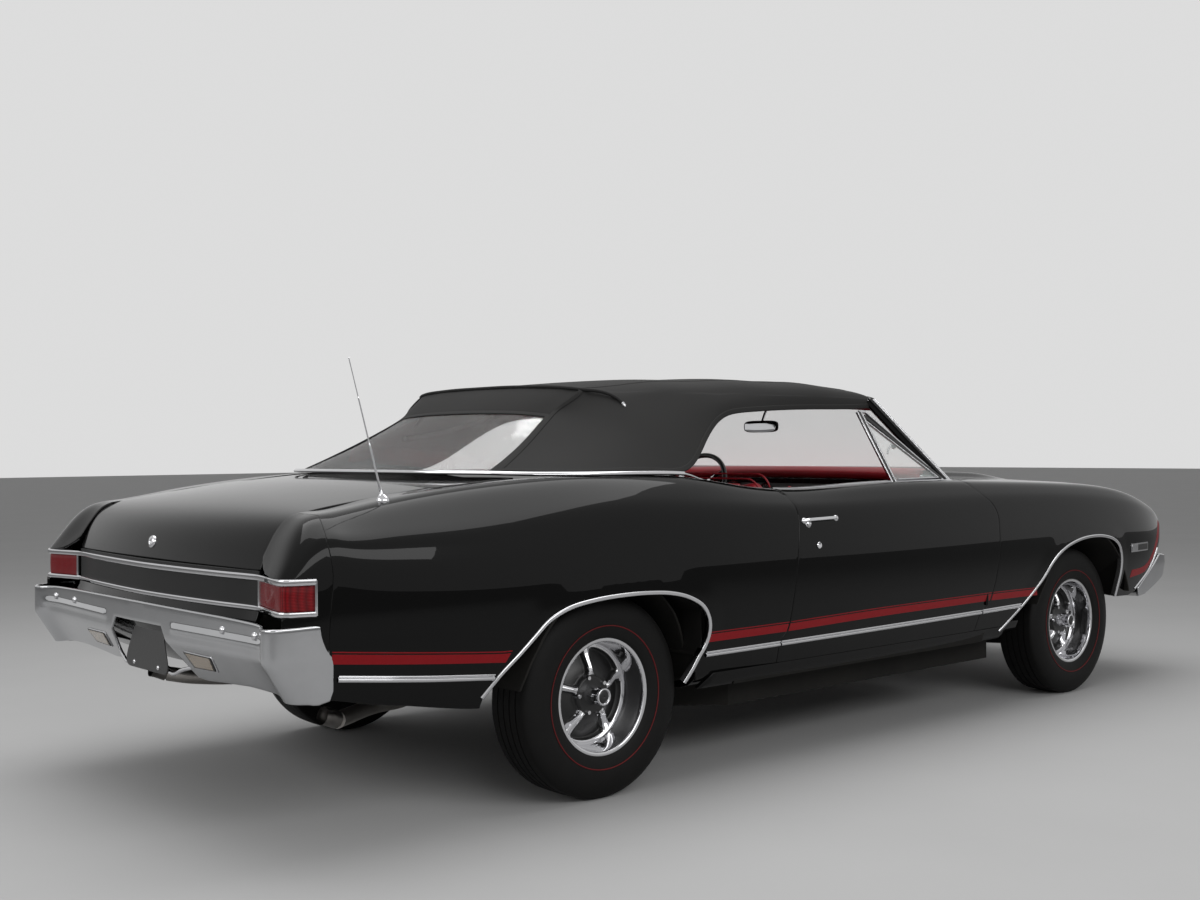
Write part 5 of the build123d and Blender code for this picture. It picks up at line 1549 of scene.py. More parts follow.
def roundedBar(width, rise, corner=0.25):
    # closed rounded rectangle about the path
    w, h, c = width / 2, rise / 2, corner * min(width, rise)
    rows = []
    for cx, cy, start in ((w - c, h - c, 0), (-w + c, h - c, 90), (-w + c, -h + c, 180),
            (w - c, -h + c, 270)):
        for turn in (0, 30, 60, 90):
            angle = math.radians(start + turn)
            rows.append((cx + c * math.cos(angle), cy + c * math.sin(angle)))
    return rows


def between(first, last, count=12):
    return np.linspace(first, last, count)


def rowSide(points, sign):
    return np.array(points, float) * (sign, 1, 1)


bowPieces = []
for index, column in enumerate((29, 56, 84)):
    line = half[column, ::3][:17] - topFacing[column, ::3][:17] * 0.016
    arc = np.concatenate([(line * (-1, 1, 1))[:0:-1], line])
    bowPieces.append(bentTube(f"top_bow_{index}", [tuple(point) for point in arc], 0.01, paintChassis,
        "body", sides=10))
for side, sign in bothSides:
    rail = half[4:86:3, 52] - topFacing[4:86:3, 52] * 0.015
    bowPieces.append(bentTube(f"top_rail_{side}", [tuple(point) for point in rowSide(rail, sign)], 0.012,
        paintChassis, "body", sides=10))
for piece in bowPieces:
    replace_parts(piece, "top_frame")


def clearGlass():
    glass = Finish("clearGlass", baseColor=(0.8, 0.86, 0.84, 1), roughness=0.02, coatWeight=0.6,
        coatRoughness=0.01, iOR=1.45)
    haze = glass.noise(2.2, 4)
    glass.feed("Roughness", haze * 0.03 + 0.01)
    glass.feed("Alpha", haze * 0.05 + 0.13)
    return glass.material


glassClear = clearGlass()
pillarFoot, pillarHead = np.array((0.786, -0.690, 0.985)), np.array((0.602, -0.428, 1.322))
pillarOut = (0.75, -0.75, 0.35)
for side, sign in bothSides:
    foot, head = pillarFoot * (sign, 1, 1), pillarHead * (sign, 1, 1)
    out = np.array(pillarOut) * (sign, 1, 1)
    inward = np.array((-0.012 * sign, 0.030, 0.0))
    post = sweepBar(f"pillar_{side}", between(foot + inward, head + inward), out, roundedBar(0.062, 0.034),
        paintBlack, "body")
    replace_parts(post, "windshield_frame")
    forward = np.array((0.15 * sign, -1.0, 0.6))
    sideways = np.array((1.0 * sign, -0.25, 0.4))
    for name, shift, facing, width, rise in (
        ("reveal", (-0.004 * sign, -0.004, 0.004), forward, 0.020, 0.007),
        ("drip", (0.010 * sign, 0.016, 0.002), sideways, 0.009, 0.008),
        ("channel", (0.004 * sign, 0.046, 0.0), sideways, 0.005, 0.006),
    ):
        shift = np.array(shift)
        sweepBar(f"pillar_{name}_{side}", between(foot + shift, head + shift), facing,
            roundedBar(width, rise, 0.4), chrome, "body")

headerPath = np.array(smoothLine([(-.606, -.424, 1.319), (-.48, -.443, 1.328), (-.25, -.462, 1.338),
    (0, -.468, 1.341), (.25, -.462, 1.338), (.48, -.443, 1.328), (.606, -.424, 1.319)], step=0.03))
headerRail = sweepBar("header_rail", headerPath + (0, 0.02, -0.016), (0, -0.6, 0.8),
    roundedBar(0.06, 0.026), paintBlack, "body")
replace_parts(headerRail, "windshield_frame")
sweepBar("header_reveal", headerPath + (0, -0.01, -0.022), (0, -0.9, 0.4), roundedBar(0.018, 0.007, 0.4),
    chrome, "body")

glassRows = []
for share in np.linspace(0, 1, 21):
    row = []
    for across in np.linspace(-1, 1, 49):
        wide = 0.776 + (0.598 - 0.776) * share
        deep = 0.100 + (0.050 - 0.100) * share
        y = -0.688 + (-0.418 + 0.688) * share - deep * (1 - across ** 2)
        row.append((wide * across, y, 0.984 + (1.312 - 0.984) * share + 0.012 * share * (1 - across ** 2)))
    glassRows.append(row)
shield = gridPiece("windshield_pane", glassRows, glassClear, "body", "glass", steady(0, -1, 0.5), hem=0,
    thick=0.005)
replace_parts(shield, "windshield_glass")


def ventX(z):
    return 0.7995 - 0.5630 * (z - 0.990)


def ventSpot(y, z, sign, lift=0.0):
    return np.array((sign * (ventX(z) + lift), y, z))


ventSeal = plainFinish("ventSeal", grey(0.015), (200, 2), grey(0.012), grey(0.024), roughness=0.6)
for side, sign in bothSides:
    body = f"door_{side}"
    facing = (sign * 0.87, 0, 0.49)
    postTop, postFoot = ventSpot(-0.288, 1.270, sign), ventSpot(-0.305, 0.982, sign)
    frontTop, frontFoot = ventSpot(-0.318, 1.270, sign), ventSpot(-0.628, 0.988, sign)
    bars = [("post_outer", postFoot, postTop, 0.007, 0.014, chrome, "chrome"),
            ("front_outer", frontFoot, frontTop, 0.007, 0.012, chrome, "chrome"),
            ("sill", frontFoot, postFoot + (0, -0.004, 0.004), 0.008, 0.012, chrome, "chrome"),
            ("cap", frontTop + (0, -0.006, 0), postTop + (0, 0.012, 0), 0.012, 0.012, chrome, "chrome")]
    for name, start, stop, width, rise, material, slotName in bars:
        sweepBar(f"vent_{name}_{side}", between(start, stop), facing, roundedBar(width, rise, 0.4),
            material, body)
    for name, shift, width in (("post_channel", 0.011, 0.016), ("post_inner", 0.022, 0.006)):
        material, slotName = (chrome, "chrome") if width < 0.01 else (ventSeal, "grille_plastic")
        sweepBar(f"vent_{name}_{side}", between(postFoot + (0, shift, 0), postTop + (0, shift, 0)), facing,
                 roundedBar(width, 0.012, 0.3), material, body)
    innerFoot, innerTop = frontFoot + (0, 0.034, 0.010), frontTop + (0, 0.012, -0.030)
    sweepBar(f"vent_front_seal_{side}", between(frontFoot + (0, 0.012, 0.006),
        frontTop + (0, 0.006, -0.016)), facing, roundedBar(0.018, 0.01, 0.3), ventSeal,
        body)
    sweepBar(f"vent_wing_{side}", between(innerFoot, innerTop), facing, roundedBar(0.005, 0.012, 0.4), chrome,
             body)
    sweepBar(f"vent_wing_foot_{side}", between(innerFoot, postFoot + (0, -0.012, 0.014)), facing,
             roundedBar(0.005, 0.012, 0.4), chrome, body)
    pane = [[tuple(innerFoot + (innerTop - innerFoot) * share + (postFoot + (0, -0.008, 0.010) +
             (postTop - postFoot) * share * 0.90 - innerFoot - (innerTop - innerFoot) * share) * over)
             for over in np.linspace(0, 1, 7)] for share in np.linspace(0, 1, 13)]
    glass = gridPiece(f"vent_pane_{side}", pane, glassClear, body, "glass", outFromSide(side), hem=0,
        thick=0.0045)
    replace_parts(glass, f"vent_glass_{side}")
    latch = innerFoot + (innerTop - innerFoot) * 0.56
    lathe(f"vent_latch_base_{side}", [(0, 0), (0.01, 0.0), (0.01, 0.008), (0.006, 0.012), (0, 0.012)],
        latch + np.array((-0.01 * sign, 0, -0.004)), (-sign * 0.87, 0, -0.49), chrome, body,
        steps=20)
    bentTube(f"vent_latch_arm_{side}", [tuple(latch + (-0.02 * sign, 0.004, 0.004)),
        tuple(latch + (-0.022 * sign, 0.02, -0.014)), tuple(latch + (-0.018 * sign, 0.034, -0.034))],
        0.0042, chrome, body)
    # chrome strip along the top of the door skin and up to the vent post
    door = topLine([(0.8015 - 0.006 * (y + 0.7), y) for y in np.arange(0.425, -0.69, -0.03)])
    spots = mirrored(sidePoints(np.array(door)), side)
    sweepBar(f"door_belt_{side}", spots + (0, 0, 0.001), (sign * 0.35, 0, 1), roundedBar(0.011, 0.006, 0.4),
        chrome, body)
    sweepBar(f"door_wipe_{side}", spots + (-0.012 * sign, 0, 0.000), (0, 0, 1), roundedBar(0.008, 0.007, 0.4),
             ventSeal, body)

# mirror on a curved arm from the header
bentTube("mirror_arm", [(0, -0.452, 1.312), (0, -0.43, 1.29), (0, -0.412, 1.258), (0, -0.402, 1.232)],
    0.0055, chrome, "body")
mirrorShape = [(0.1 * math.copysign(abs(math.cos(a)) ** 0.45, math.cos(a)),
    0.0265 * math.copysign(abs(math.sin(a)) ** 0.55, math.sin(a)))
    for a in np.linspace(0, 2 * math.pi, 48, endpoint=False)]
mirrorRows = []
for grow, y in ((0.05, -0.414), (0.75, -0.4135), (0.93, -0.41), (1.0, -0.402), (1.0, -0.394),
        (0.97, -0.391), (0.9, -0.391)):
    mirrorRows.append([(x * grow, y, 1.222 + z * grow) for x, z in mirrorShape + mirrorShape[:1]])
gridPiece("mirror_shell", mirrorRows, paintMatte, "body", "matte_black_paint", steady(0, -1, 0.2),
          hem=0, thick=0)
gridPiece("mirror_glass", [[(x * grow, -0.3905, 1.222 + z * grow) for x, z in mirrorShape + mirrorShape[:1]]
    for grow in (0.02, 0.5, 0.92)], chrome, "body", "chrome", steady(0, 1, 0), hem=0, thick=0.001)
print("windshield, vents and mirror made")


# ---- cabin: padded seats, trims, dash, steering wheel, carpet

vinylRed = plainFinish("redVinyl", (0.3, 0.01, 0.018, 1), (6, 4), (0.24, 0.008, 0.014, 1),
    (0.36, 0.014, 0.024, 1), (0.15, 0.36), (0.35, 0.0008, (900, 3, 0.6)), roughness=0.42,
    specularIORLevel=0.4)
carpetRed = plainFinish("redCarpet", (0.1, 0.004, 0.007, 1), (700, 3, 0.7), (0.05, 0.002, 0.004, 1),
    (0.15, 0.006, 0.012, 1), None, (0.9, 0.002), roughness=0.95, specularIORLevel=0.1)
plasticBlack = plainFinish("blackPlastic", grey(0.012), (500, 3), grey(0.01), grey(0.018), (0.14, 0.3),
    (0.1, 0.0006), roughness=0.38)


def pressedPad(name, size, swell, voxel=0.0072, rounding=0.035, pressure=4.0):
    # rounded block blown up by cloth pressure, each point's travel capped
    mesh = bpy.data.meshes.new(name)
    bm = bmesh.new()
    bmesh.ops.create_cube(bm, size=1)
    bmesh.ops.scale(bm, vec=size, verts=bm.verts)
    bmesh.ops.bevel(bm, geom=list(bm.edges), offset=rounding, segments=4, profile=0.5, affect="EDGES")
    bm.to_mesh(mesh)
    bm.free()
    holder = linked(name + "Draft", mesh)
    remesh = holder.modifiers.new("remesh", "REMESH")
    remesh.mode = "VOXEL"
    remesh.voxel_size = voxel
    filled = bpy.data.meshes.new_from_object(evaluated(holder))
    holder.modifiers.clear()
    holder.data = filled
    count = len(filled.vertices)
    start = np.empty(count * 3)
    filled.vertices.foreach_get("co", start)
    start = start.reshape(-1, 3)
    moved = start
    cloth = holder.modifiers.new("cloth", "CLOTH")
    cloth.settings.use_pressure = True
    cloth.settings.uniform_pressure_force = pressure
    cloth.settings.effector_weights.gravity = 0
    cloth.settings.quality = 4
    cloth.point_cache.frame_start, cloth.point_cache.frame_end = 1, 20
    for index in range(1, 21):
        bpy.context.scene.frame_set(index)
    blown = evaluated(holder).to_mesh()
    moved = np.empty(count * 3)
    blown.vertices.foreach_get("co", moved)
    moved = moved.reshape(-1, 3)
    bpy.context.scene.frame_set(1)
    travel = moved - start
    reach = np.linalg.norm(travel, axis=1)
    travel *= (np.minimum(reach, swell) / np.maximum(reach, 1e-9))[:, None]
    faces = [tuple(face.vertices) for face in filled.polygons]
    bpy.data.objects.remove(holder)
    return start + travel, faces


def sewChannels(points, size, channels, field, depth=0.0065, width=0.0045):
    # presses sewn channels into the upper face of a pad
    points = points.copy()
    top = points[:, 2] > size[2] * 0.25
    inField = (np.abs(points[:, 0]) < field[0]) & (np.abs(points[:, 1]) < field[1]) & top
    for x in channels:
        points[:, 2] -= depth * np.exp(-((points[:, 0] - x) / width) ** 2) * inField
    edge = np.maximum(np.abs(points[:, 0]) - field[0], np.abs(points[:, 1]) - field[1])
    points[:, 2] -= depth * 1.3 * np.exp(-(edge / (width * 1.2)) ** 2) * top
    return points


def padPiece(name, points, faces, size, place, tilt, channels, field, mirrorX=1):
    shaped = sewChannels(points, size, channels, field)
    turn = Matrix.Rotation(math.radians(tilt), 3, "X")
    spots = shaped @ np.array(turn).T + np.array(place)
    turned = faces if mirrorX > 0 else [face[::-1] for face in faces]
    piece = meshPiece(name, [tuple(spot) for spot in spots * (mirrorX, 1, 1)], turned, vinylRed, "body")
    return piece


def pipingLoop(name, size, place, tilt, height, material, sign=1, rounding=0.05, grow=0.006, radius=0.0035):
    # sewn piping around a pad's rounded outline
    corners = []
    w, d = size[0] / 2 + grow, size[1] / 2 + grow
    for cx, cy, start in ((w - rounding, d - rounding, 0), (-w + rounding, d - rounding, 90),
            (-w + rounding, -d + rounding, 180), (w - rounding, -d + rounding, 270)):
        for angle in np.radians(np.linspace(start, start + 90, 7)):
            corners.append((cx + rounding * math.cos(angle), cy + rounding * math.sin(angle), height))
    turn = Matrix.Rotation(math.radians(tilt), 3, "X")
    path = (np.array(corners) @ np.array(turn).T + np.array(place)) * (sign, 1, 1)
    section = [(radius * math.cos(a), radius * math.sin(a)) for a in np.linspace(0, 2 * math.pi, 9)[:-1]]
    up = np.array(turn @ Vector((0, 0, 1)))
    return sweepBar(name, path, up, section, material, "body", closed=True, sharp=80)


seatValues = {"cushion": (0.47, 0.45, 0.1), "back": (0.47, 0.44, 0.085), "bench": (0.54, 0.4, 0.11),
    "benchBack": (0.54, 0.37, 0.09), "swell": 0.024}
cushionPad, backPad, benchPad, benchBackPad = (pressedPad(key + "Pad", seatValues[key], seatValues["swell"])
    for key in ("cushion", "back", "bench", "benchBack"))
print("pads pressed")
seatRibs = [-0.13, -0.078, -0.026, 0.026, 0.078, 0.13]
benchRibs = [-0.17, -0.102, -0.034, 0.034, 0.102, 0.17]
hingeDisc = [(0, -0.006), (0.026, -0.006), (0.028, 0.0), (0.026, 0.006), (0, 0.006)]
seatPlaces = (
    ("seat_cushion", cushionPad, "cushion", (0.372, -0.085, 0.545), -4.0, (0.165, 0.175), "front_seats"),
    ("seat_back", backPad, "back", (0.372, 0.222, 0.790), 73.0, (0.165, 0.160), "front_seats"),
    ("bench_cushion", benchPad, "bench", (0.284, 0.835, 0.540), -6.0, (0.205, 0.150), "rear_seat"),
    ("bench_back", benchBackPad, "benchBack", (0.284, 1.085, 0.745), 66.0, (0.205, 0.130), "rear_seat"),
)
for side, sign in bothSides:
    for name, (points, faces), key, place, tilt, field, node in seatPlaces:
        ribs = seatRibs if node == "front_seats" else benchRibs
        size = seatValues[key]
        pad = padPiece(f"{name}_{side}", points, faces, size, place, tilt, ribs, field, mirrorX=sign)
        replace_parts(pad, node)
        for level, height in (("upper", size[2] / 2 - 0.012), ("lower", -size[2] / 2 + 0.014)):
            pipingLoop(f"{name}_piping_{level}_{side}", size, place, tilt, height, vinylRed, sign,
                grow=0.0175)
    # seat base, runners and the back's hard shell
    sweepBar(f"seat_base_{side}", rowSide(between((0.372, -0.3, 0.465), (0.372, 0.16, 0.455), 6), sign),
        (0, 0, 1), roundedBar(0.42, 0.075, 0.3), vinylRed, "body")
    for runner, x in (("inner", 0.20), ("outer", 0.54)):
        sweepBar(f"seat_runner_{runner}_{side}", rowSide(between((x, -0.24, 0.373), (x, 0.19, 0.373), 6),
            sign), (0, 0, 1), roundedBar(0.036, 0.1, 0.15), chrome, "body")
        hingeX = sign * (0.132 if runner == "inner" else 0.612)
        lathe(f"seat_hinge_{runner}_{side}", hingeDisc, (hingeX, 0.165, 0.575), (1, 0, 0), chrome, "body",
            steps=28)
shell = []
for share in np.linspace(0, 1, 9):
    shell.append([(x, 0.262 + 0.1305 * share + 0.01 * (1 - (x - 0.372) ** 2 / 0.055), 0.6 + 0.385 * share)
        for x in np.linspace(0.15, 0.594, 13)])
for side, sign in bothSides:
    gridPiece(f"seat_back_shell_{side}", [[(x * sign, y, z) for x, y, z in row] for row in shell], vinylRed,
        "body", "red_vinyl", steady(0, 1, -0.2), hem=0.004, thick=0.003)


def trimPanel(name, side, outline, x, foot, head, body, towards, **skin):
    flat, faces = fillOutline(spaced(outline + [outline[0]], 0.02)[:-1], 0.022)
    lean = np.interp(flat[:, 1], (foot, head), (x, x - 0.010))
    pleat = 0.0035 * np.clip(np.cos(flat[:, 0] * 2 * math.pi / 0.058) * 6 - 4.6, 0, 1)
    pleat *= ((flat[:, 1] > foot + 0.20) & (flat[:, 1] < head - 0.10))
    points = np.stack([signOf[side] * (lean + pleat), flat[:, 0], flat[:, 1]], 1)
    return skinPanel(name, points, faces, vinylRed, body, "red_vinyl", towards, **skin)


def pocketed(jamb):
    # openings for the two hinge arms at the front
    draft = bmesh.new()
    draft.from_mesh(jamb.data)
    arms = [face for face in draft.faces if face.calc_center_median().y < -0.66
            and min(abs(face.calc_center_median().z - level) for level in (0.52, 0.76)) < 0.05
            and abs(face.calc_center_median().x) < 0.936]
    bmesh.ops.delete(draft, geom=arms, context="FACES")
    draft.to_mesh(jamb.data)
    draft.free()


# door trims and the panels between the outer skin and the trim
doorTrimOutline = [(-0.64, 0.415), (0.505, 0.415), (0.47, 0.545), (0.44, 0.7), (0.42, 0.85), (0.41, 0.952),
    (0.1, 0.955), (-0.3, 0.962), (-0.655, 0.972), (-0.7, 0.86), (-0.695, 0.7), (-0.665, 0.54)]
for side, sign in bothSides:
    body = f"door_{side}"
    inward = steady(-sign, 0, 0)
    trimPanel(f"door_trim_{side}", side, doorTrimOutline, 0.765, 0.415, 0.96, body, inward, hem=0.005,
        depth=0.012)
    outerRing = sidePoints(np.array(doorOutline()))
    centre = np.array((-0.12, 0.69))
    flatRing = outerRing[:, 1:]
    rows = []
    for share in np.linspace(0, 1, 5):
        x = outerRing[:, 0] - 0.004 - (outerRing[:, 0] - 0.004 - 0.768) * share
        pulled = flatRing + (centre - flatRing) * (0.004 + 0.020 * share)
        line = np.column_stack([np.minimum(x, outerRing[:, 0] - 0.003), pulled])
        rows.append(mirrored(np.vstack([line, line[:1]]), side))
    edge = sidePoints(np.array(sideLine(smoothLine(shifted(doorRearLine, shutGap / 2)))))
    edge = edge[(edge[:, 2] > 0.37) & (edge[:, 0] > 0.80)]
    pillar = []
    for share in np.linspace(0, 1, 5):
        reach = edge[:, 0] - 0.004 - (edge[:, 0] - 0.004 - 0.735) * share
        pillar.append(mirrored(np.column_stack([reach, edge[:, 1] + 0.003 + 0.02 * share, edge[:, 2]]),
            side))
    gridPiece(f"quarter_jamb_{side}", pillar, paintBlack, "body", "body_paint",
              steady(0, -1, 0), hem=0, thick=0.0012)
    jamb = gridPiece(f"door_jamb_{side}", rows, paintBlack, body, "body_paint",
        lambda spot: Vector((0, spot.y + 0.12, spot.z - 0.69)), hem=0, thick=0.0012)
    pocketed(jamb)
    armPath = rowSide([(0.738, -0.28, 0.7), (0.73, -0.1, 0.705), (0.73, 0.1, 0.705), (0.738, 0.26, 0.7)],
        sign)
    sweepBar(f"arm_rest_{side}", np.array(smoothLine([tuple(row) for row in armPath], step=0.03)), (0, 0, 1),
             roundedBar(0.062, 0.038, 0.4), vinylRed, body)
    sweepBar(f"trim_strip_{side}", rowSide(between((0.7615, -0.67, 0.868), (0.7600, 0.405, 0.868), 8), sign),
             (sign * -1, 0, 0), roundedBar(0.010, 0.005, 0.4), chrome, body)
    for name, spot, aim in (("crank", (0.757, -0.36, 0.62), (0.735, -0.3, 0.56)),
            ("pull", (0.757, -0.43, 0.76), (0.738, -0.35, 0.762))):
        spot, aim = np.array(spot) * (sign, 1, 1), np.array(aim) * (sign, 1, 1)
        lathe(f"door_{name}_boss_{side}", [(0, 0), (0.022, 0.0), (0.02, 0.01), (0.012, 0.02), (0, 0.022)],
            spot, (-sign, 0, 0), chrome, body, steps=24)
        bentTube(f"door_{name}_{side}", [tuple(spot + (-0.018 * sign, 0, 0)), tuple((spot + aim) / 2 +
                 (-0.012 * sign, 0, 0)), tuple(aim)], 0.0062, chrome, body)
    lathe(f"door_crank_knob_{side}", [(0, 0), (0.012, 0.0), (0.014, 0.010), (0.010, 0.018), (0, 0.020)],
          (sign * 0.735, -0.30, 0.560), (-sign, 0, 0), plasticBlack, body, steps=20)
    lathe(f"lock_knob_{side}", [(0, 0), (0.0028, 0), (0.0028, 0.014), (0.0062, 0.02), (0.007, 0.026),
        (0.004, 0.031), (0, 0.032)], (sign * 0.772, 0.302, 0.952), (0, 0, 1), vinylRed, body,
        steps=20)
    quarterTrim = [(0.455, 0.4), (0.83, 0.4), (0.85, 0.5), (0.91, 0.63), (1.01, 0.73), (1.16, 0.775),
        (1.16, 0.985), (0.6, 0.975), (0.47, 0.958)]
    trimPanel(f"quarter_trim_{side}", side, quarterTrim, 0.715, 0.40, 0.98, "body", inward, hem=0.005)
    shelfLine = ((0.455, 0.955), (0.70, 0.985), (0.90, 1.018), (1.16, 1.020))
    shelf = [rowSide([(x, y, z) for y, z in shelfLine], sign) for x in (0.708, 0.74, 0.775, 0.80)]
    gridPiece(f"belt_shelf_{side}", shelf, vinylRed, "body", "red_vinyl",
              upwards, hem=0, thick=0.003)

# dash: padded roll on top, instrument face, lower panel
dashTop = [(-0.752, 1.014), (-0.7, 1.03), (-0.64, 1.034), (-0.592, 1.03), (-0.566, 1.018), (-0.56, 1.002),
    (-0.572, 0.988), (-0.6, 0.982)]
dashRows = []
for y, z in dashTop:
    dashRows.append([(x, max(y, -0.655 - 0.098 * (1 - (x / 0.776) ** 2)), z + 0.008 * (1 - (x / 0.7) ** 2) -
        0.05 * max(0, abs(x) - 0.66)) for x in np.linspace(-0.725, 0.725, 41)])
dashPad = gridPiece("dash_pad", dashRows, vinylRed, "body", "red_vinyl", steady(0, 0.3, 1), hem=0.003,
    thick=0.004)
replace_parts(dashPad, "dashboard")
faceRows = [[(x, y + 0.004 * math.cos(x * 3), z) for x in np.linspace(-0.735, 0.735, 31)]
            for y, z in ((-0.606, 0.985), (-0.602, 0.950), (-0.598, 0.900), (-0.600, 0.870))]
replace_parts(gridPiece("dash_face", faceRows, plasticBlack, "body", "black_plastic", steady(0, 1, 0),
    hem=0.002), "dashboard")
lowRows = [[(x, y, z) for x in np.linspace(-0.735, 0.735, 31)]
           for y, z in ((-0.600, 0.872), (-0.575, 0.860), (-0.560, 0.830), (-0.570, 0.785), (-0.620, 0.755))]
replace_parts(gridPiece("dash_lower", lowRows, vinylRed, "body", "red_vinyl", steady(0, 1, 0), hem=0.003,
    thick=0.003), "dashboard")
for name, z in (("upper", 0.972), ("lower", 0.878)):
    sweepBar(f"dash_strip_{name}", between((-0.70, -0.594, z), (0.70, -0.594, z), 10), (0, 1, 0),
             roundedBar(0.007, 0.006, 0.4), chrome, "body")


dialFace = plainFinish("dialFace", grey(0.02), (40, 3), grey(0.015), grey(0.035), roughness=0.35)
paleMark = plainFinish("paleMark", grey(0.7), (60, 2), grey(0.62), grey(0.78), roughness=0.5)
gaugeLevel = 0.925
for index, (x, radius) in enumerate(((0.470, 0.045), (0.350, 0.045), (0.230, 0.036), (0.150, 0.036))):
    spot = (x, -0.596, gaugeLevel)
    lathe(f"gauge_{index}", [(0, 0.003), (radius - 0.004, 0.003), (radius - 0.003, 0.01), (radius, 0.012),
        (radius + 0.003, 0.008), (radius + 0.004, 0.0)], spot, (0, 1, 0), chrome, "body",
        steps=40)
    lathe(f"gauge_face_{index}", [(0, 0.0045), (radius - 0.0045, 0.0045), (radius - 0.0045, 0.0035)], spot,
        (0, 1, 0), dialFace, "body", steps=40)
    ticks = []
    for step in range(11):
        angle = math.radians(-130 + 26 * step)
        ticks.append([(x + math.sin(angle) * reach, -0.5905, gaugeLevel + math.cos(angle) * reach)
            for reach in (radius * 0.66, radius * 0.82)])
    points, faces = [], []
    for (ax, ay, az), (bx, by, bz) in ticks:
        across = np.cross(np.array((bx - ax, 0, bz - az)), (0, 1, 0))
        across = across / np.linalg.norm(across) * 0.0007
        base = len(points)
        points += [(ax - across[0], ay, az - across[2]), (ax + across[0], ay, az + across[2]),
                   (bx + across[0], by, bz + across[2]), (bx - across[0], by, bz - across[2])]
        faces.append((base, base + 1, base + 2, base + 3))
    skinPanel(f"gauge_marks_{index}", points, faces, paleMark, "body", "black_plastic", steady(0, 1, 0),
        hem=0, thick=0.0004)
for index, x in enumerate((-0.02, -0.08, 0.04)):
    lathe(f"dash_knob_{index}", [(0, 0), (0.005, 0), (0.005, 0.01), (0.012, 0.012), (0.012, 0.022),
        (0, 0.024)], (x, -0.596, gaugeLevel), (0, 1, 0), chrome, "body", steps=20)
gloveRows = [[(x, -0.5945, z) for x in np.linspace(-0.55, -0.22, 9)] for z in (0.895, 0.925, 0.955)]
gridPiece("glove_door", gloveRows, vinylRed, "body", "red_vinyl", steady(0, 1, 0), hem=0.003, thick=0.002)

# steering wheel and column
hub = np.array((0.380, -0.342, 0.925))
columnTurn = math.radians(28)
wheelAxis = np.array((0, math.cos(columnTurn), math.sin(columnTurn)))
rim = lathe("steering_rim", ringProfile(0.190, 0.0115), hub, wheelAxis, plasticBlack, "steering_wheel",
            steps=72, sharp=80)
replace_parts(rim, "steering_wheel")
pad = lathe("steering_pad", [(0, 0.022), (0.03, 0.021), (0.05, 0.015), (0.058, 0.004), (0.055, -0.012),
    (0.03, -0.02), (0, -0.02)], hub, wheelAxis, plasticBlack, "steering_wheel")
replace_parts(pad, "steering_wheel")
lathe("horn_ring", ringProfile(0.044, 0.003), hub + wheelAxis * 0.018, wheelAxis, chrome, "steering_wheel",
    steps=40, sharp=80)
upWheel = np.array((0, -math.sin(columnTurn), math.cos(columnTurn)))
for index, angle in enumerate((180, 55, -55)):
    away = np.array((1, 0, 0)) * math.sin(math.radians(angle)) + upWheel * math.cos(math.radians(angle))
    spoke = between(hub + away * 0.045 + wheelAxis * 0.002, hub + away * 0.184, 8)
    sweepBar(f"steering_spoke_{index}", spoke, wheelAxis, roundedBar(0.026, 0.006, 0.4), chrome,
             "steering_wheel")
column = between(hub - wheelAxis * 0.026, hub - wheelAxis * 0.330, 6)
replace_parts(bentTube("steering_column", [tuple(point) for point in column], 0.026, vinylRed,
    "body", sides=24), "dashboard")
bentTube("turn_stalk", [tuple(hub - wheelAxis * 0.06 + (-0.02, 0, 0)),
    tuple(hub - wheelAxis * 0.055 + (0.08, 0, 0.01)), tuple(hub - wheelAxis * 0.045 + (0.15, 0, 0.02))],
    0.0035, chrome, "body")

# carpet over the floor and tunnel, shifter
carpetRows = []
for y, z in ((-0.8, 0.6), (-0.74, 0.45), (-0.66, 0.35), (-0.5, 0.332), (0.0, 0.331), (0.45, 0.331),
        (0.8, 0.331)):
    row = []
    for x in (-0.675, -0.66, -0.40, -0.165, -0.150, -0.135, 0.0, 0.135, 0.150, 0.165, 0.40, 0.66, 0.675):
        lift = 0.460 if abs(x) < 0.140 else z + (0.460 - z) * max(0, (0.165 - abs(x)) / 0.030)
        row.append((x, y, max(z, lift) + (0.03 if abs(x) > 0.67 else 0)))
    carpetRows.append(row)
gridPiece("carpet", carpetRows, carpetRed, "body", "red_vinyl", upwards, hem=0, thick=0.004)
bentTube("shifter", [(0, -0.32, 0.46), (0, -0.31, 0.56), (0, -0.27, 0.66)], 0.0065, chrome, "body")
lathe("shifter_knob", [(0, -0.004), (0.008, 0), (0.020, 0.012), (0.022, 0.024), (0.014, 0.038), (0, 0.042)],
      (0, -0.271, 0.657), (0, 0.3, 1), plasticBlack, "body", steps=28)
lathe("shifter_boot", [(0, 0.0), (0.062, 0.0), (0.05, 0.016), (0.034, 0.03), (0.018, 0.052), (0.01, 0.064),
    (0, 0.064)], (0, -0.32, 0.462), (0, 0.1, 1), plasticBlack, "body", steps=28)
print("cabin made")


# ---- front end: nose, grille, lamps, bumper, valance

nosePath = [(0.0, 2.4335), (0.30, 2.4330), (0.60, 2.4290), (0.745, 2.4240), (0.798, 2.4150)]


def frontPath(path):
    return [(x, -y) for x, y in wholePath(path)]


noseLine = frontPath(nosePath)
innerNose = [point for point in noseLine if abs(point[0]) < 0.80]


def browSection(x, y):
    lift = float(edgeHeight(np.array([-2.386]))[0]) + 0.012 * (1 - (x / 0.7415) ** 2)
    return [(-0.040, lift + 0.0005), (-0.020, lift - 0.0015), (-0.006, lift - 0.008), (0.000, lift - 0.020),
            (0.001, 0.756), (-0.002, 0.744), (-0.012, 0.738), (-0.055, 0.736)]


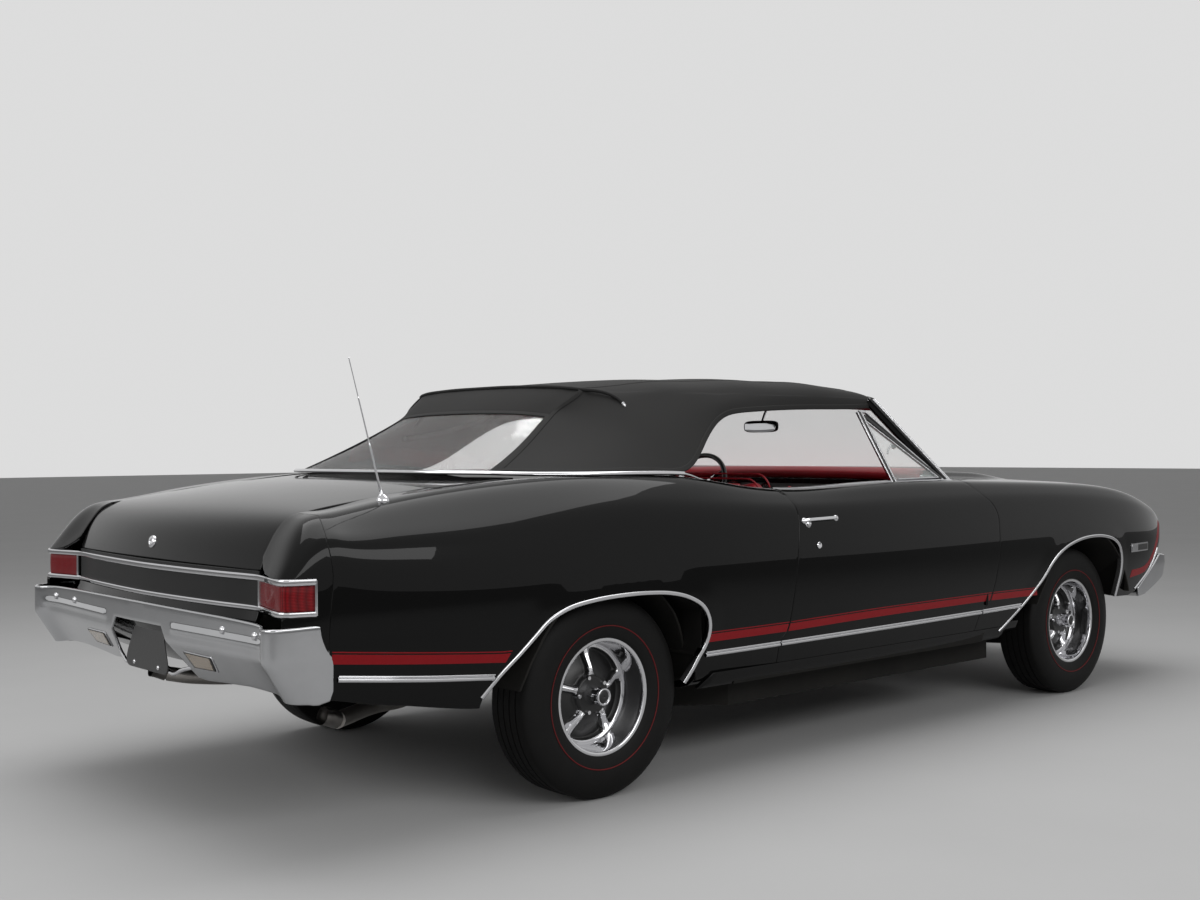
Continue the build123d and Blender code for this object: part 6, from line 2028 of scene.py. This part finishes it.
brow = strip("nose_brow", innerNose, browSection, paintBlack, "body_paint", end=-1)
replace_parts(brow, "nose_panel")
chin = strip("nose_chin", innerNose, [(-0.055, 0.592), (-0.012, 0.59), (-0.002, 0.584), (0.001, 0.572),
    (-0.004, 0.556), (-0.03, 0.545)], paintBlack, "body_paint", end=-1, towards=steady(0, -1, 0.1))
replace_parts(chin, "nose_panel")
for side, sign in bothSides:
    wall = [[(sign * x, y, z) for z in (0.545, 0.60, 0.66, 0.72, 0.748)]
            for x, y in ((0.783, -2.372), (0.7835, -2.405), (0.787, -2.4145), (0.797, -2.4165))]
    gridPiece(f"nose_end_{side}", wall, paintBlack, "body", "body_paint", steady(-sign, -1, 0),
              hem=0, thick=0.002)


def lampLensClear():
    lens = Finish("headlampGlass", baseColor=(0.8, 0.82, 0.82, 1), roughness=0.06, coatWeight=1.0,
        coatRoughness=0.02)
    ribs = lens.ribs(0, 0.0035) * 286
    lens.shade(ribs, (0.62, 0.65, 0.66, 1), (0.85, 0.87, 0.88, 1))
    lens.feed("Alpha", ribs * 0.20 + 0.22)
    lens.bump(ribs, 0.5, 0.0015)
    return lens.material


lensClear = lampLensClear()
lampSilver = plainFinish("lampMetal", (0.7, 0.71, 0.72, 1), (120, 1), (0.6, 0.61, 0.62, 1),
    (0.78, 0.78, 0.79, 1), None, (0.3, 0.002), metallic=1.0, roughness=0.12)
grilleBack = [[(x, -2.3745, z) for x in np.linspace(-0.783, 0.783, 61)]
    for z in (0.592, 0.63, 0.67, 0.71, 0.736)]
backing = gridPiece("grille_back", grilleBack, recessBlack, "body", "grille_plastic", steady(0, -1, 0),
    hem=0.002)
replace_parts(backing, "grille")
for index, z in enumerate(np.linspace(0.606, 0.722, 9)):
    sweepBar(f"grille_bar_{index}", between((-0.466, -2.386, z), (0.466, -2.386, z), 24), (0, -1, 0),
             roundedBar(0.0045, 0.018, 0.4), plasticBlack, "body")
for index, x in enumerate(np.linspace(-0.45, 0.45, 19)):
    sweepBar(f"grille_rib_{index}", between((x, -2.381, 0.594), (x, -2.381, 0.734), 4), (0, -1, 0),
             roundedBar(0.003, 0.010, 0.4), plasticBlack, "body")
frameLine = [(0.783, 0.734), (0.60, 0.7352), (0.30, 0.7360), (0.0, 0.7362)]
frameLow = [(0.783, 0.5935), (0.60, 0.5925), (0.30, 0.5920), (0.0, 0.5918)]
for name, line in (("upper", frameLine), ("lower", frameLow)):
    path = [(-x, -2.402, z) for x, z in line[:-1]] + [(x, -2.402, z) for x, z in line[::-1]]
    sweepBar(f"grille_frame_{name}", np.array(smoothLine(path, step=0.03)), (0, -1, 0),
        roundedBar(0.009, 0.01, 0.4), chrome, "body")
for side, sign in bothSides:
    for name, x in (("outer", 0.7815), ("inner", 0.4700)):
        sweepBar(f"lamp_frame_{name}_{side}", between((sign * x, -2.402, 0.593), (sign * x, -2.402, 0.735),
            6), (0, -1, 0), roundedBar(0.008, 0.01, 0.4), chrome, "body")
    panel = [[(sign * x, -2.3785, z) for x in np.linspace(0.474, 0.778, 25)] for z in (0.594, 0.66, 0.734)]
    gridPiece(f"lamp_panel_{side}", panel, lampSilver, "body", "chrome", steady(0, -1, 0), hem=0.001)
    for name, x in (("inner", 0.5650), ("outer", 0.7085)):
        spot = (sign * x, -2.378, 0.663)
        lathe(f"lamp_ring_{name}_{side}", [(0.0705, -0.004), (0.071, 0.01), (0.069, 0.02), (0.065, 0.0225),
            (0.0618, 0.019), (0.0612, 0.008), (0.0612, -0.004)], spot, (0, -1, 0), chrome, "body",
            steps=56)
        lens = lathe(f"headlamp_lens_{name}_{side}", [(0.0612, 0.006), (0.0612, 0.009), (0.055, 0.0145),
            (0.04, 0.0195), (0.022, 0.0225), (0, 0.0235)], spot, (0, -1, 0), lensClear, "body",
            steps=56)
        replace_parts(lens, "headlamps")
        lathe(f"lamp_bowl_{name}_{side}", [(0, 0.01), (0.01, 0.01), (0.012, -0.0005), (0.03, 0.0008),
            (0.046, 0.0026), (0.0605, 0.0048), (0.0605, 0.003), (0, -0.003)], spot, (0, -1, 0), lampSilver,
            "body", steps=56)

frontBumperPath = [(0.0, 2.499), (0.25, 2.4985), (0.5, 2.4965), (0.68, 2.491), (0.775, 2.48), (0.83, 2.456),
    (0.866, 2.405), (0.884, 2.325), (0.892, 2.22), (0.896, 2.1)]
frontBumperPlan = frontPath(frontBumperPath)
frontOutline = [(0.0, 2.499, 0.578), (0.5, 2.4965, 0.578), (0.7, 2.489, 0.576), (0.81, 2.468, 0.572),
    (0.862, 2.412, 0.577), (0.88, 2.345, 0.587), (0.884, 2.315, 0.59), (0.887, 2.28, 0.568),
    (0.892, 2.225, 0.525), (0.894, 2.16, 0.48), (0.8958, 2.105, 0.44), (0.8955, 2.115, 0.404),
    (0.894, 2.16, 0.408), (0.892, 2.21, 0.422), (0.884, 2.315, 0.462), (0.862, 2.412, 0.498),
    (0.81, 2.468, 0.5), (0.7, 2.489, 0.478), (0.5, 2.4965, 0.462), (0.25, 2.4985, 0.458)]
frontBumperValues = {"ridge": 0.552, "slope": 0.42, "upper": 0.55, "sideSlope": 0.10}


def frontPlace(base, z):
    v = frontBumperValues
    across = np.abs(base[:, 0])
    side = ease(0.82, 0.888, across)
    upper = np.maximum(0, z - v["ridge"])
    lower = np.maximum(0, v["ridge"] - z)
    lower = np.where(lower < 0.012, lower * lower / 0.024, lower - 0.006)
    slope = v["slope"] + (v["sideSlope"] - v["slope"]) * side
    return -v["upper"] * upper * (1 - side) - slope * lower, z


frontBumper = pathPanel("front_bumper_face", frontBumperPlan,
    [(x, -y, z) for x, y, z in mirrorRound(frontOutline)], frontPlace, shadedBumperChrome, "chrome", hem=0.005,
    depth=0.012, thick=0.0025, grain=0.011, towards=lambda centre: Vector((centre.x * 0.8, -1, 0.1)))
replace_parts(frontBumper, "front_bumper")
for side, sign in bothSides:
    for index, (x, y) in enumerate(((0.30, -2.490), (0.62, -2.486))):
        roundHead(f"front_bolt_{index}_{side}", (sign * x, y, 0.530), (0, -1, 0), 0.0115)
    # parking lamp in the bumper
    lamp = [(sign * x, z) for x, z in ((0.42, 0.527), (0.575, 0.523), (0.565, 0.487), (0.43, 0.488))]
    for part, grow, lift, material, slotName in (("frame", 0.008, 0.003, chrome, "chrome"),
            ("lens", -0.002, 0.005, amberGlass, "lamp_glass")):
        shape = [(x, -2.49, z) for x, z in ringOutline(lamp, grow)]
        pathPanel(f"park_{part}_{side}", frontBumperPlan, shape, lifted(frontPlace, lift), material,
            slotName, hem=0.001, depth=0.003, thick=0, grain=0.012, towards=steady(0, -1, 0))
    bentTube(f"front_iron_{side}", [(sign * 0.36, -2.46, 0.52), (sign * 0.36, -2.4, 0.48),
        (sign * 0.36, -2.33, 0.42)], 0.016, paintChassis, "body")

valancePath = [(0.0, 2.44), (0.5, 2.43), (0.7, 2.405), (0.79, 2.36), (0.835, 2.29), (0.856, 2.2),
    (0.868, 2.08), (0.87, 2.0)]


def valanceSection(x, y):
    back = float(np.interp(-y, (1.99, 2.10, 2.25, 2.44), (0.455, 0.440, 0.46, 0.50)))
    foot = float(np.interp(-y, (1.99, 2.10, 2.25, 2.44), (0.405, 0.400, 0.385, 0.375)))
    return [(-0.020, back), (-0.003, back - 0.010), (0.0, (back + foot) / 2), (-0.012, foot + 0.012),
            (-0.045, foot)]


strip("front_valance", frontPath(valancePath), valanceSection, paintBlack, "body_paint", end=-1, hem=0.002,
    step=0.03, towards=lambda centre: Vector((centre.x * 0.9, -1, 0.1)))

# chrome up the fender's leading edge beside the red nose band made with the stripes, marker bezel, handle,
# locks
edgeSection = [(-0.005, -0.006), (-0.0052, 0.001), (-0.002, 0.0045), (0.002, 0.0045), (0.0052, 0.001),
    (0.005, -0.006)]
for side, sign in bothSides:
    sideTrim("fender_edge", side, [(-2.058, 0.44), (-2.128, 0.482), (-2.188, 0.517), (-2.258, 0.572),
        (-2.312, 0.622)], edgeSection, chrome, "chrome", "body")
    for part, y0, y1, material, slotName, lift in (("frame", -2.15, -1.956, chrome, "chrome", 0.0022),
            ("recess", -2.143, -2.03, recessBlack, "grille_plastic", 0.003),
            ("plate", -2.026, -1.963, chrome, "chrome", 0.0038)):
        inset = 0.0 if part == "frame" else 0.006
        low = [(y0, 0.622 + inset), (y1, 0.622 + inset)]
        high = [(y0, 0.661 - inset), (y1, 0.661 - inset)]
        sideStripe(f"marker_{part}", side, low, high, material, slotName, "body", lift=lift)
    door = f"door_{side}"
    base, normal = sideFrames([(0.240, 0.862), (0.330, 0.8605), (0.418, 0.859)])
    base, normal = mirrored(base, side), mirrored(normal, side)
    grip = [tuple(base[0] + normal[0] * 0.003), tuple(base[0] * 0.86 + base[1] * 0.14 + normal[0] * 0.0095),
            tuple(base[1] + normal[1] * 0.0115), tuple(base[2] * 0.86 + base[1] * 0.14 + normal[2] * 0.0105),
            tuple(base[2] + normal[2] * 0.004)]
    sweepBar(f"door_handle_{side}", np.array(smoothLine(grip, step=0.012)) + (0, 0, 0.006), normal[1],
             roundedBar(0.012, 0.006, 0.45), chrome, door)
    for name, spot, facing in (("front", base[0], normal[0]), ("rear", base[2], normal[2])):
        lathe(f"handle_foot_{name}_{side}", [(0, -0.004), (0.0115, -0.004), (0.011, 0.003), (0.008, 0.006),
            (0, 0.007)], spot + (0, 0, 0.005), facing, chrome, door, steps=28)
    push = base[2] * 0.75 + base[1] * 0.25
    lathe(f"handle_button_{side}", [(0, -0.003), (0.0155, -0.003), (0.015, 0.001), (0.0115, 0.002),
        (0.011, 0.006), (0.009, 0.0075), (0, 0.008)], push - (0, 0, 0.006), normal[2], chrome, door,
        steps=32)
    spot, facing = sideFrames([(0.352, 0.774), (0.353, 0.775)])
    spot, facing = mirrored(spot, side)[0], mirrored(facing, side)[0]
    lathe(f"door_lock_{side}", [(0, -0.002), (0.0125, -0.002), (0.0125, 0.003), (0.01, 0.0052),
        (0.004, 0.0048), (0.0035, 0.003), (0, 0.003)], spot, facing, chrome, door, steps=28)

# antenna on the passenger's rear quarter, trunk lock
foot = sidePoints(np.array(topLine([(0.760, 2.069)])))[0] * (-1, 1, 1)
lathe("antenna_ball", [(0, -0.006), (0.019, -0.005), (0.02, 0.001), (0.017, 0.009), (0.01, 0.017),
    (0.0055, 0.022), (0.005, 0.04), (0, 0.04)], foot, (0, 0.27, 1), chrome, "body", steps=32)
mastAxis = np.array((0, 0.27, 1)) / 1.036
mast = [tuple(foot + mastAxis * reach) + (size,) for reach, size in ((0.03, 1.6), (0.17, 1.5),
    (0.171, 1.05), (0.31, 1.0), (0.311, 0.75), (0.425, 0.7))]
bentTube("antenna_mast", mast, 0.0022, chrome, "body")
roundHead("antenna_tip", tuple(foot + mastAxis * 0.426), (0, 0.27, 1), 0.0032)
lathe("trunk_lock", [(0, -0.004), (0.0205, -0.004), (0.0205, 0.002), (0.017, 0.006), (0.01, 0.0065),
    (0.009, 0.004), (0, 0.004)], (0, 2.4345, 0.8454), (0, 1, 0.2), chrome, "trunk_lid", steps=40)
print("front end and small parts made")


# ---- rockers, inner walls, under panels of the lids, louvres, wipers

def keptInside(rows, across, sign):
    # pulls the outer edge of a closing panel in behind the body side
    def limit(z):
        return float(sidePoints(np.array([sideSpot(across, level=max(z, 0.37))]))[0][0]) - 0.010

    return [[(sign * min(abs(x), limit(z)), y, z) for x, y, z in row] for row in rows]


for side, sign in bothSides:
    edge = [(y, 0.371) for y in np.linspace(-1.035, 0.930, 60)]
    base, normal = sideFrames(edge)
    outerX = base[:, 0]
    rows = [[(sign * (x - inset), y, z) for x, (_, y, _) in zip(outerX, base)]
        for inset, z in ((0.006, 0.376), (0.012, 0.362), (0.02, 0.345), (0.045, 0.325), (0.085, 0.312),
        (0.16, 0.308))]
    gridPiece(f"rocker_{side}", rows, paintBlack, "body", "body_paint",
              steady(sign, 0, -0.4), hem=0.002)
    wall = [[(sign * x, y, z) for y in np.linspace(1.60, 2.35, 24)] for x, z in
            ((0.700, 0.700), (0.695, 0.62), (0.690, 0.54), (0.700, 0.47))]
    gridPiece(f"trunk_wall_{side}", wall, paintChassis, "body", "chassis_paint",
              steady(sign, 0, 0), hem=0)
    splash = [[(sign * x, y, z) for z in np.linspace(0.345, 0.93, 18)]
              for x, y in ((0.935, -0.935), (0.90, -0.925), (0.83, -0.915), (0.74, -0.905), (0.68, -0.900))]
    gridPiece(f"fender_closer_{side}", keptInside(splash, -0.93, sign), paintChassis, "body", "chassis_paint",
              steady(0, -1, 0), hem=0)
    splash = [[(sign * x, 0.930 - 0.03 * (0.93 - x), z) for z in np.linspace(0.345, 0.66, 14)]
              for x in (0.925, 0.88, 0.82, 0.74, 0.67)]
    gridPiece(f"quarter_closer_{side}", keptInside(splash, 0.93, sign), paintChassis, "body", "chassis_paint",
              steady(0, 1, 0), hem=0)


def underPanel(name, surface, body, outline, drop, ribs, material, slot, grain=0.02):
    # pressed inner panel that follows the outer skin a little below it
    flat, faces = fillOutline(outline, grain)
    points = surface(flat)
    points[:, 2] -= drop
    pressed = np.zeros(len(points))
    for (x0, y0, x1, y1) in ribs:
        inX = np.minimum(np.abs(points[:, 0]) - x0, x1 - np.abs(points[:, 0]))
        inY = np.minimum(points[:, 1] - y0, y1 - points[:, 1])
        pressed = np.maximum(pressed, ease(0.0, 0.03, np.minimum(inX, inY)))
    points[:, 2] += pressed * 0.014
    return skinPanel(name, points, faces, material, body, slot, steady(0, 0, -1), hem=0.004, thick=0.0015)


def insetOutline(outline, amount):
    ring = np.array(outline)
    middle = ring.mean(0)
    reach = np.abs(ring - middle).max(0)
    return [tuple(point) for point in middle + (ring - middle) * (1 - amount / reach)]


underPanel("hood_inner", hoodPoints, "hood", insetOutline(hoodOutline(), 0.020), 0.024,
           [(0.06, -2.25, 0.33, -1.75), (0.40, -2.25, 0.66, -1.75), (0.06, -1.68, 0.33, -1.05),
            (0.40, -1.68, 0.66, -1.05)], paintMatte, "matte_black_paint", grain=0.032)


def lidSurface(flat):
    z = edgeHeight(flat[:, 1]) - 0.002
    return np.stack([flat[:, 0], flat[:, 1], z], 1)


lidInner = mirrorOutline([(0.0, 1.862), (0.63, 1.862), (0.63, 2.29), (0.60, 2.325), (0.0, 2.325)])
underPanel("lid_inner", lidSurface, "trunk_lid", spaced(lidInner + lidInner[:1], 0.02)[:-1], 0.022,
           [(0.05, 1.90, 0.28, 2.28), (0.34, 1.90, 0.58, 2.28)], paintMatte, "matte_black_paint")

# louvred insert at the back of each hood dome
for side, sign in bothSides:
    for index in range(6):
        y = -1.115 + 0.024 * index
        x = np.linspace(0.205, 0.385, 12)
        spots = hoodPoints(np.stack([x, np.full(12, y)], 1)) * (sign, 1, 1)
        sweepBar(f"louvre_{index}_{side}", spots + (0, 0, 0.0015), (0, 0.4, 1), roundedBar(0.014, 0.005, 0.4),
                 chrome, "hood")
    blade = [(sign * 0.62, -0.835, 0.988), (sign * 0.40, -0.842, 1.000), (sign * 0.14, -0.850, 1.004)]
    sweepBar(f"wiper_blade_{side}", np.array(smoothLine(blade, step=0.03)), (0, -0.6, 1),
        roundedBar(0.01, 0.008), plasticBlack, "body")
    bentTube(f"wiper_arm_{side}", [(sign * 0.56, -0.87, 0.986), (sign * 0.46, -0.862, 1.008),
        (sign * 0.36, -0.846, 1.008)], 0.0042, chrome, "body")
    lathe(f"wiper_post_{side}", [(0, -0.012), (0.012, -0.010), (0.012, 0.006), (0.008, 0.012), (0, 0.013)],
          (sign * 0.565, -0.871, 0.980), (0, -0.1, 1), chrome, "body", steps=24)


# ---- engine, driveline, exhaust

ironRed = plainFinish("engineRed", (0.22, 0.035, 0.012, 1), (260, 4, 0.6), (0.16, 0.022, 0.008, 1),
    (0.26, 0.045, 0.016, 1), None, (0.35, 0.0015), roughness=0.55)
steelBare = plainFinish("bareSteel", (0.3, 0.29, 0.28, 1), (8, 6, 0.65), (0.17, 0.15, 0.13, 1),
    (0.38, 0.37, 0.36, 1), (0.3, 0.28), (0.1, 0.0008, (220, 3)), metallic=0.9, roughness=0.42)


def boxSweep(name, first, last, width, height, material, corner=0.12, facing=(0, 0, 1)):
    return sweepBar(name, between(first, last, 6), facing, roundedBar(width, height, corner), material,
        "body")


block = boxSweep("engine_case", (0, -1.82, 0.46), (0, -1.27, 0.46), 0.36, 0.3, ironRed,
    corner=0.16)
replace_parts(block, "engine_block")
boxSweep("oil_pan", (0, -1.74, 0.292), (0, -1.28, 0.292), 0.26, 0.08, paintChassis,
    corner=0.3)
for side, sign in bothSides:
    facing = (sign * 0.62, 0, 0.78)
    boxSweep(f"cylinder_head_{side}", (sign * 0.15, -1.8, 0.61), (sign * 0.15, -1.29, 0.61), 0.15, 0.11,
        ironRed, facing=facing)
    boxSweep(f"valve_cover_{side}", (sign * 0.192, -1.79, 0.676), (sign * 0.192, -1.3, 0.676), 0.12, 0.07,
        chrome, corner=0.4, facing=facing)
    for index in range(4):
        y = -1.745 + 0.132 * index
        bentTube(f"exhaust_port_{index}_{side}", [(sign * 0.2, y, 0.56), (sign * 0.245, y, 0.545),
            (sign * 0.262, y + 0.02, 0.5)], 0.019, steelBare, "body", sides=12)
    boxSweep(f"manifold_{side}", (sign * 0.266, -1.77, 0.505), (sign * 0.266, -1.32, 0.5), 0.052, 0.06,
        steelBare, corner=0.4)
boxSweep("intake", (0, -1.74, 0.700), (0, -1.34, 0.700), 0.20, 0.055, ironRed, corner=0.3)
lathe("carburettor", [(0, 0), (0.060, 0.0), (0.055, 0.05), (0.070, 0.055), (0.070, 0.075), (0, 0.075)],
      (0, -1.54, 0.722), (0, 0, 1), steelBare, "body")
lathe("air_cleaner", [(0, 0.0), (0.15, 0.0), (0.168, 0.008), (0.168, 0.046), (0.178, 0.05), (0.176, 0.058),
    (0.12, 0.062), (0.045, 0.06), (0.02, 0.066), (0.012, 0.074), (0, 0.075)], (0, -1.54, 0.792), (0, 0, 1),
    chrome, "body", steps=64)
boxSweep("radiator", (-0.33, -2.16, 0.6), (0.33, -2.16, 0.6), 0.055, 0.42, paintMatte,
    corner=0.2)
lathe("fan_hub", [(0, -0.02), (0.045, -0.02), (0.045, 0.02), (0.03, 0.03), (0, 0.03)], (0, -1.9, 0.56),
    (0, -1, 0), steelBare, "body")
for index in range(6):
    turn = math.radians(60 * index)
    away = np.array((math.sin(turn), 0, math.cos(turn)))
    sweepBar(f"fan_blade_{index}", between(np.array((0, -1.915, 0.56)) + away * 0.035,
             np.array((0, -1.915, 0.56)) + away * 0.195), (math.cos(turn) * 0.5, -1, -math.sin(turn) * 0.5),
             roundedBar(0.060, 0.003, 0.3), steelBare, "body")
boxSweep("battery", (0.5, -2.02, 0.61), (0.5, -1.84, 0.61), 0.17, 0.19, plasticBlack,
    corner=0.08)
for index, y in enumerate((-1.99, -1.87)):
    lathe(f"battery_post_{index}", [(0, -0.004), (0.01, -0.004), (0.008, 0.016), (0, 0.017)],
        (0.455, y, 0.706), (0, 0, 1), steelBare, "body", steps=20)
bentTube("radiator_hose", [(0.12, -2.13, 0.76), (0.12, -2.02, 0.77), (0.06, -1.88, 0.75),
    (0.03, -1.78, 0.72)], 0.02, plasticBlack, "body", sides=16)
gearCase = lathe("gear_case", [(0, 0), (0.17, 0.0), (0.15, 0.08), (0.105, 0.16), (0.085, 0.36),
    (0.06, 0.62), (0.045, 0.66), (0, 0.66)], (0, -1.26, 0.345), (0, 1, 0), steelBare, "body")
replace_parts(gearCase, "engine_block")
driveShaft = bentTube("drive_shaft", [(0, -0.62, 0.34), (0, 0.3, 0.334), (0, 1.19, 0.329)], 0.03, steelBare,
    "body", sides=24)
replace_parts(driveShaft, "engine_block")
for side, sign in bothSides:
    run = [(0.262, -1.5, 0.47), (0.285, -1.42, 0.36), (0.3, -1.1, 0.286), (0.345, -0.6, 0.284),
        (0.345, 0.3, 0.284), (0.345, 0.87, 0.3), (0.345, 1.1, 0.415), (0.345, 1.3, 0.452),
        (0.345, 1.5, 0.415), (0.35, 1.7, 0.32), (0.4, 1.88, 0.314), (0.52, 2.06, 0.318),
        (0.588, 2.125, 0.328)]
    pipe = bentTube(f"exhaust_pipe_{side}", [(sign * x, y, z) for x, y, z in run], 0.026, steelBare,
        "body", sides=20)
    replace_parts(pipe, "exhaust_system")
    muffler = sweepBar(f"muffler_{side}", between((sign * 0.345, 0.28, 0.262), (sign * 0.345, 0.78, 0.262),
        8), (0, 0, 1), roundedBar(0.17, 0.1, 0.48), steelBare, "body")
    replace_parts(muffler, "exhaust_system")


# ---- finishes of the CAD nodes that stay

underBlack = plainFinish("underBlack", grey(0.01), (7, 6, 0.6), grey(0.006), (0.018, 0.017, 0.015, 1), None,
    (0.2, 0.0015, (150, 4)), roughness=0.8, specularIORLevel=0.15)
nodeFinishes = {"cowl": paintBlack, "floor_pan": underBlack, "wheelhouses": underBlack, "frame": underBlack,
    "control_arms": underBlack, "knuckle_left": steelBare, "knuckle_right": steelBare,
    "rear_axle": underBlack, "fuel_tank": steelBare}
for node, material in nodeFinishes.items():
    holder = bpy.data.objects[node]
    for index in range(len(holder.data.materials)):
        holder.data.materials[index] = material
print("under panels, engine and node finishes made")


# ---- floor and light

stageValues = {"floor": 0.44, "backdrop": 0.72, "world": 0.34, "overhead": 250, "side": 170, "rear": 150,
    "spread": (4.0, 8.0)}


def placeStage(values):
    reach = 60
    corners = [(-reach, -reach, 0), (reach, -reach, 0), (reach, reach, 0), (-reach, reach, 0)]
    mesh = rawMesh("studio_floor", corners, [(0, 1, 2, 3)])
    level = values["floor"]
    mesh.materials.append(plainFinish("studioFloor", grey(level), (1.3, 4), grey(level * 0.96),
        grey(level * 1.04), roughness=0.85, specularIORLevel=0.1))
    linked("studio_floor", mesh)
    world = bpy.data.worlds.new("studio")
    bpy.context.scene.world = world
    world.use_nodes = True
    shade = world.node_tree.nodes["Background"]
    shade.inputs["Color"].default_value = (1, 1, 1, 1)
    rays = world.node_tree.nodes.new("ShaderNodeLightPath")
    joinedRays = rays.outputs["Is Camera Ray"]
    for kind in ("Is Glossy Ray", "Is Transmission Ray"):
        either = world.node_tree.nodes.new("ShaderNodeMath")
        either.operation = "MAXIMUM"
        world.node_tree.links.new(joinedRays, either.inputs[0])
        world.node_tree.links.new(rays.outputs[kind], either.inputs[1])
        joinedRays = either.outputs[0]
    seen = world.node_tree.nodes.new("ShaderNodeMath")
    seen.operation = "MULTIPLY_ADD"
    seen.inputs[1].default_value = values["backdrop"] - values["world"]
    seen.inputs[2].default_value = values["world"]
    world.node_tree.links.new(joinedRays, seen.inputs[0])
    world.node_tree.links.new(seen.outputs[0], shade.inputs["Strength"])
    lamps = (("overhead", (0.2, 0.3, 5.6), values["spread"], values["overhead"]),
             ("sideLight", (-6.5, 1.5, 3.6), (7.0, 2.2), values["side"]),
             ("rearLight", (0.5, 8.0, 3.4), (6.0, 1.8), values["rear"]))
    for name, place, size, power in lamps:
        lamp = bpy.data.lights.new(name, "AREA")
        lamp.shape = "RECTANGLE"
        lamp.size, lamp.size_y = size
        lamp.energy = power
        holder = linked(name, lamp)
        holder.location = place
        aim = Vector((0, 0, 0.6)) - Vector(place)
        holder.rotation_euler = aim.to_track_quat("-Z", "Y").to_euler()


placeStage(stageValues)
bpy.context.scene.view_settings.view_transform = "Standard"
